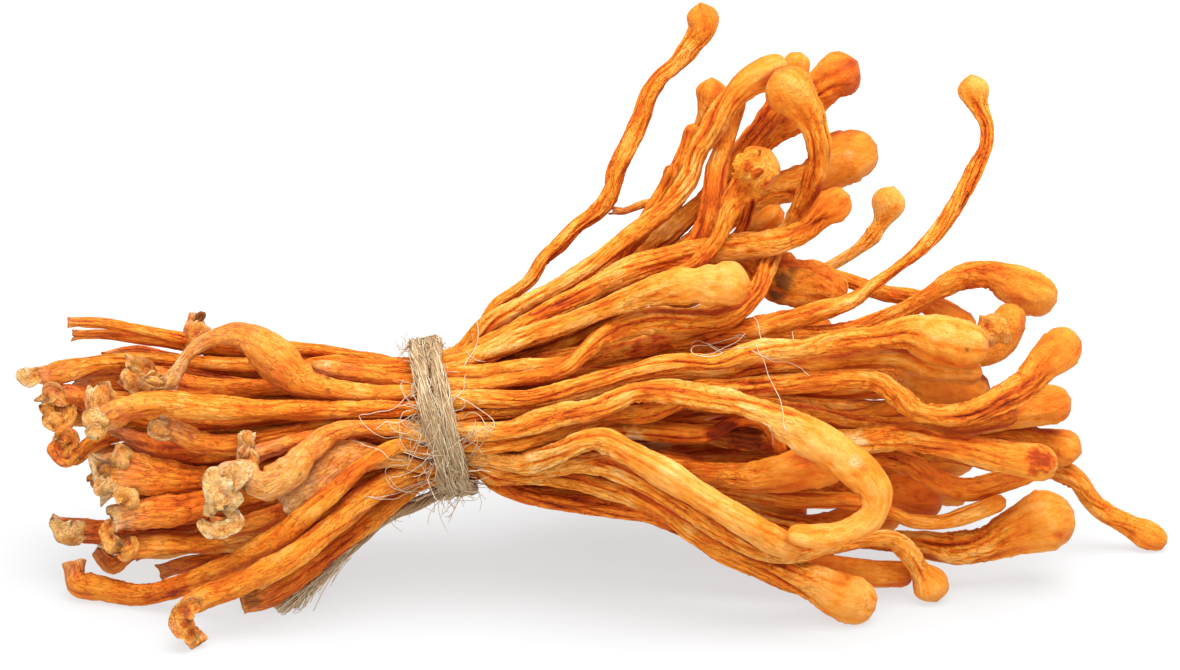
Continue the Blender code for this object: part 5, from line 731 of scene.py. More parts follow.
def headness(path):
    """0 on the stalk and 1 on the head: how far the half width has grown from the neck to the head."""
    last = path.s > path.length - HEAD_REACH
    grown = np.where(last, path.half, 0)
    top = int(np.argmax(grown))
    neck = path.half[last][: max(1, top - int(np.argmax(last)))].min()
    share = ramp(0.2, 0.85, (grown - neck) / max(grown[top] - neck, 1e-3))
    return np.maximum.accumulate(share) * ramp(0.15, 0.6, grown[top] - neck + 0.15)


def bend_side(path, angle):
    """Positive on the inside of a bend: the curve's turning, in 1/mm, along each direction round it."""
    turning = smoothed(np.gradient(path.tangent, axis=0) / np.gradient(path.s)[:, None], 4)
    inner = np.einsum("ni,ni->n", turning, path.one)[:, None] * np.cos(angle)
    return inner + np.einsum("ni,ni->n", turning, path.two)[:, None] * np.sin(angle)


def valleys(count, angle, circle, wander, seed):
    """1 in the bottom of a fold, 0 on its shoulders: (1 - |sin(phase / 2)|)^1.6, count folds round."""
    slow = 3.2 * noise(circle * [0.9, 0.9, 1 / 9], seed)
    slow = slow + 1.5 * noise(circle * [1.8, 1.8, 1 / 3.4], seed + 1)
    quick = 0.6 * noise(circle * [3.1, 3.1, 1 / 1.3], seed + 2)
    phase = count * angle + wander * (slow + quick)
    return (1 - np.abs(np.sin(phase / 2))) ** 1.6


# %% The folded surface
def skin(path, look, seed):
    """The surface as points (rows along, columns round), its valley share for painted shade, its ridge share
    for painted highlight, and its head share.

    point = middle + directions x oval x (cos a, sin a) x half(s) x f(a, s), where
    f = 1 + lumps - depth x folds - fine folds + crumple, and shrinks on the inside of a sharp bend.
    """
    turn = turns(look.around)[None, :]
    s = path.s[:, None]
    sway = noise(np.column_stack([path.s / 8, 0 * path.s, 0 * path.s]), seed)[:, None]
    angle = turn + look.twist * s + 0.5 * sway
    circle = np.stack([np.cos(angle), np.sin(angle), 0 * angle + s], axis=-1)
    head = headness(path)[:, None] * look.head
    calm = (1 - 0.72 * head) * (look.still + (1 - look.still) * ramp(0.2, 0.45, s / path.length))
    strong = np.clip(0.5 + 0.9 * noise(circle * [0.8, 0.8, 1 / 6], seed + 3), 0.08, 1)
    main = valleys(look.folds, angle, circle, 1.0, seed + 5) * strong
    often = np.clip(0.45 + 1.0 * noise(circle * [1.3, 1.3, 1 / 4], seed + 9), 0, 1)
    small = valleys(look.folds * 2 + 3, angle, circle, 1.5, seed + 11) * often
    warp = noise(circle * [1.4, 1.4, 0.5], seed + 17)[..., None] * [0.7, 0.7, 0.5]
    crumple = 1 - 2 * np.abs(noise(circle * [2.7, 2.7, 0.85] + warp, seed + 19))
    finest = 1 - 2 * np.abs(noise(circle * [5.0, 5.0, 1.5] + 1.5 * warp, seed + 21))
    kink = bend_side(path, turn)
    inside = np.clip(kink * path.half[:, None], 0, 0.5)
    across = np.abs(noise(circle * [0.9, 0.9, 1.5] + warp, seed + 23))
    across = across * (inside * 0.9 + 0.05) * (1 - 0.8 * head)
    ring = np.column_stack([path.s / 3.6, 0 * path.s + 2.5, 0 * path.s])
    swell = 0.8 * noise(ring, seed + 25) + 0.5 * noise(ring * [2.3, 1, 1], seed + 26)
    broad = noise(circle * [0.9, 0.9, 0.24], seed + 27)
    broad = broad + 0.6 * noise(circle * [1.5, 1.5, 0.55], seed + 28)
    dents = look.dent * head * (noise(circle * [1.0, 1.0, 0.35], seed + 29) - 0.3)
    f = 1.02 + look.lumps * (0.8 * broad + swell[:, None]) * (1 - 0.6 * head) + dents
    f = f - calm * (look.depth * main + look.fine * small)
    f = f + look.crumple * (0.35 + 0.65 * calm) * (0.7 * crumple + 0.35 * finest) - 1.2 * across
    f = f + 0.03 * look.grainy * head * noise(circle * [7, 7, 5], seed + 37)
    reach = path.half[:, None] * f
    tight = np.maximum(kink, 0) * reach / 0.9
    f = f / (1 + tight**4) ** 0.25
    local = np.stack([np.cos(turn) + 0 * s, np.sin(turn) + 0 * s], axis=-1)
    flat = np.einsum("nab,nkb->nka", path.root, local * (path.half[:, None] * f)[..., None])
    points = path.middle[:, None] + flat[..., :1] * path.one[:, None] + flat[..., 1:] * path.two[:, None]
    # valley and ridge shares only colour the skin: painted shade in the valleys, painted highlight on the
    # ridges
    valley = calm * (1.1 * main**1.5 + 0.8 * small**1.6)
    valley = valley + np.clip(-crumple, 0, 1) ** 2 * 0.5 + 1.6 * across * calm
    ridge_highlight = np.clip(f - 0.90, 0, 0.3) * 3.3
    return points, np.clip(valley, 0, 1), ridge_highlight, head + 0 * turn


# %% [markdown]
# ## Painted shade where the stalks lie close
# Between tightly packed stalks the skin is painted a deep red: painted shade, where little light gets in. To
# know how close a point's neighbours are, the bunch is counted into a grid of small cells: each stalk adds
# its volume to the cells that it runs through. A point then reads the grid a little way outwards from its own
# skin.

# %% A grid of how full the bunch is
CELL, GRID_MARGIN = 1.0, 6
LOOK_OUT = (1.4, 2.8, 4.6)
middles = np.vstack([p.middle for p in paths.values()])
volumes = np.concatenate([np.gradient(p.s) * math.pi * p.half**2 for p in paths.values()])
GRID_LOW = middles.min(axis=0) - GRID_MARGIN
GRID_COUNT = np.ceil((middles.max(axis=0) + GRID_MARGIN - GRID_LOW) / CELL).astype(int) + 1
fullness = np.zeros(GRID_COUNT)
cells = ((middles - GRID_LOW) / CELL).round().astype(int)
np.add.at(fullness, tuple(cells.T), volumes / CELL**3)
for axis in (0, 1, 2, 0, 1, 2):
    fullness = (np.roll(fullness, 1, axis) + 2 * fullness + np.roll(fullness, -1, axis)) / 4


def closeness(points, outward):
    """How full the grid is 1.4, 2.8 and 4.6 mm outwards: the eight cells around, weighted by distance."""
    total = 0.0
    for far in LOOK_OUT:
        at = np.clip((points + outward * far - GRID_LOW) / CELL, 0.001, np.array(GRID_COUNT) - 1.001)
        cell = np.floor(at).astype(int)
        for bits, weight in cell_corners(at - cell):
            full = fullness[tuple(np.moveaxis(cell + bits, -1, 0))]
            total = total + weight * np.minimum(full, 1.0) / len(LOOK_OUT)
    return total


print("grid", GRID_COUNT.tolist(), "fullest cell", round(float(fullness.max()), 2))


# %% [markdown]
# ## The torn base
# Each stalk was cut or torn off, and dried open: a flattened tube whose end puckers into a few round
# lobes. Behind the rim a wall goes inside to a point, so that the piece stays closed but looks hollow.
# Some bases carry knobs of pale crust.


# %% The base's shape, as (share of the depth, share of the rim's size) down the inner wall
WALL = ((1.0, 0.30), (0.75, 0.52), (0.5, 0.66), (0.28, 0.76), (0.12, 0.84), (0.03, 0.92))


def with_base(path, look, points, seed):
    """Adds the inner wall before the first row: rows from the hollow's bottom out to the lobed rim.

    The rim moves back and forth by ragged x noise; puckers and a rolled lip fade with exp(-s).
    """
    turn = turns(look.around)
    ring = np.stack([1.5 * np.cos(turn), 1.5 * np.sin(turn), 0 * turn], axis=-1)
    rim = look.ragged * (0.8 * noise(ring * 0.6 + 3, seed + 41) + 0.22 * noise(ring * 1.3, seed + 43))
    rim = rim - rim.max() * 0.4
    fade = np.exp(-((path.s / 2.4) ** 2))[:, None]
    arm = points - path.middle[:, None]
    lean = 2.4 * noise(np.array([[seed * 0.37, 0.5, 0.5]]), 7)[0]
    thin = np.cos(lean) * path.one + np.sin(lean) * path.two
    flatten = look.pinch * np.exp(-path.s / 3.0)[:, None]
    across = np.einsum("nki,ni->nk", arm, thin)
    arm = arm * (1 + 0.35 * flatten[..., None]) - (1.35 * flatten * across)[..., None] * thin[:, None]
    points = path.middle[:, None] + arm
    outward = unit(arm)
    size = path.half[:1, None]
    place = np.broadcast_to(ring, points.shape) * [1, 1, 0] + path.s[:, None, None] * [0, 0, 0.8]
    flare = look.flare * size * np.exp(-path.s[:, None] / 1.2) * (0.7 + 0.8 * noise(ring + 7, seed + 47))
    pucker = 0.26 * noise(place * 1.2, seed + 45) + 0.1 * noise(place * 2.8, seed + 46)
    pucker = size * np.exp(-path.s[:, None] / 1.5) * pucker
    lip = 0.14 * np.exp(-((path.s[:, None] / 0.55) ** 2)) * (0.6 + noise(ring * 1.4, seed + 48))
    near = np.exp(-path.s / look.cream_reach)[:, None]
    knobs = look.knobs * near * (0.25 + layered(points * 0.9, seed + 49))
    points = points - path.tangent[:, None] * (rim * fade)[..., None]
    points = points + outward * (flare + knobs + pucker + lip)[..., None]
    edge = points[:1]
    middle = path.middle[0]
    deep = look.hollow * float(size[0, 0])
    uneven = 0.14 * noise(ring * 2.1, seed + 53)[None, :, None]
    rows = [middle + (edge - middle) * narrow
            + path.tangent[0] * (deep * share + uneven * min(1, 6 * share)) for share, narrow in WALL]
    return np.concatenate(rows + [points]), len(rows)


def build_mesh(name, corners, *tables):
    """A mesh from corners in millimetres and tables of faces, where a row holds one face's corners."""
    mesh = bpy.data.meshes.new(name)
    mesh.vertices.add(len(corners))
    mesh.vertices.foreach_set("co", (corners * MM).astype(np.float32).ravel())
    sizes = np.concatenate([np.full(len(table), table.shape[1]) for table in tables])
    mesh.loops.add(int(sizes.sum()))
    order = np.concatenate([table.ravel() for table in tables])
    mesh.loops.foreach_set("vertex_index", order.astype(np.int32))
    mesh.polygons.add(len(sizes))
    mesh.polygons.foreach_set("loop_start", (np.cumsum(sizes) - sizes).astype(np.int32))
    mesh.update(calc_edges=True)
    mesh.shade_smooth()
    return mesh


def close_mesh(name, rows, first, last):
    """One closed piece: quads between neighbouring rows, and a fan to a point at each end."""
    n, m = rows.shape[:2]
    here = np.arange(n - 1)[:, None] * m + np.arange(m)[None]
    after = np.arange(n - 1)[:, None] * m + (np.arange(m)[None] + 1) % m
    quads = np.stack([here, after, after + m, here + m], axis=-1).reshape(-1, 4)
    col = np.arange(m)
    turned = (col + 1) % m
    start = np.stack([np.full(m, n * m), turned, col], axis=-1)
    end = np.stack([(n - 1) * m + col, (n - 1) * m + turned, np.full(m, n * m + 1)], axis=-1)
    corners = np.vstack([rows.reshape(-1, 3), first, last])
    corners[:, 2] = np.maximum(corners[:, 2], 0.0)
    return build_mesh(name, corners, quads, start, end)


def give(mesh, name, values):
    """Stores one number, or three, for each corner of the mesh."""
    kind = "FLOAT" if values.ndim == 1 else "FLOAT_VECTOR"
    layer = mesh.attributes.new(name, kind, "POINT")
    layer.data.foreach_set("value" if kind == "FLOAT" else "vector", values.astype(np.float32).ravel())


# %% [markdown]
# ## Building a material
# A material is a tree of nodes. A few short calls keep the next cells readable: add a node, do a sum,
# mix two colours, and turn a number into a colour along a ramp.


# %% Short calls for node trees
class Nodes:
    """A new material's node tree, with its Principled shader at hand."""

    def __init__(self, name):
        self.material = bpy.data.materials.new(name)
        self.material.use_nodes = True
        self.tree = self.material.node_tree
        self.shader = self.tree.nodes["Principled BSDF"]

    def add(self, kind, settings=(), **inputs):
        """A node with its settings, and a number or a link for each input named."""
        node = self.tree.nodes.new(kind)
        for key, value in settings:
            setattr(node, key, value)
        return self.fill(node, **inputs)

    def fill(self, node, **inputs):
        """A number, a colour or a link for each input named, where _ stands for a space."""
        for key, value in inputs.items():
            self.put(node.inputs[key.replace("_", " ")], value)
        return node

    def put(self, socket, value):
        """Links a socket to another one, or sets its number or colour."""
        if isinstance(value, bpy.types.NodeSocket):
            self.tree.links.new(value, socket)
        else:
            socket.default_value = value

    def share(self, name):
        """A number that was stored on the mesh."""
        return self.add("ShaderNodeAttribute", [("attribute_name", name)]).outputs["Fac"]

    def math(self, operation, a, b=0.0, clamp=False):
        """A sum of two numbers, held to 0..1 if asked."""
        node = self.add("ShaderNodeMath", [("operation", operation), ("use_clamp", clamp)])
        self.put(node.inputs[0], a)
        self.put(node.inputs[1], b)
        return node.outputs[0]

    def times(self, a, b, clamp=False):
        """The product of two numbers."""
        return self.math("MULTIPLY", a, b, clamp)

    def total(self, *parts, clamp=False):
        """The sum of all the parts."""
        value = parts[0]
        for part in parts[1:-1]:
            value = self.math("ADD", value, part)
        return self.math("ADD", value, parts[-1], clamp)

    def swing(self, value, height):
        """(value - 0.5) times height."""
        return self.times(self.math("SUBTRACT", value, 0.5), height)

    def mix(self, share, a, b):
        """Colour a, and more of colour b as share goes to 1."""
        node = self.add("ShaderNodeMix", [("data_type", "RGBA")])
        self.put(node.inputs[0], share)
        self.put(node.inputs[6], a)
        self.put(node.inputs[7], b)
        return node.outputs[2]

    def grain(self, vector, scale, detail=3.0, rough=0.6, bend=0.0):
        """Blender's own noise, from 0 to 1."""
        node = self.add("ShaderNodeTexNoise", Vector=vector, Scale=scale, Detail=detail, Roughness=rough,
                        Distortion=bend)
        return node.outputs["Fac"]

    def lines(self, vector, scale, width):
        """Thin lines where a noise passes 0.5: (1 - |noise - 0.5| / width) squared, never below 0."""
        off = self.math("ABSOLUTE", self.math("SUBTRACT", self.grain(vector, scale, 2.0, 0.5, 0.5), 0.5))
        near = self.math("SUBTRACT", 1.0, self.math("DIVIDE", off, width), clamp=True)
        return self.times(near, near)

    def ramp(self, value, stops):
        """The colour that the stops give for a number, blended in between."""
        node = self.add("ShaderNodeValToRGB", Fac=value)
        bar = node.color_ramp.elements
        while len(bar) < len(stops):
            bar.new(0.5)
        for element, (place, colour) in zip(bar, stops):
            element.position = place
            element.color = (*colour, 1.0)
        return node.outputs["Color"]


# %% [markdown]
# ## Skin colour
# Ridges are painted yellow-orange as painted highlight, flanks are orange, and valleys and wrinkles are
# painted red-brown as painted shade. Torn bases are cream to grey, and their hollows are painted dark as
# painted shade. The shape code stored those shares on the mesh, so the material only has to mix them, with
# fine noise that runs along each stalk.


# %% The skin's material
SKIN_TONES = [(0.0, (0.16, 0.012, 0.001)), (0.20, (0.44, 0.050, 0.002)), (0.42, (0.74, 0.140, 0.005)),
              (0.62, (0.86, 0.275, 0.020)), (0.80, (0.92, 0.42, 0.09)), (1.0, (0.95, 0.62, 0.27))]
CRUST_TONES = [(0.30, (0.42, 0.19, 0.05)), (0.46, (0.74, 0.42, 0.15)), (0.64, (0.90, 0.69, 0.40))]
# the deep red of painted shade between close stalks
BETWEEN_STALKS_SHADE_RED = (0.47, 0.043, 0.002, 1)
SPECK_BROWN = (0.34, 0.040, 0.004, 1)
# painted shade in the hollows of the torn bases, and in the dark marks in folds and gaps
SHADE_BROWN = (0.075, 0.030, 0.010, 1)


def skin_material():
    """Colour from the stored shares and lengthwise noise; bump from fine noise along the skin."""
    n = Nodes("dried_skin")
    run = n.add("ShaderNodeAttribute", [("attribute_name", "grain")]).outputs["Vector"]
    place = n.add("ShaderNodeTexCoord").outputs["Object"]
    streak = n.grain(run, 1.6, 4.0, 0.6, 0.9)
    patch = n.grain(place, 210.0, 3.0)
    fine = n.grain(run, 6.0, 4.0, 0.7, 0.9)
    pores = n.grain(place, 2600.0, 2.0, 0.6)
    # wrinkle lines: a bump, and painted shade in them
    wrinkle = n.math("MAXIMUM", n.lines(run, 1.4, 0.030), n.lines(run, 3.0, 0.040))
    wrinkle = n.times(wrinkle, n.times(n.grain(place, 520.0, 2.0), 1.7), clamp=True)
    wrinkle = n.times(wrinkle, n.math("SUBTRACT", 1.0, n.times(n.share("head"), 0.7)))
    # tone: ridges lighter as painted highlight, wrinkles and creases darker as painted shade, plus noise
    tone = n.total(n.share("tone"), n.swing(streak, 0.12), n.swing(patch, 0.66), n.swing(fine, 0.06),
                   n.swing(n.grain(place, 760.0, 3.0), 0.16), n.times(n.share("ridge_highlight"), 0.22),
                   n.times(wrinkle, -0.12), n.times(n.share("crease"), -0.42), clamp=True)
    # painted shade: deep red where neighbouring stalks lie close
    colour = n.mix(n.times(n.share("shade_between_stalks"), 0.88), n.ramp(tone, SKIN_TONES), BETWEEN_STALKS_SHADE_RED)
    dots = n.math("GREATER_THAN", n.grain(place, 2600.0, 2.0), 0.52)
    colour = n.mix(n.times(n.share("speckle"), dots), colour, SPECK_BROWN)
    pale = n.times(n.share("cream"), n.total(patch, 0.55), clamp=True)
    colour = n.mix(pale, colour, n.ramp(n.grain(place, 900.0, 4.0, 0.7), CRUST_TONES))
    # painted shade: near-black brown down the hollow of each torn base, and where a dark mark was put
    colour = n.mix(n.math("MINIMUM", n.share("dark"), 0.96), colour, SHADE_BROWN)
    gloss = n.math("SUBTRACT", 0.62, n.times(n.share("head"), 0.14))
    grit = n.times(n.total(n.share("grainy"), n.share("cream"), 0.12), n.swing(pores, 0.9))
    rough = n.total(n.swing(streak, 0.20), n.swing(fine, 0.34), grit, n.times(wrinkle, -0.38))
    bump = n.add("ShaderNodeBump", Height=rough, Strength=0.95, Distance=0.0004)
    n.fill(n.shader, Base_Color=colour, Roughness=n.total(gloss, n.swing(fine, 0.25)),
           Subsurface_Weight=0.10, Subsurface_Radius=(1.0, 0.3, 0.08), Subsurface_Scale=0.0009,
           Specular_IOR_Level=0.16, Normal=bump.outputs["Normal"])
    return n.material


SKIN = skin_material()

# %% [markdown]
# ## How each stalk looks
# Most stalks share one way of drying, with their own random folds. The ones that face the eye get what
# is seen on them: a smooth round head, a twisted neck, a wide torn base or a cream crust.

# %% The looks, stalk by stalk
LOOKS = {
    "fork": dict(folds=3, depth=0.26, lumps=0.13, tone=0.52, cream=0.2),
    "top_bend": dict(folds=4, tone=0.58, cream=0.2, hollow=0.6, ragged=0.25),
    "long_elbow": dict(tone=0.56, cream=0.5, hollow=0.3, ragged=0.1, pinch=0.0),
    "high_loop": dict(folds=4, grainy=1.0, still=0.2, tone=0.54, cream=0.9, cream_reach=5.0, ragged=0.9),
    "front_club": dict(tone=0.58, depth=0.36, cream=0.9, hollow=1.6, ragged=0.9),
    "swan_neck": dict(twist=0.14, folds=3, tone=0.55),
    "long_upper": dict(tone=0.58, folds=5, cream=0.9, ragged=1.1, grainy=0.5),
    "long_lower": dict(tone=0.56, folds=5, cream=0.8, hollow=0.25, ragged=0.25),
    "strap_loop": dict(tone=0.62, folds=3, depth=0.2, still=0.4, cream=1.0, cream_reach=6.5, knobs=0.5,
                       ragged=1.0),
    "dipper": dict(tone=0.56, cream=0.5, cream_reach=0.9, flare=0.60, hollow=0.5, ragged=0.25, folds=3),
    "drop": dict(tone=0.60, still=0.4, hollow=0.6, ragged=0.2, folds=4, cream=0.3),
    "knee": dict(tone=0.66, folds=5, still=0.35, cream=0.6, cream_reach=8.0, hollow=0.5),
    "foot": dict(tone=0.58, folds=5, hollow=0.8),
    "keel": dict(tone=0.46, folds=4),
    "folded_head": dict(tone=0.50, ragged=1.1, cream=0.6, flare=0.3, dent=0.25),
    "horned": dict(tone=0.52, ragged=1.3, cream=0.9, grainy=0.8),
    "speckled": dict(tone=0.52, speckle=0.12, ragged=1.1, cream=0.7, grainy=0.8),
    "speckled_low": dict(tone=0.46, speckle=0.2, ragged=1.0, cream=0.6),
    "torn_edge": dict(tone=0.45, cream=1.0, knobs=0.45, cream_reach=2.5),
    "pale_rear": dict(tone=0.56, cream=0.8, ragged=1.0),
    "rough_end": dict(tone=0.55, ragged=1.0, flare=0.3, cream=0.95, hollow=1.4, folds=5),
    "crumpled": dict(tone=0.50, depth=0.42, cream=0.8, hollow=1.8, ragged=0.8),
    "twin_club": dict(tone=0.60, folds=4, cream=0.7, hollow=1.6),
    "twin_upper": dict(tone=0.52),
    "far_reach": dict(twist=0.12, tone=0.54, folds=3),
    "far_back": dict(tone=0.64, folds=3, depth=0.12, fine=0.04, lumps=0.03, crumple=0.03, dent=0.03),
    "reddish": dict(tone=0.36, ragged=1.0, cream=0.6),
    "right_mid": dict(tone=0.54),
    "right_low": dict(tone=0.50),
    "high_side": dict(tone=0.56, depth=0.2, lumps=0.06, crumple=0.06),
    "under_elbow": dict(tone=0.50, folds=4, depth=0.40, crumple=0.14, lumps=0.2, speckle=0.12, head=0.5),
    "inner_fold": dict(tone=0.44, crumple=0.15),
}


def look_for(name, number):
    """The stalk's own look: the shared one, a tone and a twist of its own, more points where it shows."""
    own = dict(tone=0.50 + 0.08 * math.sin(number * 2.4), twist=0.03 * math.sin(number * 1.7))
    if name in IN_SIGHT:
        own.update(around=AROUND_SHOWN)
    own.update(LOOKS.get(name, {}))
    return Look(**own)


# %% [markdown]
# ## One stalk, ready to place
# The rows become a closed mesh, and every point gets its shares for colour. The piece rides on the
# bunch's one body and replaces the plain stalk of the same name.


# %% Make all the stalks
FAR_LEFT = (-15.0, -25.0)


def skin_piece(name, stalk, rows, ends, shares, grain):
    """A closed piece of dried skin. Each share has a number for every point, and means for the ends."""
    mesh = close_mesh(name, rows, *ends)
    for key, values in shares.items():
        give(mesh, key, np.append(values.ravel(), [values[0].mean(), values[-1].mean()]))
    give(mesh, "grain", grain)
    mesh.materials.append(SKIN)
    piece = placed(name, mesh)
    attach(piece, "root")
    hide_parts("stalk_" + stalk)
    return piece


def make_stalk(name, number):
    """One stalk as a closed piece with its shares for colour; the far left of the bunch is redder."""
    path = paths[name]
    look = look_for(name, number)
    seed = 100 + 60 * number
    points, valley, ridge_highlight, head = skin(path, look, seed)
    rows, inner = with_base(path, look, points, seed)
    n, m = rows.shape[:2]
    from_base = np.concatenate([-np.arange(inner, 0, -1) * 0.25, path.s])[:, None] + np.zeros((1, m))
    pad = np.zeros((inner, m))
    turn = turns(m)[None]
    size = np.concatenate([np.full(inner, path.half[0]), path.half])[:, None]
    grain = np.stack([size * np.cos(turn), size * np.sin(turn), from_base * 0.2], axis=-1)
    grain_ends = np.array([[0, 0, grain[0, 0, 2]], [0, 0, grain[-1, 0, 2]]])
    # painted shade: the base's inner wall darkens towards the bottom of its hollow
    hollow = ramp(0.1, 1.3, -from_base) * ramp(0.3, 1.0, look.hollow)
    outward = unit(points - path.middle[:, None])
    # painted shade: how full the bunch is just outside the skin, for the deep red between close stalks
    shade_between_stalks = ramp(0.05, 0.62, closeness(points, outward))
    # crease is painted shade in the valleys; ridge is painted highlight on the shoulders
    shares = {
        "crease": np.concatenate([pad, valley]),
        "ridge_highlight": np.concatenate([pad, ridge_highlight]),
        "head": np.concatenate([pad, head]),
        "tone": look.tone - 0.07 * ramp(*FAR_LEFT, rows[..., 0]),
        "cream": look.cream * np.exp(-np.maximum(from_base, 0) / look.cream_reach),
        "dark": hollow * 0.92,
        "speckle": np.full((n, m), look.speckle),
        "grainy": np.concatenate([pad, head * look.grainy]),
        "shade_between_stalks": np.concatenate([pad + shade_between_stalks[:1], shade_between_stalks]),
    }
    deep = path.middle[0] + path.tangent[0] * (look.hollow + 0.1) * path.half[0]
    grain = np.vstack([grain.reshape(-1, 3), grain_ends])
    return skin_piece("skin_" + name, name, rows, (deep, path.middle[-1]), shares, grain)


stalks = [make_stalk(name, number) for number, name in enumerate(NAMES)]
triangles = sum(len(piece.data.loops) - 2 * len(piece.data.polygons) for piece in stalks)
print("skins", len(stalks), "triangles", triangles)

# %% [markdown]
# ## Lobes of the torn bases
# Where a base was torn it ends in curled lobes, ears and small knobs. Each is a short leaf that starts
# inside its stalk: a line in the picture with a half width, whose cross section is a flat oval bent into
# a cup. An oval as thick as it is wide makes a knob. One head has dried into a folded cup the same way.

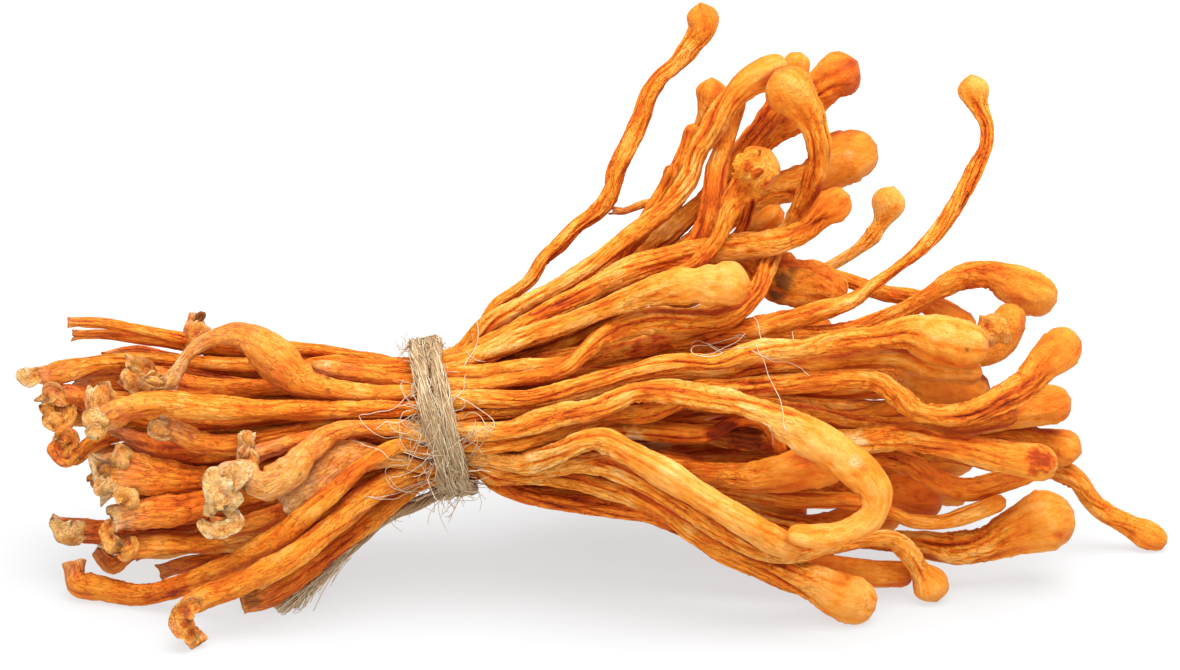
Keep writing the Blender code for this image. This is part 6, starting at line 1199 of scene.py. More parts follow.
# %% Leaves and knobs: cup, flatness, tone, cream and dark shares, then points (right, down, out, half)
LOBES = {
    "long_elbow": [
        (0.0, 1.0, 0.64, 0.5, 0, [(197, 344, 1.8, 1.2), (197, 336, 2.4, 1.55), (196, 327, 2.4, 1.6),
            (197, 320, 2.2, 1.25)]),
        (0.2, 0.5, 0.4, 0.2, 0.6, [(197, 322, 3.3, 0.4), (200, 317, 3.0, 0.5), (204, 313, 2.6, 0.35)])],
    "high_loop": [
        (0.0, 0.8, 0.68, 0.6, 0, [(167, 385, 0.3, 0.5), (171, 381, 0.5, 0.8), (175, 376, 0.3, 0.5)]),
        (0.1, 0.7, 0.68, 0.7, 0, [(162, 385, 0.4, 0.4), (153, 382, 0.8, 0.7), (146, 378, 0.8, 0.45)])],
    "folded_head": [
        (0.3, 0.3, 0.61, 0.5, 0.05, [(140, 385, 0.6, 1.1), (131, 376, 1.5, 1.3), (127, 367, 1.4, 0.8)]),
        (0.3, 0.3, 0.66, 0.7, 0, [(145, 390, 0.8, 0.9), (151, 383, 1.7, 1.2), (162, 377, 1.4, 0.9)]),
        (0.4, 0.3, 0.56, 0.3, 0.05, [(150, 376, 0.4, 0.8), (142, 365, 1.2, 0.9), (131, 362, 1.0, 0.6)]),
        (0.35, 0.22, 0.55, 0.0, 0, [(744, 193, 0.6, 0.9), (751, 181, 1.9, 1.9), (756, 166, 2.3, 2.2),
            (761, 151, 1.9, 1.7)]),
        (0.2, 0.8, 0.62, 0.0, 0, [(745, 178, 2.4, 0.4), (755, 174, 3.1, 0.5), (764, 170, 2.9, 0.35)])],
    "drop": [
        (0.6, 0.2, 0.56, 0.25, 0.12, [(199, 603, 0.9, 0.7), (187, 609, 1.5, 1.0), (181, 620, 1.7, 1.2),
            (188, 631, 1.7, 1.2), (197, 640, 1.4, 0.9)])],
    "horned": [
        (0.45, 0.28, 0.66, 0.55, 0, [(111, 413, 0.8, 0.8), (107, 402, 1.3, 1.35), (103, 391, 1.5, 1.3),
            (99, 384, 1.2, 0.7)])],
    "long_upper": [
        (0.3, 0.35, 0.72, 0.8, 0, [(101, 425, 1.0, 1.0), (92, 417, 1.3, 1.25), (84, 410, 1.0, 0.75)]),
        (0.3, 0.35, 0.72, 0.8, 0, [(101, 431, 1.2, 0.9), (94, 431, 1.5, 1.0), (88, 438, 1.2, 0.65)])],
    "front_club": [
        (0.35, 0.4, 0.68, 0.9, 0, [(34, 377, 0.6, 0.9), (28, 379, 1.0, 0.9), (22, 375, 1.0, 0.6),
            (23, 369, 0.7, 0.4)])],
    "speckled": [
        (0.0, 0.9, 0.6, 0.12, 0, [(982, 347, 0.0, 1.5), (991, 336, 0.2, 2.0), (999, 325, 0.3, 2.2),
            (1004, 314, 0.2, 1.8)]),
        (0.3, 0.3, 0.56, 0.3, 0.15, [(54, 412, 0.6, 0.8), (45, 408, 0.9, 0.8), (39, 405, 0.9, 0.4)]),
        (0.3, 0.3, 0.56, 0.6, 0, [(61, 397, 0.8, 1.0), (51, 391, 1.1, 1.1), (46, 399, 1.0, 0.6)]),
        (0.2, 0.4, 0.66, 0.3, 0, [(66, 424, 0.6, 1.0), (54, 421, 0.8, 1.1), (43, 415, 0.6, 0.7)])],
    "pale_rear": [
        (0.3, 0.35, 0.51, 0.2, 0, [(76, 453, 0.4, 1.0), (66, 458, 0.9, 1.3), (58, 450, 0.9, 1.1),
            (57, 440, 0.8, 0.8)]),
        (0.3, 0.35, 0.46, 0.2, 0.1, [(72, 441, 0.7, 0.9), (64, 436, 1.0, 1.1), (58, 440, 0.9, 0.6)])],
    "rough_end": [
        (0.3, 0.3, 0.66, 0.7, 0, [(119, 464, 1.6, 1.0), (124, 455, 2.0, 1.2), (132, 449, 2.0, 0.8)]),
        (0.3, 0.3, 0.51, 0.7, 0.35, [(112, 471, 1.6, 1.0), (105, 467, 2.1, 1.0), (99, 474, 1.8, 0.6)]),
        (0.3, 0.3, 0.66, 0.8, 0.1, [(110, 482, 1.8, 1.0), (103, 487, 2.1, 1.1), (106, 495, 1.8, 0.8)]),
        (0.2, 0.4, 0.61, 0.4, 0, [(122, 492, 1.6, 1.1), (129, 499, 1.8, 1.0), (122, 504, 1.4, 0.6)])],
    "long_lower": [
        (0.1, 0.75, 0.56, 0.95, 0, [(164, 431, 0.8, 1.2), (156, 428, 1.0, 1.35), (148, 424, 1.0, 1.0)])],
    "torn_edge": [
        (0.3, 0.4, 0.66, 0.6, 0, [(250, 446, 0.8, 0.6), (248, 438, 1.1, 0.8), (245, 430, 1.0, 0.45)]),
        (0.0, 0.9, 0.56, 1.0, 0, [(246, 448, 1.2, 0.5), (243, 453, 1.5, 0.7), (240, 457, 1.4, 0.55)]),
        (0.3, 0.4, 0.61, 0.7, 0, [(250, 454, 1.2, 0.7), (253, 461, 1.4, 0.8), (250, 468, 1.2, 0.45)])],
    "strap_loop": [
        (0.3, 0.4, 0.76, 1.2, 0, [(232, 500, 1.4, 1.4), (222, 491, 2.0, 1.7), (214, 479, 2.1, 1.3),
            (218, 467, 1.8, 0.9)]),
        (0.3, 0.4, 0.71, 1.0, 0, [(231, 482, 1.8, 1.2), (239, 472, 2.0, 1.3), (234, 463, 1.8, 0.8)]),
        (0.3, 0.4, 0.71, 1.2, 0, [(219, 500, 1.8, 1.1), (211, 507, 2.0, 1.0), (213, 516, 1.8, 0.6)]),
        (0.3, 0.5, 0.71, 1.2, 0, [(237, 524, 1.0, 0.9), (226, 529, 1.5, 1.0), (213, 531, 1.6, 0.9),
            (204, 525, 1.6, 0.7), (201, 519, 1.4, 0.4)])],
    "twin_club": [
        (0.4, 0.35, 0.61, 0.4, 0, [(119, 549, 1.4, 0.9), (111, 541, 2.0, 1.0), (107, 529, 2.0, 0.9),
            (112, 519, 1.8, 0.6)]),
        (0.4, 0.35, 0.56, 0.3, 0, [(126, 553, 1.6, 0.9), (133, 546, 2.0, 0.9), (131, 536, 1.8, 0.5)])],
    "reddish": [
        (0.3, 0.35, 0.68, 0.8, 0, [(82, 531, 0.6, 1.1), (69, 533, 0.9, 1.3), (59, 527, 0.9, 0.9),
            (51, 520, 0.7, 0.4)])],
}
LEAF_STEP, LEAF_AROUND = 0.14, 28


def leaf(path, cup, flat, points, seed):
    """Rows of a leaf: (w cos a, flat w sin a + cup w cos^2 a) across its line, with crinkled edges."""
    first = (points[0][0] / TENTHS, points[0][1] / TENTHS, 0, 1)
    aim = view_to_model(picture_to_view([first]))[0, :3]
    apart = path.middle - aim
    apart = apart - (apart @ BACK)[:, None] * BACK
    start = np.clip(np.argmin(np.linalg.norm(apart, axis=1)), 3, path.count - 4)
    base = path.middle[start]
    deep = (base - PICTURE_MIDDLE) @ BACK
    knots = [(x / TENTHS, y / TENTHS, deep + forward, wide) for x, y, forward, wide in points]
    knots = view_to_model(picture_to_view(knots))
    line = smooth_curve(np.vstack([np.append(base, 0.7 * knots[0, 3]), knots]), LEAF_STEP)
    s = along(line[:, :3])
    left = s[-1] - s
    tangent = unit(np.gradient(line[:, :3], axis=0))
    across = unit(np.cross(tangent, BACK))
    front = np.cross(across, tangent)
    front = front * np.sign(front @ BACK)[:, None]
    big = line[-1, 3]
    half = line[:, 3] * np.sqrt(np.clip(1 - (1 - left / big) ** 2 * (left < big), 0.01, 1))
    turn = turns(LEAF_AROUND)[None]
    place = np.stack([1.6 * np.cos(turn) + 0 * s[:, None], 1.6 * np.sin(turn) * flat + 0 * s[:, None],
                      0 * turn + s[:, None] * 0.9], axis=-1)
    edge = 0.34 * noise(place * [0.9, 0.5, 1.3], seed) + 0.22 * noise(place * [2.4, 1, 2.6], seed + 1)
    edge = 0.88 + (1 - 0.7 * flat) * edge
    wide = half[:, None] * np.cos(turn) * edge
    rise = half[:, None] * (flat * np.sin(turn) * edge + cup * np.cos(turn) ** 2)
    pleat = 1 - 2 * np.abs(noise(place * [2.2, 0, 0.7] + 4, seed + 4))
    rise = rise + 0.26 * noise(place * [1.3, 0, 1.4] + 9, seed + 2) + 0.10 * pleat
    rise = rise + 0.06 * noise(place * [3.1, 0, 3.6], seed + 3)
    rows = line[:, None, :3] + across[:, None] * wide[..., None] + front[:, None] * rise[..., None]
    # crease: painted shade in the leaf's folds
    crease = np.clip(-0.9 * noise(place * [1.3, 0, 1.4] + 9, seed + 2) - 0.5 * pleat, 0, 1)
    rim = np.abs(np.cos(turn)) ** 3 + ramp(0.8, 0.1, left / big)[:, None]
    return rows[::-1], crease[::-1], place[::-1], np.clip(rim, 0, 1)[::-1]


def make_lobes(stalk, number):
    """All the lobes of one base as closed pieces with their shares for colour."""
    made = []
    for k, (cup, flat, tone, cream, dark, points) in enumerate(LOBES[stalk]):
        rows, crease, place, rim = leaf(paths[stalk], cup, flat, points, 900 + 40 * number + 5 * k)
        none = 0 * crease
        shares = {"crease": crease, "ridge_highlight": 0.5 * (1 - crease), "head": none, "tone": tone + none,
                  "cream": cream * (0.35 + 0.65 * rim), "dark": dark + none, "speckle": none,
                  "grainy": 0.6 + none, "shade_between_stalks": none}
        ends = (rows[0].mean(axis=0), rows[-1].mean(axis=0))
        grain = np.vstack([place.reshape(-1, 3), place[0].mean(axis=0), place[-1].mean(axis=0)])
        made.append(skin_piece(f"lobe_{stalk}_{k + 1}", stalk, rows, ends, shares, grain))
    return made


lobes = [piece for number, stalk in enumerate(sorted(LOBES)) for piece in make_lobes(stalk, number)]
print("lobes", len(lobes))

# %% [markdown]
# ## What the eye sees at a place of the picture
# Marks and loose hairs are known by where they stand in the picture. A ray from the camera through that
# place meets the skins, and the nearest meeting is where the mark or the hair lies in the model.


# %% Rays into the bunch
class Sight:
    """Meets the finished pieces along the camera's rays; places are tenths of a mm from the top left."""

    def __init__(self, pieces):
        graph = bpy.context.evaluated_depsgraph_get()
        self.trees = [(piece, BVHTree.FromObject(piece, graph)) for piece in pieces]

    def ray(self, x, y):
        """The direction from the eye to a place in the picture's plane."""
        right, up = x / TENTHS - PICTURE_W / 2, PICTURE_H / 2 - y / TENTHS
        aim = PICTURE_MIDDLE + np.array([right, 0, 0]) + up * UPWARDS - EYE
        return aim / np.linalg.norm(aim)

    def look(self, x, y):
        """The nearest meeting: distance and place in millimetres, and the piece, or None."""
        ray = self.ray(x, y)
        best = None
        for piece, tree in self.trees:
            where, _, _, far = tree.ray_cast(Vector(EYE * MM), Vector(ray))
            if where is not None and (best is None or far < best[0]):
                best = (far, np.array(where) / MM, piece)
        return None if best is None else (best[0] / MM, best[1], best[2])


sight = Sight(stalks + lobes)

# %% [markdown]
# ## Marks
# A few spots get their own colour. Dark marks are painted shade in base hollows, folds and gaps; crease
# marks paint darker red in folds and gaps, and on the rough red face of one head, which also gets specks,
# as does a club. Cream marks are pale crust on a base, and two on heads are painted highlight, as are the
# tone marks. Each one raises a stored share near its place, with a ragged edge from noise.

# %% Put the marks on the skins: the share, its place right and down, its reach in mm and its strength
# dark and crease: painted shade in hollows, folds and gaps; tone, and cream at 858,462 and 850,155: painted
# highlight
MARKS = [("dark", 783, 281, 1.3, 0.8), ("dark", 775, 296, 1.1, 0.85), ("dark", 793, 270, 0.8, 0.6),
         ("crease", 757, 172, 0.9, 1.0), ("crease", 748, 166, 0.8, 0.8), ("cream", 858, 462, 1.0, 0.55),
         ("dark", 968, 350, 0.28, 0.8), ("dark", 328, 378, 0.35, 0.7), ("cream", 328, 362, 0.6, 1.0),
         ("dark", 328, 391, 0.3, 0.7), ("cream", 850, 155, 0.7, 0.3), ("crease", 1040, 460, 1.7, 1.0),
         ("speckle", 1040, 460, 1.9, 0.7), ("speckle", 868, 604, 0.8, 0.3), ("dark", 120, 543, 0.8, 0.7),
         ("crease", 185, 612, 0.8, 1.0), ("crease", 187, 622, 0.8, 1.0), ("crease", 192, 631, 0.7, 0.8),
         ("crease", 1034, 470, 0.9, 0.8), ("dark", 224, 508, 1.1, 0.8), ("dark", 226, 517, 0.8, 0.7),
         ("dark", 200, 316, 0.75, 0.75), ("dark", 250, 600, 1.2, 0.55), ("dark", 300, 476, 0.35, 0.6),
         ("crease", 745, 440, 2.6, 1.0), ("crease", 722, 431, 2.2, 1.0), ("crease", 762, 448, 2.0, 1.0),
         ("dark", 750, 440, 2.2, 0.45), ("dark", 728, 433, 1.8, 0.4), ("crease", 660, 348, 2.0, 1.0),
         ("crease", 640, 352, 1.8, 1.0), ("tone", 652, 448, 2.6, 0.95), ("tone", 632, 438, 1.6, 0.9),
         ("tone", 855, 440, 1.8, 0.85)]


def mark(kind, x, y, reach, strength):
    """Raises a share near one place: strength inside, fading to nothing at reach, times some noise."""
    seen = sight.look(x, y)
    if seen is None:
        return 0
    _, where, piece = seen
    mesh = piece.data
    corners = corners_of(mesh) / MM
    far = np.linalg.norm(corners - where, axis=1) + 0.35 * reach * noise(corners * 2.2, 5)
    stored = np.zeros(len(corners), np.float32)
    mesh.attributes[kind].data.foreach_get("value", stored)
    raised = np.maximum(stored, strength * (1 - ramp(0.45 * reach, reach, far)))
    mesh.attributes[kind].data.foreach_set("value", raised.astype(np.float32))
    return int((raised > stored).sum())


print("points marked", [mark(*row) for row in MARKS])

# %% [markdown]
# ## Thin tubes, many at once
# Jute is a bundle of fibres. A fibre is a line with a small ring carried along it, and all fibres of a
# piece are made together: their lines are one array of (fibre, step, 3).


# %% Tubes along many lines
JUTE_TONES = [(0.0, (0.13, 0.065, 0.024)), (0.35, (0.29, 0.17, 0.078)), (0.7, (0.52, 0.36, 0.20)),
              (1.0, (0.82, 0.68, 0.48))]


def tubes(name, lines, radius, sides, shade):
    """Rings of a few corners along each line, kept square to it, with a flat lid at both ends."""
    count, n, _ = lines.shape
    tangent = unit(np.gradient(lines, axis=1))
    side = unit(np.cross(tangent[:, 0], [0.31, 0.52, 0.79]))
    across = [side]
    for k in range(1, n):
        side = unit(side - tangent[:, k] * np.einsum("fi,fi->f", tangent[:, k], side)[:, None])
        across.append(side)
    one = np.stack(across, axis=1)
    two = np.cross(tangent, one)
    turn = 2 * math.pi * np.arange(sides) / sides
    size = np.broadcast_to(radius, (count, n))[..., None, None]
    rings = one[:, :, None] * np.cos(turn)[:, None] + two[:, :, None] * np.sin(turn)[:, None]
    corners = lines[:, :, None] + size * rings
    col = np.arange(sides)
    first = (np.arange(count)[:, None, None] * n + np.arange(n - 1)[:, None]) * sides
    here, after = first + col, first + (col + 1) % sides
    quads = np.stack([here, after, after + sides, here + sides], axis=-1).reshape(-1, 4)
    start = np.arange(count)[:, None] * n * sides + col[::-1]
    end = np.arange(count)[:, None] * n * sides + (n - 1) * sides + col
    flat = corners.reshape(-1, 3)
    flat[:, 2] = np.maximum(flat[:, 2], 0.02)
    mesh = build_mesh(name, flat, quads, start, end)
    give(mesh, "shade", np.repeat(shade, n * sides))
    length = np.linspace(0, 1, n)[None, :, None] + np.arange(count)[:, None, None] * 3.1
    give(mesh, "run", np.broadcast_to(length, (count, n, sides)).ravel())
    return mesh


def jute_material():
    """Beige to tan by fibre, darker by noise along each one, dull and a little see-through."""
    n = Nodes("jute")
    run = n.share("run")
    slip = n.add("ShaderNodeCombineXYZ", X=n.times(run, 60.0), Y=n.times(run, 0.3))
    blot = n.grain(slip.outputs["Vector"], 0.7, 2.0)
    tone = n.total(n.share("shade"), n.swing(blot, 0.7), clamp=True)
    bump = n.add("ShaderNodeBump", Height=n.grain(slip.outputs["Vector"], 4.0, 3.0), Strength=0.5,
                 Distance=0.00005)
    n.fill(n.shader, Base_Color=n.ramp(tone, JUTE_TONES), Roughness=0.75, Subsurface_Weight=0.08,
           Subsurface_Scale=0.0003, Specular_IOR_Level=0.25, Normal=bump.outputs["Normal"])
    return n.material


JUTE = jute_material()


def jute_piece(name, lines, radius, sides, shade):
    """Tubes of jute as one piece that stands for the twine."""
    mesh = tubes(name, lines, radius, sides, shade)
    mesh.materials.append(JUTE)
    piece = placed(name, mesh)
    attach(piece, "root")
    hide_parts("twine")
    return piece


# %% [markdown]
# ## The twine
# The twine is two loose plies laid round each other, each of 44 fibres over a darker core.
# Its path comes from the CAD model's rings, which also say which way its flat side faces. Near its free
# end, at the bottom left, the plies open and the fibres part.

# %% Path, plies and fibres
TWINE_LAY, PLIES, FIBRES, FIBRE_STEPS = 15.0, 2, 44, 300
FIBRE_RADIUS, CORE_RADIUS = 0.052, 0.30
twine_rings, _ = rings_of(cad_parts["twine"], TWINE_SIDES)
twine_wide = np.linalg.eigh(ovals_of(twine_rings))[1][:, :, -1]
for k in range(1, len(twine_wide)):
    if twine_wide[k] @ twine_wide[k - 1] < 0:
        twine_wide[k] *= -1
twine_sizes = np.sqrt(np.linalg.eigvalsh(ovals_of(twine_rings)))
twine = smooth_curve(np.column_stack([twine_rings.mean(axis=1), twine_wide, twine_sizes[:, 1:]]), 0.4)
twine_s = along(twine[:, :3])
twine_length = twine_s[-1]
twine_tangent = unit(np.gradient(twine[:, :3], axis=0))
leaning = np.einsum("ni,ni->n", twine[:, 3:6], twine_tangent)[:, None]
twine_flat = unit(twine[:, 3:6] - twine_tangent * leaning)
twine_side = np.cross(twine_tangent, twine_flat)
twine_halves = twine[:, 6:]
print("twine mm", round(twine_length, 1), "half sizes", twine_halves.min(axis=0).round(2), "to",
      twine_halves.max(axis=0).round(2))


def on_twine(s, wide, deep):
    """Places at distances s along the twine, with offsets in its own half sizes, wide and deep."""
    columns = np.column_stack([twine[:, :3], twine_flat, twine_side, twine_halves])
    read = np.stack([np.interp(s, twine_s, column) for column in columns.T], axis=-1)
    middle, flat, side = read[..., :3], read[..., 3:6], read[..., 6:9]
    thin, broad = read[..., 9], read[..., 10]
    return middle + flat * (wide * broad)[..., None] + side * (deep * thin)[..., None]


def fibre_lines(ply, count, rho_low, rho_high, seed):
    """Fibres of one ply: its middle circles the twine once a lay, and they circle it the other way."""
    pick = np.random.RandomState(seed)
    start = pick.uniform(0, 2.2, count)[:, None]
    stop = twine_length - pick.uniform(0, 1.6, count)[:, None]
    s = start + (stop - start) * np.linspace(0, 1, FIBRE_STEPS)
    turn = 2 * math.pi * (s / TWINE_LAY + ply / PLIES)
    wave = np.stack([s / 5, np.arange(count)[:, None] * 7.7 + 0 * s, 0 * s + ply], axis=-1)
    angle = 2 * math.pi * (np.arange(count) / count)[:, None] - 1.3 * turn + 0.9 * noise(wave, seed)
    rho = rho_low + (rho_high - rho_low) * (0.5 + 0.5 * noise(wave * [2, 1, 1] + 5, seed + 1))
    loose = 1 + 1.3 * np.clip(1 - s / 5, 0, 1) ** 2 + 0.35 * np.clip(1 - (twine_length - s) / 4, 0, 1)
    wide = (0.46 * np.cos(turn) + 0.56 * rho * np.cos(angle)) * loose
    deep = (0.22 * np.sin(turn) + 0.78 * rho * np.sin(angle)) * loose
    return on_twine(s, wide, deep)


picker = np.random.RandomState(77)
for ply in range(PLIES):
    outer = fibre_lines(ply, FIBRES, 0.86, 1.16, 500 + ply)
    radius = FIBRE_RADIUS + 0.016 * picker.uniform(-1, 1, FIBRES)[:, None]
    jute_piece(f"twine_fibres_{ply + 1}", outer, radius, 4, picker.uniform(0.35, 0.82, FIBRES))
core = np.concatenate([fibre_lines(ply, 3, 0.34, 0.42, 520 + ply) for ply in range(PLIES)])
jute_piece("twine_core", core, CORE_RADIUS, 8, np.full(len(core), 0.35))

# %% [markdown]
# ## Frizz
# Jute sheds: short stiff hairs stand off the twine on both sides, and the cut end is a brush of them.
# Each hair starts on the twine and turns a little at every step, by seeded random amounts.


# %% Hairs that leave the twine
FRIZZ, BRUSH = 560, 420


def wisps(roots, ways, lengths, steps, curl, seed):
    """Lines that start at roots along ways: each step adds curl times a random turn to the last way."""
    pick = np.random.RandomState(seed)
    way, place = unit(ways), roots
    bend = unit(pick.normal(size=way.shape))
    line = [place]
    for _ in range(steps):
        way = unit(way + curl * (0.8 * bend + 0.6 * pick.normal(size=way.shape)))
        place = place + way * (lengths / steps)[:, None]
        line.append(place)
    return np.stack(line, axis=1)


TIE_MIDDLE = view_to_model(np.array([[TIE_X - PICTURE_W / 2, PICTURE_H / 2 - TIE_Y, 0.0, 1.0]]))[0, :3]
s = picker.uniform(12, twine_length, FRIZZ)
none = 0 * s
edge = picker.choice([-1.0, 1.0], FRIZZ)
roots = on_twine(s, 0.85 * edge, picker.uniform(-0.6, 0.6, FRIZZ))
out = unit(on_twine(s, none, none) - TIE_MIDDLE)
flat_way = unit(on_twine(s, none + 1, none) - on_twine(s, none, none)) * edge[:, None]
run_way = unit(on_twine(np.minimum(s + 0.3, twine_length), none, none) - on_twine(s - 0.3, none, none))
ways = flat_way * picker.uniform(0.1, 1.0, (FRIZZ, 1)) + out * picker.uniform(0.15, 0.55, (FRIZZ, 1))
ways = ways + run_way * picker.uniform(-1.0, 1.0, (FRIZZ, 1))
lengths = (0.7 + 4.6 * picker.uniform(0, 1, FRIZZ) ** 2.0) * np.where(ways[:, 0] < 0, 1.15, 0.7)
lengths = lengths * (1 - 0.75 * ramp(0.3, 0.9, out[:, 2]))
frizz = wisps(roots, ways, lengths, 9, 0.30, 601)
jute_piece("twine_frizz", frizz, 0.034, 3, picker.uniform(0.6, 1.0, FRIZZ))

s = picker.uniform(0.1, 9.5, BRUSH)
wide, deep = 1.5 * picker.uniform(-1, 1, BRUSH), picker.uniform(-0.9, 0.9, BRUSH)
roots = on_twine(s, wide, deep)
tail_way = unit(roots - on_twine(s + 0.8, wide, deep)) + 0.08 * picker.normal(size=(BRUSH, 3))
brush = wisps(roots, tail_way, np.minimum(s + 1.0, picker.uniform(1.5, 6.0, BRUSH)), 8, 0.06, 603)
jute_piece("twine_brush", brush, 0.05, 3, picker.uniform(0.7, 1.0, BRUSH))
print("frizz", FRIZZ, "brush", BRUSH)

# %% [markdown]
# ## Strays between the turns
# The turns of the twine have rubbed together, and some fibres leave one turn and join the next. Such a
# fibre is a blend of two lines along the twine, one turn apart, with a slow change of share.

# %% Fibres that go over from turn to turn
STRAYS, TURN_LENGTH, NEXT_TURN = 150, 30, 5.5
s = picker.uniform(8, twine_length - 16, STRAYS)
away = np.linalg.norm(on_twine(s, 0 * s, 0 * s)[:, None] - twine[None, :, :3], axis=2)
away = away + 99 * (np.abs(s[:, None] - twine_s) < TURN_LENGTH)
other, near = twine_s[np.argmin(away, axis=1)], away.min(axis=1) < NEXT_TURN
t = np.linspace(0, 1, 26)
run = picker.uniform(7, 15, (STRAYS, 1)) * t
wide = picker.uniform(-0.9, 0.9, (STRAYS, 1)) + 0 * run
share = ramp(0.15, 0.85, t)[None, :, None]
first = on_twine(s[:, None] + run, wide, 0 * run)
second = on_twine(np.minimum(other[:, None] + run, twine_length), wide[::-1], 0 * run)
stray = first * (1 - share) + second * share
rise = np.interp(s, twine_s, twine[:, 6])[:, None] * picker.uniform(0.55, 0.95, (STRAYS, 1))
rise = rise + 0.15 * np.sin(3 * math.pi * t)
stray = stray + unit(stray - TIE_MIDDLE) * rise[..., None]
jute_piece("twine_strays", stray[near], 0.052, 4, picker.uniform(0.45, 0.9, int(near.sum())))
print("fibres between turns", int(near.sum()))

# %% [markdown]
# ## Loose hairs
# Long single hairs from the twine lie over the stalks. Each is a string pulled taut: it starts on the
# surfaces behind it, as seen along the camera's rays, and may only move towards the eye as it tightens.
# The first ones are drawn, and the shorter curls round the tie come from a seed.

# %% Lay the loose hairs
HAIRS = [[(477, 321), (478, 332), (474, 350), (464, 366)],
         [(462, 398), (480, 410), (495, 423), (491, 431), (482, 428)],
         [(464, 418), (472, 413), (480, 416), (488, 428)],
         [(358, 416), (376, 412), (394, 408), (414, 392), (428, 390)],
         [(358, 416), (368, 428), (382, 437), (406, 438), (430, 446)],
         [(349, 440), (362, 444), (380, 450), (394, 460), (410, 458)],
         [(386, 474), (385, 469), (390, 466), (402, 466), (410, 464)],
         [(386, 478), (391, 486), (400, 490), (424, 492)],
         [(366, 498), (384, 496), (402, 491), (416, 486), (442, 479)],
         [(388, 475), (394, 484), (404, 491), (420, 495)],
         [(370, 498), (392, 499), (418, 488), (440, 478)],
         [(398, 345), (412, 352), (424, 366), (440, 380)],
         [(401, 360), (416, 362), (432, 372)], [(404, 334), (416, 342), (430, 344)],
         [(466, 352), (476, 360), (486, 362)], [(468, 440), (478, 446), (484, 456)],
         [(690, 348), (695, 341), (706, 343), (716, 350), (722, 353), (712, 356), (700, 356), (692, 351),
          (694, 346), (708, 345), (722, 341), (736, 337), (744, 339)],
         [(700, 356), (714, 352), (728, 346), (738, 341), (745, 333)],
         [(708, 342), (720, 350), (734, 349), (748, 347)],
         [(735, 336), (742, 335), (747, 340)], [(752, 312), (757, 322), (761, 340)],
         [(756, 344), (764, 362), (772, 384), (780, 400), (784, 424), (785, 436)],
         [(752, 350), (770, 360), (792, 364), (810, 376)], [(792, 330), (793, 340)],
         [(763, 422), (769, 426), (773, 436), (773, 448)]]
TIGHTENINGS, CURLS = 60, 64


def laid(points, lift):
    """A hair over what is behind it: its distance from the eye only shrinks as neighbours are evened."""
    knots = np.array([(x, y, 0, 1) for x, y in points], float)
    places = smooth_curve(knots, 3.0)[:, :2]
    none = 0 * places[:, :1]
    places += np.column_stack([noise(np.column_stack([places / 9, none + k]), 9) for k in (1, 5)])
    seen = [sight.look(x, y) for x, y in places]
    found = np.array([k for k, one in enumerate(seen) if one])
    if len(found) < 3:
        return None
    limit = np.interp(np.arange(len(seen)), found, [seen[k][0] for k in found]) - lift
    far = limit.copy()
    for _ in range(TIGHTENINGS):
        far[1:-1] = np.minimum(limit[1:-1], (far[:-2] + far[2:]) / 2)
    rays = np.array([sight.ray(x, y) for x, y in places])
    return EYE + rays * far[:, None]


made = 0
for number, points in enumerate(HAIRS):
    line = laid(points, 0.07)
    if line is not None:
        jute_piece(f"loose_hair_{number + 1}", line[None], 0.035, 4, np.array([0.95]))
        made += 1


def curl(pick):
    """A drawn curl: from a place on the twine it runs off, mostly to the left, and keeps turning."""
    down = pick.uniform(0.2, 1.0)
    points = [np.array([408 + 52 * down + pick.uniform(-16, 16), 352 + 132 * down])]
    way = pick.choice([pick.uniform(1.9, 4.5), pick.uniform(-1.0, 1.2)], p=[0.72, 0.28])
    turning = 0.30 * pick.normal()
    for _ in range(pick.randint(3, 10)):
        points.append(points[-1] + 7 * np.array([math.cos(way), -math.sin(way)]))
        way += turning + 0.28 * pick.normal()
    return points


picker = np.random.RandomState(88)
curls = []
for _ in range(CURLS):
    line = laid(curl(picker), 0.12)
    if line is not None:
        s = along(line)
        even = np.linspace(0, s[-1], 40)
        curls.append(np.stack([np.interp(even, s, line[:, axis]) for axis in range(3)], axis=-1))
jute_piece("loose_curls", np.stack(curls), 0.036, 3, picker.uniform(0.75, 1.0, len(curls)))
print("loose hairs", made, "curls", len(curls))

# %% [markdown]
# ## Floor and light
# The bunch lies on a white sheet in soft light. A wide lamp overhead makes the soft shadow below, and
# an even white sky fills the rest. The sheet glows a little, more so far away where the lamp is weak, and
# that keeps the shadows light and the ground white up to the picture's edge.

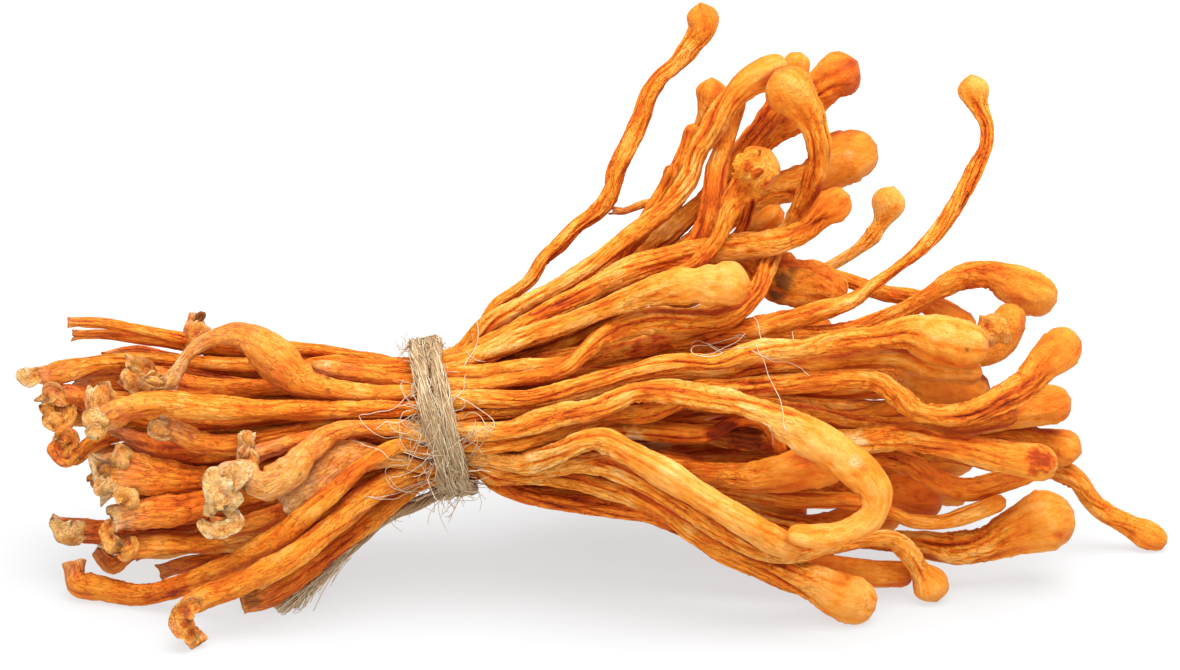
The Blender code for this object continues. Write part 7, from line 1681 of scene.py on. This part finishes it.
# %% Floor, sky and lamps
RING_SIZES = (70.0, 110.0, 170.0, 260.0, 4000.0)
RING_GLOWS = (0.76, 0.92, 0.96, 0.98, 1.00)
MIDDLE_GLOW, RING_STRETCH, FLOOR_SIDES = 0.60, [1.3, 1.0, 1.0], 48
PAPER_GREY, WHITE = (0.165, 0.170, 0.173, 1), (1, 1, 1, 1)
SKY_STRENGTH = 0.62

turn = turns(FLOOR_SIDES)
circle = np.stack([np.cos(turn), np.sin(turn), 0 * turn], axis=-1)
floor_rows = np.array(RING_SIZES)[:, None, None] * circle * RING_STRETCH
column = np.arange(FLOOR_SIDES)
ring_start = np.arange(len(RING_SIZES) - 1)[:, None] * FLOOR_SIDES
inner = (ring_start + column).ravel()
inner_next = (ring_start + (column + 1) % FLOOR_SIDES).ravel()
floor_quads = np.stack([inner, inner + FLOOR_SIDES, inner_next + FLOOR_SIDES, inner_next], axis=-1)
floor_middle = np.stack([np.full(FLOOR_SIDES, len(RING_SIZES) * FLOOR_SIDES), column,
                         (column + 1) % FLOOR_SIDES], axis=-1)
floor_corners = np.vstack([floor_rows.reshape(-1, 3), [[0, 0, 0]]])
floor_mesh = build_mesh("floor", floor_corners, floor_quads, floor_middle)
give(floor_mesh, "glow", np.append(np.repeat(RING_GLOWS, FLOOR_SIDES), MIDDLE_GLOW))
floor = placed("floor", floor_mesh)
paper = Nodes("paper")
paper.fill(paper.shader, Base_Color=PAPER_GREY, Emission_Color=WHITE, Roughness=0.9,
           Emission_Strength=paper.share("glow"), Specular_IOR_Level=0.1)
floor_mesh.materials.append(paper.material)

world = bpy.data.worlds.new("sky")
world.use_nodes = True
world.node_tree.nodes["Background"].inputs["Color"].default_value = WHITE
world.node_tree.nodes["Background"].inputs["Strength"].default_value = SKY_STRENGTH
bpy.context.scene.world = world


def lamp(name, place, aim, size, power):
    """A square area lamp at place, facing aim, in millimetres and watts."""
    data = bpy.data.lights.new(name, "AREA")
    data.size = size * MM
    data.energy = power
    made = placed(name, data)
    made.location = Vector(place) * MM
    made.rotation_euler = (Vector(aim) - Vector(place)).to_track_quat("-Z", "Y").to_euler()


lamp("key", place=(80, -60, 470), aim=(0, 0, 0), size=420, power=4.0)
lamp("fill", place=(-60, -380, 220), aim=(0, 0, 20), size=360, power=0.8)
bpy.context.scene.view_settings.view_transform = "Standard"
